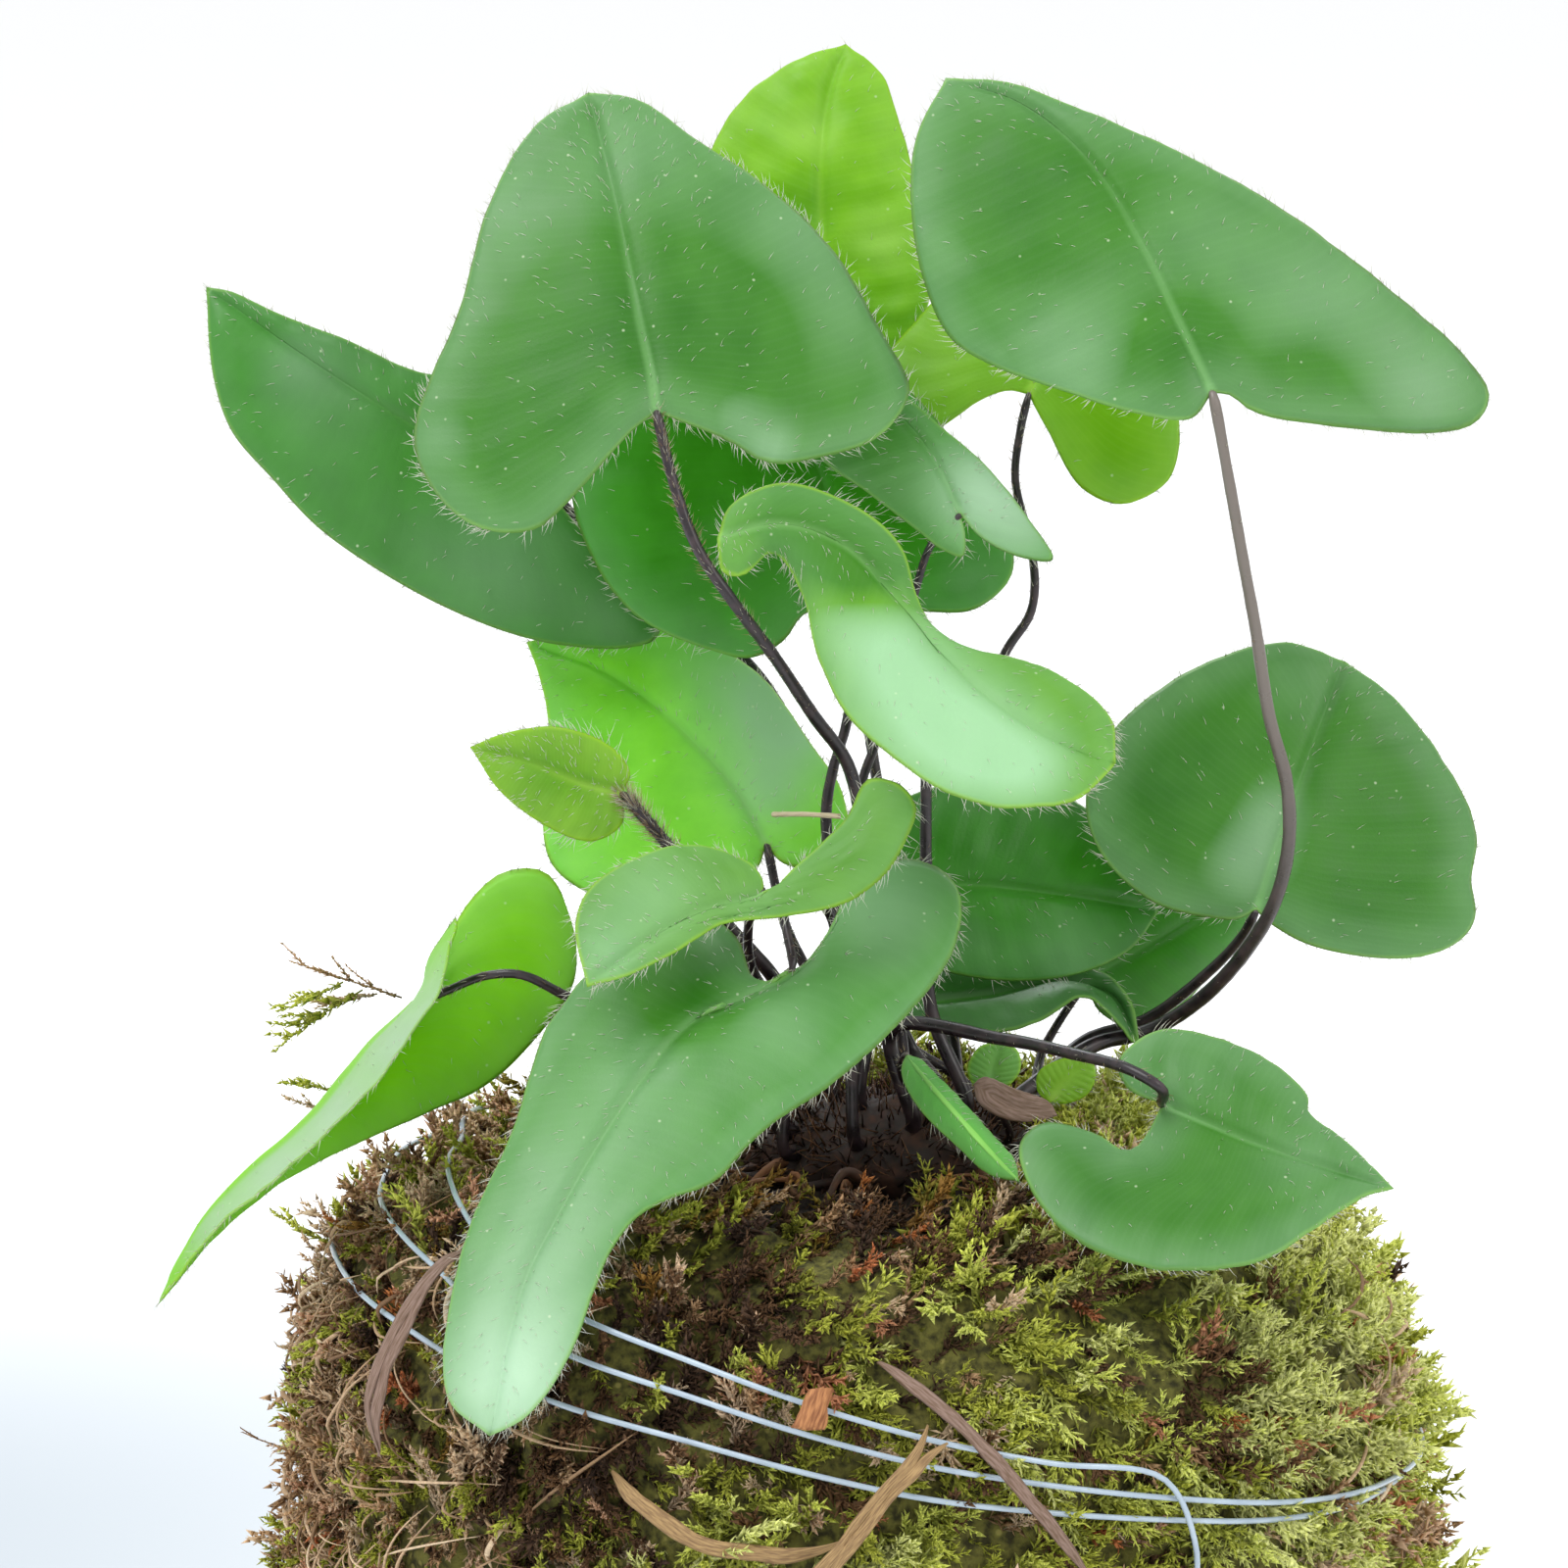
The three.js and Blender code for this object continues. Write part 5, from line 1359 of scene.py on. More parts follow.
    def _outline(self) -> tuple[np.ndarray, np.ndarray]:
        """The blade's edge as two paths of points from heel to tip, and the outward direction at each."""
        middle, last = self.columns, self.shape[1] - 1
        paths, ways = [], []
        for lobe, lobe_in, side, side_in in (
            (slice(middle, None, -1), 4, 0, 4),
            (slice(middle, None), 4, last, last - 4),
        ):
            path = np.concatenate([self._at(0, lobe), self._at(slice(1, None), side)])
            inner = np.concatenate([self._at(lobe_in, lobe), self._at(slice(1, None), side_in)])
            ahead = unit(np.gradient(path, axis=0))
            way = path - inner
            paths.append(path)
            ways.append(unit(way - ahead * np.sum(way * ahead, axis=1, keepdims=True)))
        return paths, ways

    def _gap_to(self, path: np.ndarray) -> np.ndarray:
        """Distance from each grid point to a path."""
        start, step = path[:-1], np.diff(path, axis=0)
        square = np.maximum(np.sum(step**2, axis=1), 1e-9)
        nearest = np.full(len(self.points), np.inf)
        for a, d, s in zip(start, step, square):
            t = np.clip((self.points - a) @ d / s, 0, 1)
            nearest = np.minimum(nearest, np.linalg.norm(self.points - a - t[:, None] * d, axis=1))
        return nearest

    def _measure(self) -> None:
        """Measures each grid point's distance from the rib and from the margin."""
        self.from_rib = self._gap_to(self._at(slice(None, None, 2), self.columns))
        paths, _ = self._outline()
        self.from_edge = np.minimum(self._gap_to(paths[0][::2]), self._gap_to(paths[1][::2]))
        rim = np.zeros(self.shape, dtype=bool)
        rim[[0, -1], :] = True
        rim[:, [0, -1]] = True
        self.is_rim = rim.ravel()
        self.from_edge[self.is_rim] = 0.0

    def _shape_surface(self) -> None:
        """Gives the blade its rib groove, the swell of its flesh, its waves and its rolled margin."""
        normals = self._normals()
        plan = self.plan
        width = max(self.from_edge.max(), 1.0)
        groove = -self.rib_groove * np.exp(-((self.from_rib / self.rib_width) ** 2))
        shoulder = 0.25 * np.exp(-(((self.from_rib - 3.0) / 2.2) ** 2)) * min(1.0, width / 8)
        waves = plan.ripple * lumps(self.points, 9.0, 2, 3.7 + self.seed)
        away = smoothstep(0.1, 0.5, np.abs(self.side))
        fans = 0.12 * plan.ripple * np.sin(2 * np.pi * 11 * self.share) * away
        margin = -self.rolled_margin * np.exp(-self.from_edge / 0.9)
        frill = 0.22 * np.exp(-self.from_edge / 2.5) * lumps(self.points, 3.2, 2, 9.1 + self.seed)
        inside = smoothstep(0, 1.5, self.from_edge)
        waves = waves * smoothstep(0, 3, self.from_edge)
        height = (groove + shoulder) * inside + waves + fans + margin + frill
        self.points = self.points + normals * (height * min(1.0, width / 4))[:, None]
        self.normals = self._normals()

    def blade(self) -> Shell:
        """The blade as one closed leaf with a rounded rim."""
        depth = np.clip(self.from_edge / self.rim, 0, 1)
        half = self.thickness / 2 * np.sqrt(np.clip(1 - (1 - depth) ** 2, 0, 1))
        half[self.is_rim] = 0.0
        offset = self.normals * half[:, None]
        number = np.arange(len(self.points)).reshape(self.shape)
        quads = np.stack(
            [number[:-1, :-1], number[:-1, 1:], number[1:, 1:], number[1:, :-1]], -1
        ).reshape(-1, 4)
        count = len(self.points)
        points = np.concatenate([self.points + offset, self.points - offset])
        faces = np.concatenate([quads, quads[:, ::-1] + count])
        _, first, twin = np.unique(np.round(points, 4), axis=0, return_index=True, return_inverse=True)
        faces = twin.reshape(-1)[faces]
        both = {
            "rib": self.from_rib + 1.2 * smoothstep(0.75, 1.0, self.share),
            "edge": self.from_edge,
            "pale": self.painted_light,
            "vein": self.share,
            "tone": np.full(count, self.plan.tone),
        }
        marks = {key: np.tile(value, 2)[first] for key, value in both.items()}
        marks["under"] = np.repeat([0.0, 1.0], count)[first]
        a, b, c, d = faces.T
        whole = (a != b) & (b != c) & (c != d) & (d != a) & (a != c) & (b != d)
        fold = [
            faces[(c == d) & (a != b) & (b != c) & (a != c)][:, [0, 1, 2]],
            faces[(d == a) & (a != b) & (b != c) & (a != c)][:, [0, 1, 2]],
            faces[(a == b) & (b != c) & (c != d) & (b != d)][:, [1, 2, 3]],
            faces[(b == c) & (a != b) & (c != d) & (a != d)][:, [0, 1, 3]],
        ]
        return Shell(points[first], [faces[whole], np.concatenate(fold)], marks)

    def stipe(self) -> Shell:
        """The stipe from inside the crown to under the rib, tapering and a little knobbly."""
        plan = self.plan
        start = self.crown.point(*plan.foot, -1.5)
        clear = self.crown.point(*plan.foot, 0.6 * plan.radius + 0.35)
        base = self.sight.place(plan.base)[0]
        middle = self.sight.place(plan.stipe) if plan.stipe else np.empty((0, 3))
        column = self.columns
        inset = max(2, self.rows // 24)
        under = self._at(inset, column) - 0.3 * self.normals.reshape(*self.shape, 3)[inset, column]
        if plan.heel:
            under = base + 0.1 * (base - clear) / 40
        self.stalk = Route([start, clear, *middle, base, under])
        steps = max(12, int(self.stalk.length / 0.8))
        shares = np.linspace(0, 1, steps)
        radii = plan.radius * (1.1 - 0.42 * shares) * (
            1 + 0.5 * np.exp(-((1 - shares) * self.stalk.length / 1.5))
        )
        centres = self.stalk.at(shares)
        radii = radii * (1 + 0.06 * lumps(centres, 1.5, 2, self.seed))
        radii[-3:] *= (0.85, 0.6, 0.3)
        shell = tube(centres, radii, 10)
        shell.marks["aged"] = plan.stipe_aged * smoothstep(0.3, 0.75, shell.marks["along"])
        shell.marks["aged"] = np.maximum(
            shell.marks["aged"], 0.8 * smoothstep(0.985, 1.0, shell.marks["along"])
        )
        return shell

    def hairs(self) -> Shell:
        """Slanting hairs on the margin, fine ones over both sides, and spreading ones on the stipe."""
        random, fuzz = self.random, self.plan.fuzz
        shells = []
        for path, way in zip(*self._outline()):
            run = np.concatenate([[0], np.cumsum(np.linalg.norm(np.diff(path, axis=0), axis=1))])
            count = int(run[-1] * 1.7 * min(fuzz, 1.8)) + 2
            place = np.sort(random.uniform(0.3, run[-1], count))
            root = np.stack([np.interp(place, run, axis) for axis in path.T], 1)
            out = unit(np.stack([np.interp(place, run, axis) for axis in way.T], 1))
            ahead = unit(np.stack([np.interp(place + 0.4, run, axis) for axis in path.T], 1) - root + 1e-6)
            stray = random.normal(0, 0.28, (count, 3))
            slant = random.uniform(0.2, 1.0, (count, 1))
            length = random.uniform(0.6, 1.5, count) * (0.8 + 0.2 * fuzz)
            tones = random.uniform(0.0, 0.25, count)
            way, sag = out + slant * ahead + stray, 0.5 * ahead + stray
            shells.append(spikes(root - 0.1 * out, way, sag, length, self.MARGIN_HAIR, tones))
        rows, columns = self.shape
        size = np.linalg.norm(np.ptp(self.points, axis=0))
        count = int(7.0 * size * fuzz)
        cell = random.integers(2, rows - 2, count) * columns + random.integers(2, columns - 2, count)
        sign = np.where(random.random(count) < 0.68, 1.0, -1.0)[:, None]
        normal = self.normals[cell] * sign
        ahead = unit(self.points[np.minimum(cell + columns, len(self.points) - 1)] - self.points[cell] + 1e-6)
        outward = unit(
            self.points[cell + 1] - self.points[cell - 1] + 1e-6
        ) * np.sign(self.side[cell])[:, None]
        way = 0.5 * normal + 0.5 * ahead + 0.7 * outward + random.normal(0, 0.35, (count, 3))
        length = random.uniform(0.4, 1.2, count)
        root = self.points[cell] + normal * 0.12
        shells.append(
            spikes(
                root,
                way,
                -0.5 * normal + 0.4 * outward,
                length,
                self.SURFACE_HAIR,
                random.uniform(0, 0.25, count),
            )
        )
        shells.append(self._stipe_hairs())
        return join_shells(shells)

    def _stipe_hairs(self) -> Shell:
        """Hairs that stand out all round the stipe, thicker towards the blade."""
        random, length = self.random, self.stalk.length
        count = int(2.6 * length * self.plan.stipe_fuzz) + 4
        share = random.random(count) ** (0.6 / max(1.0, self.plan.stipe_fuzz))
        centre = self.stalk.at(share)
        ahead = unit(self.stalk.at(np.minimum(share + 0.01, 1)) - self.stalk.at(share - 0.01) + 1e-6)
        out = random.normal(0, 1, (count, 3))
        out = unit(out - ahead * np.sum(out * ahead, axis=1, keepdims=True))
        reach = random.uniform(0.35, 1.1, count) * min(1.7, 0.7 + 0.2 * self.plan.stipe_fuzz)
        root = centre + out * self.plan.radius * 0.7
        tones = random.uniform(0.15, 0.95, count)
        return spikes(
            root,
            out + random.uniform(0.1, 0.9, (count, 1)) * ahead,
            0.6 * ahead,
            reach,
            self.STIPE_HAIR,
            tones,
        )

    def build(self, leaf: bpy.types.Material, bark: bpy.types.Material, hair: bpy.types.Material) -> int:
        """Makes the frond's three pieces and dresses them.

        Args:
            leaf: The blade's material.
            bark: The stipe's material.
            hair: The hairs' material.

        Returns:
            How many faces they have.
        """
        name = self.plan.name
        blade = settle(self.blade().to_object(f"frond_{name}_blade", leaf), f"blade_{name}")
        stipe = settle(self.stipe().to_object(f"frond_{name}_stipe", bark), f"stipe_{name}")
        hairs = settle(self.hairs().to_object(f"frond_{name}_hairs", hair), None, SLOTS[f"blade_{name}"])
        return sum(len(piece.data.polygons) for piece in (blade, stipe, hairs))


SLOTS = {part["node"]: part["material_slot"] for part in frame["record"]["subparts"]}


def settle(piece: bpy.types.Object, node: str | None, slot: str | None = None) -> bpy.types.Object:
    """Makes a piece ride with the plant and hides the solid that it replaces.

    Args:
        piece: The piece.
        node: The solid that it replaces, or None for a piece of its own.
        slot: Its material slot, where it replaces nothing; not used.

    Returns:
        The piece.
    """
    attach(piece, "root")
    if node:
        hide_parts(node)
    slot or SLOTS[node]
    return piece


# ---------------------------------------------------------------- the moss ball
@dataclass(frozen=True)
class BallPlan:
    """The moss ball's outer surface: a squat rounded drum with low swells and an opening at the top.

    Attributes:
        radius: Widest half-width, mm.
        centre: Height of the widest level, mm.
        rise, drop: From that level to the top and to the underside, mm.
        power: 2 would be an ellipsoid; more gives fuller shoulders.
        opening: Middle and half-widths of the opening, [x, y, half-width, half-depth], mm.
    """

    radius: float = 56.5
    centre: float = 50.0
    rise: float = 50.0
    drop: float = 53.0
    power: float = 4.5
    opening: tuple[float, float, float, float] = (1.0, -10.0, 19.0, 22.0)

    def swell(self, angle: np.ndarray, z: np.ndarray) -> np.ndarray:
        """How far the moss stands out at an angle from +X and a height."""
        broad = np.sin(3 * angle + 0.6) * np.cos(0.05 * z)
        fine = np.sin(7 * angle - 0.09 * z) + 0.7 * np.cos(11 * angle + 0.13 * z)
        return 0.9 * broad + 0.5 * fine

    def on_side(
        self, heading: np.ndarray | float, z: np.ndarray | float, lift: np.ndarray | float
    ) -> np.ndarray:
        """Points off the moss at headings in degrees from the front towards +X, and at heights."""
        heading, z, lift = np.broadcast_arrays(*np.atleast_1d(heading, z, lift))
        angle = np.radians(heading - 90)
        half = np.where(z > self.centre, self.rise, self.drop)
        share = np.minimum(1, np.abs(z - self.centre) / half)
        radius = self.radius * (1 - share**self.power) ** (1 / self.power) + self.swell(angle, z) + lift
        return np.stack([radius * np.cos(angle), radius * np.sin(angle), z + 0.0 * angle], 1)

    def skin(self, angle: np.ndarray, climb: np.ndarray, inset: float) -> tuple[np.ndarray, np.ndarray]:
        """Points and outward directions at angles from +X and at climbs from the underside to the top.

        Args:
            angle: Angle round the ball, radians.
            climb: From -pi/2 at the underside to pi/2 at the top.
            inset: How far inside the outer surface.

        Returns:
            The points and the unit normals.
        """
        half = np.where(climb > 0, self.rise, self.drop) - inset
        wide = self.radius - inset
        flat, high = np.cos(climb) / wide, np.sin(climb) / half
        scale = (np.abs(flat) ** self.power + np.abs(high) ** self.power) ** (-1 / self.power)
        level, up = scale * np.cos(climb), scale * np.sin(climb)
        z = self.centre + up
        grow = self.swell(angle, z) * smoothstep(0, 20, level) * smoothstep(0, 12, z)
        points = np.stack([(level + grow) * np.cos(angle), (level + grow) * np.sin(angle), z], 1)
        out = (level / wide) ** (self.power - 1) / wide
        rise = np.sign(up) * (np.abs(up) / half) ** (self.power - 1) / half
        normals = unit(np.stack([out * np.cos(angle), out * np.sin(angle), rise], 1))
        return points, normals

    def mound(self, points: np.ndarray) -> np.ndarray:
        """How far the moss is heaped up or sunk at places, mm: broad tufts with smaller ones on them."""
        return 2.1 * lumps(points, 12.0, 2, 2.0) + 1.0 * lumps(points, 4.5, 2, 5.0)

    def in_opening(self, points: np.ndarray) -> np.ndarray:
        """How near points are to the opening's middle: 1 on its edge, less inside, more outside."""
        x, y, wide, deep = self.opening
        level = ((points[:, 0] - x) / wide) ** 2 + ((points[:, 1] - y) / deep) ** 2
        return np.where(points[:, 2] > self.centre, np.sqrt(level), 9.0)


def spin(count: int, start: float = 0.0) -> np.ndarray:
    """Angles of the golden turn, which leaves follow round a stem."""
    return start + math.radians(137.5) * np.arange(count)


@dataclass
class Sprig:
    """A moss shoot that lies along +X: a curved stem and side branches, clad in tiny pointed leaves.

    Attributes:
        random: Source of its random numbers.
        length: Length of the main stem, mm.
        branches: Number of side branches.
        density: Leaves on each millimetre of stem.
        leaf: Length of a leaf, mm.
        bend: How far the tip rises, as a share of the length.
    """

    random: np.random.Generator
    length: float
    branches: int
    density: float = 2.9
    leaf: float = 0.95
    bend: float = 0.2

    def axes(self) -> list[tuple[np.ndarray, float]]:
        """The stem and its branches: each a row of points, with how far up the shoot it starts."""
        t = np.linspace(0, 1, 6)[:, None]
        sway = self.random.uniform(-0.15, 0.15)
        stem = self.length * np.hstack([t * (1 - 0.1 * t), sway * np.sin(2.5 * t), self.bend * t**2])
        made = [(stem, 0.0)]
        for number in range(self.branches):
            share = 0.15 + 0.7 * (number + self.random.random()) / self.branches
            root = np.array([np.interp(share, t.ravel(), axis) for axis in stem.T])
            reach = self.length * self.random.uniform(0.22, 0.42) * (1.15 - 0.6 * share)
            side = 1 if number % 2 else -1
            out = np.array([0.65, side * 0.75, self.random.uniform(-0.15, 0.5)])
            t_side = np.linspace(0, 1, 4)[:, None]
            curve = t_side * out + t_side**2 * np.array([0.25, -0.12 * side, 0.12])
            made.append((root + reach * curve, share * 0.6))
        return made

    def shell(self) -> Shell:
        """The whole shoot, with its height from 0 at the root to 1 at the tips in the map's v."""
        parts = []
        for axis, start in self.axes():
            run = np.linspace(0.12, 0.07, len(axis))
            stalk = tube(axis, run, 3)
            stalk.sheet = np.stack(
                [0 * stalk.marks["along"], start + (0.8 - start) * stalk.marks["along"]], 1
            )
            stalk.marks = {}
            parts.append(stalk)
            parts.append(self._leaves(axis, start))
        return join_shells(parts)

    def _leaves(self, axis: np.ndarray, start: float) -> Shell:
        """The leaves of one stem: closed pointed slivers that follow the golden turn."""
        route = Route(axis)
        count = max(3, int(route.length * self.density))
        share = np.linspace(0.05, 1.0, count)
        centre = route.at(share)
        ahead = unit(route.at(np.minimum(1, share + 0.03)) - route.at(share - 0.03) + 1e-6)
        flat = unit(np.cross(ahead, (0.02, 0.03, 1.0)))
        up = np.cross(flat, ahead)
        turn = spin(count, self.random.uniform(0, 6))[:, None]
        out = np.cos(turn) * flat + 0.75 * np.sin(turn) * up
        size = (self.leaf * (1.1 - 0.5 * share) * self.random.uniform(0.75, 1.25, count))[:, None]
        spread = self.random.uniform(0.6, 1.1, (count, 1))
        way = unit(ahead + spread * out)
        wide = unit(np.cross(ahead, out)) * size * 0.3
        keel = centre + way * size * 0.45 + out * size * 0.16
        points = np.stack([centre + wide, centre - wide, keel, centre + size * way], 1)
        first = 4 * np.arange(count)[:, None]
        sides = np.array([(0, 2, 3), (2, 1, 3), (1, 0, 3), (0, 1, 2)])
        e = points[0, 1:] - points[0, 0]
        if np.dot(e[0], np.cross(e[1], e[2])) > 0:
            sides = sides[:, ::-1]
        faces = np.concatenate([first + side for side in sides])
        height = start + (1 - start) * share
        sheet = np.stack([np.zeros(4 * count), np.repeat(height, 4)], 1)
        sheet[3::4, 1] = np.minimum(1, sheet[3::4, 1] + 0.15)
        return Shell(points.reshape(-1, 3), [faces], {}, sheet)


def plant_copies(pattern: Shell, roots: np.ndarray, turns: np.ndarray, tones: np.ndarray) -> Shell:
    """Copies a pattern to many places.

    Args:
        pattern: The shell to copy.
        roots: Where each copy starts.
        turns: A 3 by 3 matrix for each copy, which turns and sizes it.
        tones: Colour number of each copy, kept in the map's u.

    Returns:
        All copies as one shell of triangles.
    """
    points = roots[:, None] + np.einsum("kij,nj->kni", turns, pattern.points)
    threes = [
        f if f.shape[1] == 3 else np.concatenate([f[:, [0, 1, 2]], f[:, [0, 2, 3]]]) for f in pattern.faces
    ]
    faces = np.concatenate(threes)
    starts = len(pattern.points) * np.arange(len(roots))
    faces = (faces[None] + starts[:, None, None]).reshape(-1, 3)
    sheet = np.stack(
        [np.repeat(tones, len(pattern.points)), np.tile(pattern.sheet[:, 1], len(roots))], 1
    )
    return Shell(points.reshape(-1, 3), [faces], {}, sheet)


@dataclass
class MossBall:
    """The moss: its pressed bed, the live shoots that clad it and the dry fibres tangled in it.

    Attributes:
        plan: The ball's shape.
        near: Places that the shoots keep clear of, mm.
        line: Places along the binding line, where the moss is pressed down, mm.
        seed: Start of its random numbers.
        shoots: About how many shoots to try for.
        patterns: How many shapes of shoot there are.
        bed_inset: How far the bed lies inside the ball's outer surface, mm.
        most_faces: Most faces in one piece of shoots.
    """

    plan: BallPlan
    near: np.ndarray
    line: np.ndarray
    seed: int = 7
    shoots: int = 9600
    patterns: int = 24
    bed_inset: float = 2.6
    most_faces: int = 190_000

    FRONT = (-26, 24)  # headings between which the line presses most shoots down
    LINE_REACH = 2.4  # how near the line that happens, mm
    TOO_NEAR = 2.0  # a shoot this near to a blade or stipe is made small, mm
    BARE = 1.6  # and this near it is left out, mm
    FIBRES = 620  # dry fibres tried

    def __post_init__(self) -> None:
        """Starts the random numbers and indexes the places to keep clear of."""
        self.random = np.random.default_rng(self.seed)
        self._near = self._index(self.near)
        self._line = self._index(self.line)

    def _index(self, places: np.ndarray) -> kdtree.KDTree:
        """A search tree of places."""
        tree = kdtree.KDTree(len(places))
        for number, place in enumerate(places):
            tree.insert(place, number)
        tree.balance()
        return tree

    def bed(self) -> Shell:
        """The pressed moss under the shoots, a closed lumpy body sunk in at the opening."""
        rows, turns = 96, 200
        climb = np.linspace(-np.pi / 2, np.pi / 2, rows + 2)[1:-1]
        angle = np.linspace(0, 2 * np.pi, turns, endpoint=False)
        points, normals = self.plan.skin(np.tile(angle, rows), np.repeat(climb, turns), self.bed_inset)
        rough = self.plan.mound(points) + 0.6 * lumps(points, 2.0, 3, 5.0)
        points = points + normals * rough[:, None]
        points[:, 2] -= 8.0 * smoothstep(1.12, 0.8, self.plan.in_opening(points))
        shell = loft(points.reshape(rows, turns, 3))
        shell.points[:, 2] = np.maximum(shell.points[:, 2], 0.4)
        return shell

    def _scatter(self, count: int) -> tuple[np.ndarray, np.ndarray, np.ndarray]:
        """Random places spread evenly over the ball, away from the opening and the underside.

        Args:
            count: How many to try.

        Returns:
            Angles, points on the bed and outward directions.
        """
        climbs = np.linspace(-1.35, np.pi / 2 - 0.01, 400)
        rim, _ = self.plan.skin(np.zeros(400), climbs, self.bed_inset)
        steps = np.linalg.norm(np.gradient(rim, axis=0), axis=1) * np.hypot(rim[:, 0], rim[:, 1])
        total = np.cumsum(steps)
        climb = np.interp(self.random.uniform(0, total[-1], count), total, climbs)
        angle = self.random.uniform(0, 2 * np.pi, count)
        points, normals = self.plan.skin(angle, climb, self.bed_inset)
        keep = (self.plan.in_opening(points) > self.random.uniform(0.86, 1.04, count)) & (points[:, 2] > 1.5)
        return angle[keep], points[keep], normals[keep]

    def tones(self, angle: np.ndarray, points: np.ndarray) -> np.ndarray:
        """Colour numbers: dried and tan on the left, olive in the middle, yellow-green on the right, with
        painted shade in sunk places, by the opening and in the dark patches.
        """
        random, count = self.random, len(points)
        heading = (np.degrees(angle) + 90 + 180) % 360 - 180
        left = smoothstep(-15, -48, heading) * smoothstep(-170, -120, heading)
        right = smoothstep(12, 50, heading) * smoothstep(150, 110, heading)
        heap = self.plan.mound(points)
        dry = 0.2 + 0.45 * left + 0.22 * lumps(points, 15.0, 2, 1.3) - 0.12 * right
        # the heap term makes heaped moss greener and sunk moss darker: painted light and shade
        green = 0.71 + 0.2 * right + 0.1 * lumps(points, 8.0, 2, 4.1) + 0.05 * heap
        green = green + random.normal(0, 0.08, count)
        # painted shade: darker olive by the opening, where the hollow shades the moss
        green = green - 0.14 * smoothstep(1.7, 1.0, self.plan.in_opening(points))
        # a few dark dead shoots all round but the right, and more in sunk places as painted shade
        dark = 0.07 * (1 - right) + 0.25 * smoothstep(-0.6, -2.2, heap)
        # patches: greener where over 0; where under 0, painted shadow made of dark shoots
        for at, z, radius, strength in MOSS_PATCHES:
            centre = self.plan.on_side(at, z, -1.0)[0]
            near = np.exp(-((np.linalg.norm(points - centre, axis=1) / radius) ** 2))
            green = green + 0.3 * max(strength, 0) * near
            dry = dry * (1 - max(strength, 0) * near)
            dark = dark + max(-strength, 0) * near
        tone = np.clip(green, 0.5, 1.0)
        tone = np.where(random.random(count) < dry, random.uniform(0.16, 0.4, count), tone)
        tone = np.where(random.random(count) < dark, random.uniform(0.0, 0.12, count), tone)
        return np.where(random.random(count) < 0.018, random.uniform(0.41, 0.47, count), tone)

    def live(self) -> list[Shell]:
        """The shoots, in shells small enough to be one piece each."""
        random = self.random
        angle, roots, normals = self._scatter(int(self.shoots * 1.12))
        count = len(roots)
        tones = self.tones(angle, roots)
        roots = roots + normals * (self.plan.mound(roots) - 0.3)[:, None]
        comb = 2.4 * lumps(roots, 13.0, 1, 8.0) + random.normal(0, 0.9, count)
        down = unit(np.array([0, 0, -1.0]) - normals * normals[:, 2:3] * -1 + 1e-3 * normals)
        across = np.cross(normals, down)
        way = np.cos(comb)[:, None] * across - np.sin(comb)[:, None] * down
        heading = (np.degrees(angle) + 90 + 180) % 360 - 180
        fluffy = smoothstep(25, 60, heading) * smoothstep(150, 110, heading) * smoothstep(88, 70, roots[:, 2])
        lift = random.uniform(5, 48, count) + 20 * fluffy
        size = random.uniform(0.7, 1.2, count) * (1 + 0.25 * fluffy)
        keep = np.ones(count, dtype=bool)
        for i, (root, normal) in enumerate(zip(roots, normals)):
            pressed = 0.6 if self.FRONT[0] < heading[i] < self.FRONT[1] else 0.12
            if self._line.find(root)[2] < self.LINE_REACH and random.random() < pressed:
                lift[i], size[i] = random.uniform(0, 14), size[i] * 0.9
            rise = math.radians(lift[i])
            tip = root + 6.0 * size[i] * (math.cos(rise) * way[i] + math.sin(rise) * normal)
            if min(self._near.find(root + 2.5 * normal)[2], self._near.find(tip)[2]) < self.TOO_NEAR:
                lift[i], size[i] = 4.0, size[i] * 0.65
                keep[i] = self._near.find(root)[2] > self.BARE
        rise = np.radians(lift)[:, None]
        ahead = np.cos(rise) * way + np.sin(rise) * normals
        up = -np.sin(rise) * way + np.cos(rise) * normals
        turns = np.stack([ahead, np.cross(up, ahead), up], 2) * size[:, None, None]
        kind = random.integers(0, self.patterns, count)
        shells, made, faces = [], [], 0
        for number in range(self.patterns):
            pick = keep & (kind == number)
            sprig = Sprig(
                random,
                length=random.uniform(5.2, 8.6),
                branches=int(random.integers(2, 6)),
                leaf=random.uniform(0.95, 1.5),
                bend=random.uniform(-0.12, 0.42),
            )
            shell = plant_copies(sprig.shell(), roots[pick], turns[pick], tones[pick])
            shell.points[:, 2] = np.maximum(shell.points[:, 2], 0.5)
            if made and faces + len(shell.faces[0]) > self.most_faces:
                shells.append(join_shells(made))
                made, faces = [], 0
            made.append(shell)
            faces += len(shell.faces[0])
        shells.append(join_shells(made))
        return shells

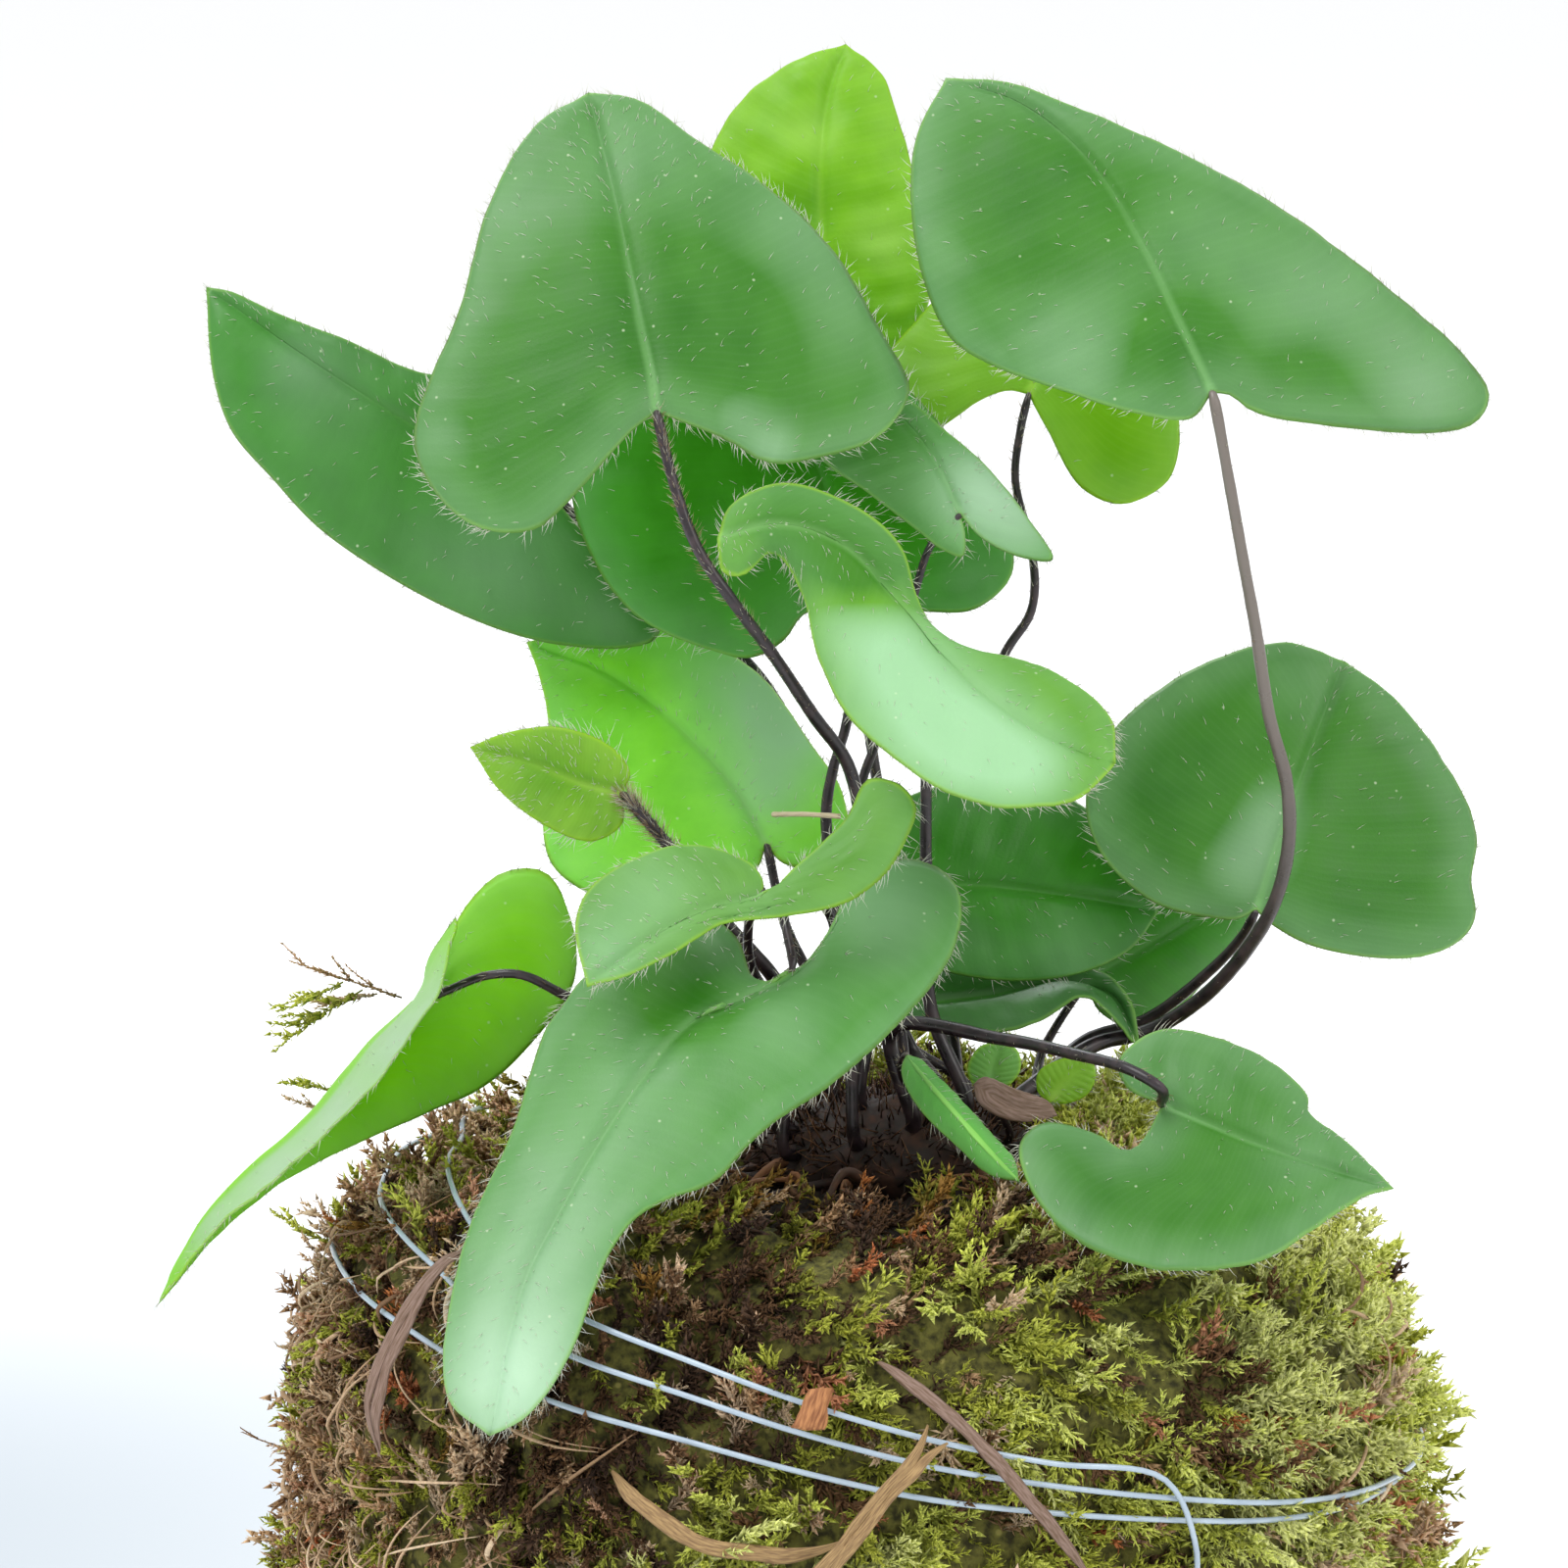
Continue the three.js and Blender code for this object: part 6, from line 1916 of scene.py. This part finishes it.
    def fibres(self) -> Shell:
        """Dry fibres that wander over the moss, most of them on the left."""
        random, parts = self.random, []
        for _ in range(self.FIBRES):
            left = random.random() < 0.72
            heading = random.uniform(-110, -34) if left else random.uniform(60, 250)
            z = random.uniform(12, 93)
            drift, climb = random.normal(0, 1.3), random.normal(0, 0.8) - 0.3
            curl = random.normal(0, 0.06)
            length = random.uniform(2, 7.5)
            steps = int(length / 1.2) + 3
            path = []
            for step in range(steps):
                lift = 1.8 * math.sin(math.pi * step / (steps - 1)) + random.uniform(0.2, 0.7)
                path.append(self.plan.on_side(heading, np.clip(z, 2.5, 97.5), lift)[0])
                heading += 1.05 * drift
                z += 1.1 * climb
                drift, climb = drift - curl * climb * 0.6, climb + curl * drift * 0.6
            path = np.array(path)
            if min(self._near.find(place)[2] for place in path) < 1.8:
                continue
            radius = random.uniform(0.12, 0.34) * np.sin(np.linspace(0.25, 2.9, 2 * steps))
            hair = tube(Route(path).at(np.linspace(0, 1, 2 * steps)), radius, 5, 0.5)
            tone = random.uniform(0, 1)
            hair.sheet = np.stack([np.full(len(hair.points), tone), 0.2 + 0.7 * hair.marks["along"]], 1)
            hair.marks = {}
            parts.append(hair)
        return join_shells(parts)

    def stray(self, sight: Sight) -> Shell:
        """The long shoots that stand out from the ball's outline."""
        random, parts = self.random, []
        for start, end, back, branches, tone, leaf in STRAY_SHOOTS:
            root = sight.place((*start, back))[0]
            tip = sight.place((*end, back + random.uniform(-4, 4)))[0]
            reach = np.linalg.norm(tip - root)
            ahead = (tip - root) / reach
            side = unit(np.cross((0.1, -1.0, 0.2), ahead))
            up = np.cross(ahead, side)
            sprig = Sprig(random, reach, branches, density=2.6, leaf=leaf, bend=random.uniform(-0.1, 0.15))
            turn = np.stack([ahead, up, -side], 1)
            parts.append(plant_copies(sprig.shell(), root[None], turn[None], np.array([tone])))
        return join_shells(parts)

    def build(self, sight: Sight) -> int:
        """Makes and dresses the moss.

        Args:
            sight: The eye that the stray shoots are drawn from.

        Returns:
            How many faces it has.
        """
        moss = MOSS.make()
        pieces = [settle(self.bed().to_object("moss_bed", MOSS_BED.make()), "moss_jacket")]
        for number, shell in enumerate([*self.live(), self.stray(sight)], 1):
            pieces.append(settle(shell.to_object(f"moss_shoots_{number}", moss), None, "moss"))
        pieces.append(settle(self.fibres().to_object("moss_fibres", DRY_FIBRE.make()), None, "moss"))
        return sum(len(piece.data.polygons) for piece in pieces)


# patches of the moss: heading, height, radius, and how bright (over 0) or dark (under 0); the dark ones are
# painted shadow where the fronds and the hollow shade the moss
MOSS_PATCHES = (
    (-31.0, 79.0, 11.0, -0.75),
    (-40.0, 66.0, 9.0, -0.4),
    (-17.0, 92.0, 10.0, -0.7),
    (36.0, 84.0, 6.0, -0.8),
    (2.0, 97.0, 12.0, -0.45),
    (-62.0, 84.0, 8.0, -0.5),
    (-3.0, 64.0, 12.0, 0.9),
    (20.0, 92.0, 9.0, 0.6),
    (-22.0, 58.0, 9.0, 0.7),
    (14.0, 74.0, 9.0, 0.35),
    (52.0, 80.0, 14.0, 0.7),
)

# long shoots: root and tip as drawn, depth, branches, colour number, leaf length
STRAY_SHOOTS = (
    ((-46.5, 113.2), (-59.0, 117.4), 6, 5, 0.2, 0.8),
    ((-50.5, 114.0), (-61.0, 108.2), 6, 5, 0.72, 1.3),
    ((-52.5, 114.8), (-59.5, 111.0), 5, 4, 0.78, 1.2),
    ((-49.0, 113.6), (-56.0, 112.4), 7, 4, 0.3, 1.0),
    ((-52.0, 103.5), (-59.5, 105.0), 5, 4, 0.74, 1.1),
    ((-53.0, 101.5), (-59.0, 102.6), 5, 3, 0.3, 0.9),
    ((-53.5, 88.0), (-60.5, 91.0), 4, 4, 0.78, 1.2),
    ((-54.0, 86.0), (-57.5, 89.0), 2, 3, 0.35, 0.9),
    ((-54.5, 78.0), (-58.5, 73.8), 4, 3, 0.6, 1.0),
    ((-54.0, 66.5), (-63.8, 67.6), 2, 2, 0.15, 0.5),
    ((-54.0, 62.0), (-58.5, 69.0), 2, 4, 0.72, 1.2),
    ((-53.5, 58.0), (-61.5, 59.5), 2, 4, 0.74, 1.2),
    ((-54.5, 60.5), (-61.0, 54.0), 1, 3, 0.66, 1.0),
    ((-54.0, 52.0), (-59.5, 60.8), 1, 4, 0.8, 1.2),
    ((44.5, 84.5), (51.5, 77.5), 6, 4, 0.82, 1.3),
    ((43.0, 86.0), (49.5, 80.0), 4, 4, 0.88, 1.2),
    ((48.0, 76.0), (54.0, 77.5), 3, 4, 0.8, 1.3),
    ((50.0, 72.0), (52.0, 81.5), 0, 3, 0.88, 0.9),
    ((52.0, 80.0), (54.6, 75.0), 0, 2, 0.88, 0.9),
    ((50.0, 70.0), (57.5, 71.5), 2, 5, 0.86, 1.3),
    ((51.0, 66.0), (58.5, 68.0), 4, 4, 0.82, 1.2),
    ((51.5, 62.0), (59.5, 62.0), 2, 5, 0.86, 1.2),
    ((51.0, 58.0), (57.5, 56.0), 2, 4, 0.8, 1.2),
    ((50.5, 60.0), (56.0, 64.5), -6, 5, 0.9, 1.3),
    ((46.0, 78.0), (50.5, 83.0), -4, 4, 0.84, 1.2),
    ((-17.0, 55.0), (-7.0, 61.5), -56, 6, 0.97, 1.6),
    ((-3.0, 52.0), (6.0, 59.0), -56, 6, 0.95, 1.5),
    ((-24.0, 50.0), (-15.0, 55.5), -55, 5, 0.92, 1.5),
)


@dataclass
class SoilHollow:
    """The dark hollow at the top: crumbled peat, the fern's crown and its old roots.

    Attributes:
        ball: The ball that the hollow is in.
        crown: The fern's crown.
        seed: Start of its random numbers.
    """

    ball: BallPlan
    crown: CrownPlan
    seed: int = 21

    def __post_init__(self) -> None:
        """Starts the random numbers."""
        self.random = np.random.default_rng(self.seed)

    def _lens(self, height: Callable[[np.ndarray], np.ndarray], floor: float, spread: float) -> Shell:
        """A closed mound over the opening: a lumpy top on a flat underside.

        Args:
            height: Gives the top's height at rows of x and y.
            floor: Height of the underside.
            spread: Size beside the opening.

        Returns:
            The mound.
        """
        x, y, wide, deep = self.ball.opening
        turns, rings = 120, 34
        angle = np.linspace(0, 2 * np.pi, turns, endpoint=False)
        level = np.append(1.0, np.linspace(1, 0.02, rings))[:, None]
        flat = np.stack(
            [x + spread * wide * level * np.cos(angle), y + spread * deep * level * np.sin(angle)], -1
        ).reshape(-1, 2)
        points = np.column_stack([flat, height(flat)])
        points[:turns, 2] = floor
        shell = loft(points.reshape(rings + 1, turns, 3))
        shell.points[:, 2] = np.maximum(shell.points[:, 2], floor)
        return shell

    def soil(self) -> Shell:
        """The peat, higher round the crown and crumbled into clods."""

        def height(flat: np.ndarray) -> np.ndarray:
            """The peat's height at rows of x and y."""
            spots = np.column_stack([flat, np.zeros(len(flat))])
            near = np.linalg.norm(flat - np.array(self.crown.centre[:2]), axis=1)
            mound = 2.5 * smoothstep(24, 8, near)
            return 92.0 + mound + 2.0 * lumps(spots, 7.0, 2, 3.0) + 1.3 * lumps(spots, 2.2, 3, 6.0)

        return self._lens(height, 84.0, 1.06)

    def rhizome(self) -> Shell:
        """The crown: a knobbly short stem."""
        polar = np.linspace(0, np.pi, 32)[1:-1, None]
        angle = np.linspace(0, 2 * np.pi, 60, endpoint=False)
        way = np.stack(
            [np.sin(polar) * np.cos(angle), np.sin(polar) * np.sin(angle), -np.cos(polar) + 0 * angle], 2
        )
        points = np.array(self.crown.centre) + np.array(self.crown.radii) * way
        rough = lumps(points.reshape(-1, 3), 4.0, 3, 2.0).reshape(30, 60, 1)
        shell = loft(points + way * (rough - 0.7))
        shell.marks["aged"] = np.zeros(len(shell.points))
        return shell

    def scales(self) -> Shell:
        """Papery brown scales that clothe the crown and its old stumps."""
        random, count = self.random, 1500
        way = unit(random.normal(0, 1, (count, 3)) + (0, 0, 0.5))
        root = np.array(self.crown.centre) + (np.array(self.crown.radii) - 0.9) * way
        lean = way + random.normal(0, 0.55, (count, 3)) + (0, 0, 0.25)
        length = random.uniform(1.4, 3.6, count)
        return spikes(root, lean, random.normal(0, 0.6, (count, 3)), length, 0.13, random.random(count))

    def roots(self) -> Shell:
        """Old root and stipe stubs that radiate from the crown and dip into the peat."""
        random, parts = self.random, []
        for number in range(96):
            heading = random.uniform(0, 2 * np.pi)
            out = np.array([math.cos(heading), math.sin(heading), 0.0])
            away = out * random.uniform(6, 15)
            start = np.array(self.crown.centre) + away + (0, 0, random.uniform(-5.0, 0.5))
            reach = random.uniform(4, 15)
            bend = random.normal(0, 0.4, 3)
            middle = start + reach * 0.5 * (out + bend * (1, 1, 0.3)) + (0, 0, random.uniform(-0.8, 1.2))
            end = start + reach * (out + 0.9 * bend * (1, 1, 0.2)) + (0, 0, -random.uniform(0.5, 4.5))
            if self.ball.in_opening(np.array([end]))[0] > 1.15:
                continue
            steps = int(reach) + 6
            radius = random.uniform(0.22, 0.8) * np.linspace(1.1, 0.45, steps)
            centres = Route([start, middle, end]).at(np.linspace(0, 1, steps))
            radius = radius * (1 + 0.2 * lumps(centres, 1.2, 2, number))
            parts.append(tube(centres, radius, 7))
            parts[-1].marks["aged"] = np.full(len(parts[-1].points), random.uniform(0, 1) ** 3)
        return join_shells(parts)

    def build(self) -> int:
        """Makes and dresses the hollow; returns how many faces it has."""
        root = ROOT.make()
        pieces = (
            settle(self.soil().to_object("soil_mound", PEAT.make()), "soil_ball"),
            settle(self.rhizome().to_object("crown_rhizome", root), "crown"),
            settle(self.scales().to_object("crown_scales", CROWN_SCALE.make()), None, "crown"),
            settle(self.roots().to_object("old_roots", root), None, "crown"),
        )
        return sum(len(piece.data.polygons) for piece in pieces)


# ---------------------------------------------------------------- the binding line
@dataclass(frozen=True)
class LineTurn:
    """One slanting turn of the line: its height, how far it slants, and where it is lowest, degrees."""

    z: float
    slant: float
    phase: float


@dataclass
class BindingLine:
    """One clear line: slanting turns round the shoulder, then a drop, a low turn and a rise beside the drop.

    Attributes:
        ball: What it binds.
        radius: Half its thickness, mm.
        lift: Its centre above the moss on the first turn, mm.
        overlay: How much higher each further turn stands, mm.
    """

    ball: BallPlan
    radius: float = 0.3
    lift: float = 1.1
    overlay: float = 0.8

    TURNS = (LineTurn(77, 10, 10), LineTurn(80.5, 13.5, 10), LineTurn(83, 15, 0))
    START = -150
    DROP = 31

    def __post_init__(self) -> None:
        """Works out the route."""
        upper = 360 * 2 + self.DROP - self.START
        run = np.arange(0, upper + 1, 12)
        turn = np.minimum(len(self.TURNS) - 1, run / 360)
        mix = {
            key: np.interp(turn, range(len(self.TURNS)), [getattr(t, key) for t in self.TURNS])
            for key in ("z", "slant", "phase")
        }
        heading = self.START + run
        z = mix["z"] - mix["slant"] * np.sin(np.radians(heading + mix["phase"]))
        side = self.ball.on_side
        top = self.lift + self.overlay * upper / 360
        low = np.arange(37, 384, 12)
        parts = [
            side(heading, z, self.lift + self.overlay * run / 360),
            side(self.DROP + 2, 69, top),
            side(self.DROP + 3, 62, self.lift + 0.4),
            side(self.DROP + 3, 50, self.lift),
            side(self.DROP + 3, 37, self.lift),
            side(low + 3, 27 + 2 * np.cos(low / 40), self.lift),
            side(388, 38, self.lift),
            side(389, 52, self.lift),
            side(388, 64, self.lift),
        ]
        self.route = Route(np.concatenate(parts))
        self.centres = self.route.at(np.linspace(0, 1, int(self.route.length / 1.4)))

    def build(self) -> int:
        """Makes and dresses the line; returns how many faces it has."""
        shell = tube(self.centres, np.full(len(self.centres), self.radius), 8)
        piece = settle(shell.to_object("line_strand", LineFinish().make()), "binding_line")
        return len(piece.data.polygons)


# ---------------------------------------------------------------- dry litter
@dataclass(frozen=True)
class StrawPlan:
    """A dry blade of grass on the moss.

    Attributes:
        name: The solid that it stands for.
        finish: What it looks like.
        width: Its width, mm.
        lift: How far it lies off the moss, mm.
        route: Points along it, each a heading in degrees and a height in mm.
        strands: How many blades lie side by side.
    """

    name: str
    finish: StrawFinish
    width: float
    lift: float
    route: tuple[tuple[float, float], ...]
    strands: int = 1


STRAWS = (
    StrawPlan("straw_left", STRAW, 2.6, 7, ((-49, 96), (-49, 91), (-50, 84), (-51, 75)), 2),
    StrawPlan("straw_bent", GOLD_STRAW, 1.7, 4.4, ((-25, 77), (-18, 72.5), (-13, 70.5), (-2, 70.5))),
    StrawPlan("straw_middle", GOLD_STRAW, 2, 7, ((7, 82.5), (2, 77), (-3, 70), (-8, 63)), 2),
    StrawPlan("straw_right", STRAW, 1.4, 4.4, ((1.5, 89), (8, 84), (16, 75), (22, 66))),
)


@dataclass
class DryLitter:
    """Dry grass, a chip of bark, a bleached stalk and a dry scale.

    Attributes:
        ball: What the grass lies on.
        sight: The eye that the stalk and the scale are drawn from.
        crown: The fern's crown.
    """

    ball: BallPlan
    sight: Sight
    crown: CrownPlan

    SECTION = (
        (-0.5, 0.0),
        (-0.28, 0.13),
        (0.0, 0.02),
        (0.28, 0.13),
        (0.5, 0.0),
        (0.28, -0.05),
        (0.0, -0.12),
        (-0.28, -0.05),
    )

    def _strand(self, plan: StrawPlan, shift: float, size: float, twist: float) -> Shell:
        """One ridged blade, tapered at both ends.

        Args:
            plan: The straw.
            shift: How far it lies to one side, in widths.
            size: Its width beside the plan's.
            twist: How far it turns over its length, radians.

        Returns:
            The blade.
        """
        points = [self.ball.on_side(h, z, plan.lift)[0] for h, z in plan.route]
        steps = 60
        shares = np.linspace(0, 1, steps)
        centres = Route(points).at(shares)
        ahead = unit(np.gradient(centres, axis=0))
        out = unit(centres * (1, 1, 0))
        out = unit(out - ahead * np.sum(out * ahead, axis=1, keepdims=True))
        across = np.cross(out, ahead)
        turn = (twist * (shares - 0.5))[:, None]
        across, out = np.cos(turn) * across + np.sin(turn) * out, np.cos(turn) * out - np.sin(turn) * across
        taper = np.sqrt(np.clip(np.minimum(shares * 7, (1 - shares) * 4), 0.05, 1))
        width = (plan.width * size * taper * (1 + 0.22 * lumps(centres, 4.0, 2, shift)))[:, None]
        centres = centres + 0.3 * np.column_stack(
            [lumps(centres, 7.0, 2, k + shift) for k in (1.0, 3.0, 5.0)]
        )
        dip = 3.2 * (np.clip(1 - shares * 5, 0, 1) ** 2 + np.clip(shares * 4 - 3, 0, 1) ** 2)
        centres = centres + across * plan.width * shift * (0.4 + 0.8 * shares[:, None]) - out * dip[:, None]
        section = np.array(self.SECTION)
        rings = [centres + width * (x * across + y * out) for x, y in section]
        shell = loft(np.stack(rings, 1))
        run = np.repeat(shares * Route(points).length, len(section))
        shell.marks = {
            "across": np.concatenate([np.tile(section[:, 0] * plan.width, steps), [0, 0]]) + 7 * shift,
            "along": np.concatenate([0.12 * run, [0, 0.12 * run[-1]]]),
        }
        return shell

    def _chip(self) -> Shell:
        """The chip of bark: a splintered flat block."""
        middle = self.ball.on_side(-4.5, 84.5, 5.0)[0]
        turn = Euler((-0.5, 0.35, 0)).to_matrix()
        levels = np.linspace(-2.0, 2.0, 14)
        front = [(-1.3, -0.3), (-0.5, -0.45), (0.4, -0.4), (1.3, -0.25)]
        back = [(1.3, 0.25), (0.4, 0.42), (-0.5, 0.38), (-1.3, 0.3)]
        ring = np.array(front + back)
        shape = np.array([[(x * (1 - 0.1 * z), y, z + 0.35 * x) for x, y in ring] for z in levels])
        shape = shape.reshape(-1, 3)
        shape = shape + 0.16 * np.column_stack([lumps(shape, 1.5, 3, k) for k in (1.0, 4.0, 7.0)])
        points = middle + shape @ np.array(turn).T
        shell = loft(points.reshape(len(levels), len(ring), 3))
        shell.marks = {
            "across": np.concatenate([shape[:, 0], [0, 0]]),
            "along": np.concatenate([0.15 * shape[:, 2], [0, 0]]),
        }
        return shell

    def _stalk(self) -> Shell:
        """The bleached stalk."""
        route = Route(self.sight.place([(-8.6, 131.9, -8), (-5, 131.9, -12.5), (-1.8, 131.7, -14)]))
        centres = route.at(np.linspace(0, 1, 24))
        shell = tube(centres, 0.26 * (1 + 0.15 * lumps(centres, 1.0, 2, 1.0)), 8)
        shell.marks["across"] = np.concatenate([np.tile(np.arange(8) * 0.2, 24), [0, 0]])
        shell.marks["along"] = 1.4 * shell.marks["along"]
        return shell

    def _scale(self) -> Shell:
        """The dry scale, a small withered blade."""
        plan = FrondPlan(
            "dry_scale", LeafAge.DARK, 0.3, base=(20.4, 101.2, -20), lean=0.5, turn=0.1, arch=9, droop=30,
            tip=(11.8, 104.4), rib=((16.5, 101.8),), left=((19.6, 102.6), (16, 104), (12.8, 105.2)),
            right=((18.6, 100.6), (15, 100.8), (12.2, 102.6)), foot=(40, 20), tone=1.0, fuzz=0.2, ripple=1.1,
        )
        shell = Frond(plan, self.sight, self.crown, 900, rows=30, columns=10).blade()
        shell.marks = {"across": shell.marks["rib"], "along": shell.marks["vein"]}
        return shell

    def build(self) -> int:
        """Makes and dresses the litter; returns how many faces it has."""
        finishes = {finish: finish.make() for finish in (STRAW, GOLD_STRAW, BARK, BLEACHED)}
        pieces = []
        for plan in STRAWS:
            strands = [self._strand(plan, 0.0, 1.0, 0.5)]
            if plan.strands > 1:
                strands = [self._strand(plan, -0.25, 0.6, 0.4), self._strand(plan, 0.3, 0.55, -0.9)]
            piece = join_shells(strands).to_object(f"dry_{plan.name}", finishes[plan.finish])
            pieces.append(settle(piece, plan.name))
        pieces.append(settle(self._chip().to_object("chip_of_bark", finishes[BARK]), "bark_chip"))
        pieces.append(settle(self._stalk().to_object("bleached_stalk", finishes[BLEACHED]), "dry_stalk"))
        pieces.append(settle(self._scale().to_object("withered_scale", finishes[STRAW]), "dry_scale"))
        return sum(len(piece.data.polygons) for piece in pieces)


# ---------------------------------------------------------------- studio
@dataclass(frozen=True)
class Studio:
    """A bright plain room: white all round, a pale floor and large soft lights.

    Attributes:
        sight: Where the camera stands and looks.
        lens: Focal length, mm.
        sensor: Width of the sensor, mm.
        floor_radius: Radius of the floor, m.
    """

    sight: Sight
    lens: float = 180.0
    sensor: float = 36.0
    floor_radius: float = 7.0

    SURROUND = 1.0
    # painted shade: the floor turns a darker blue-grey round this spot
    PAINTED_SHADE_SPOT = (-0.16, 0.2, 0.0)  # middle of a faint blue cast on the floor, m
    LIGHTS = (
        # place in metres, width, power, colour
        ((-0.5, -0.35, 1.25), 0.9, 9.0, "#FFFFFF"),
        ((0.9, -0.7, 0.9), 0.7, 4.0, "#FFFDF8"),
        ((-0.3, 0.9, 1.0), 0.8, 5.0, "#F4F8FF"),
    )

    def build(self) -> None:
        """Makes the camera, the lights, the surround and the floor."""
        scene = bpy.context.scene
        scene.view_settings.view_transform = "Standard"
        world = bpy.data.worlds.new("white_surround")
        world.use_nodes = True
        world.node_tree.nodes["Background"].inputs["Color"].default_value = hex_to_linear("#FFFFFF")
        world.node_tree.nodes["Background"].inputs["Strength"].default_value = self.SURROUND
        scene.world = world
        for number, (place, width, power, colour) in enumerate(self.LIGHTS):
            light = bpy.data.lights.new(f"soft_light_{number}", "AREA")
            light.shape = "DISK"
            light.size = width
            light.energy = power
            light.color = hex_to_linear(colour)[:3]
            lamp = bpy.data.objects.new(light.name, light)
            lamp.location = place
            lamp.rotation_euler = (Vector((0, 0, 0.12)) - Vector(place)).to_track_quat("-Z", "Y").to_euler()
            scene.collection.objects.link(lamp)
        data = bpy.data.cameras.new("camera")
        data.lens, data.sensor_width = self.lens, self.sensor
        camera = bpy.data.objects.new("camera", data)
        camera.location = Vector(self.sight.eye()) * MM
        camera.rotation_euler = (math.pi / 2 - self.sight.pitch, 0, 0)
        scene.collection.objects.link(camera)
        scene.camera = camera
        self._floor()

    def _floor(self) -> bpy.types.Object:
        """The floor, level with the plant's underside."""
        turns = np.linspace(0, 2 * np.pi, 96, endpoint=False)
        rim = self.floor_radius / MM * np.stack([np.cos(turns), np.sin(turns), 0 * turns], 1)
        ring = np.arange(1, 97)
        faces = np.stack([np.zeros(96, dtype=int), ring, np.roll(ring, -1)], 1)
        material, tree = new_material("floor_painted_white")
        place = add_node(tree, "ShaderNodeTexCoord").outputs["Object"]
        # painted shade on the floor: darker blue-grey near the spot, fading out by 0.3 m
        far = add_node(
            tree, "ShaderNodeVectorMath", {"operation": "DISTANCE"}, {0: place, 1: self.PAINTED_SHADE_SPOT}
        ).outputs["Value"]
        painted_shade = add_node(
            tree, "ShaderNodeMapRange", {"interpolation_type": "SMOOTHSTEP"}, {0: far, 1: 0.3, 2: 0.02}
        ).outputs[0]
        tint = add_node(
            tree,
            "ShaderNodeMix",
            {"data_type": "RGBA"},
            {0: painted_shade, 6: hex_to_linear("#FBFCFD"), 7: hex_to_linear("#B2BAC1")},
        ).outputs[2]
        paint = add_node(tree, "ShaderNodeBsdfPrincipled", inputs={"Base Color": tint, "Roughness": 0.8})
        add_node(tree, "ShaderNodeOutputMaterial", inputs={"Surface": paint.outputs[0]})
        return Shell(np.concatenate([np.zeros((1, 3)), rim]), [faces]).to_object("floor", material)


def main() -> None:
    """Builds every sub-assembly in order."""
    logging.basicConfig(level=logging.INFO, format="%(name)s: %(message)s")
    sight, crown, ball = Sight(), CrownPlan(), BallPlan()
    leaves = {age: age.value.make() for age in LeafAge}
    stipe, hair = STIPE.make(), HAIR.make()
    places = []
    for number, plan in enumerate(FRONDS):
        frond = Frond(plan, sight, crown, 100 + number)
        faces = frond.build(leaves[plan.age], stipe, hair)
        places.append(frond.points[::3])
        log.info("frond %s: %d faces", plan.name, faces)
    log.info("soil hollow: %d faces", SoilHollow(ball, crown).build())
    line = BindingLine(ball)
    log.info("binding line: %d faces", line.build())
    log.info("moss ball: %d faces", MossBall(ball, np.concatenate(places), line.centres).build(sight))
    log.info("dry litter: %d faces", DryLitter(ball, sight, crown).build())
    Studio(sight).build()


if __name__ == "__main__":
    main()
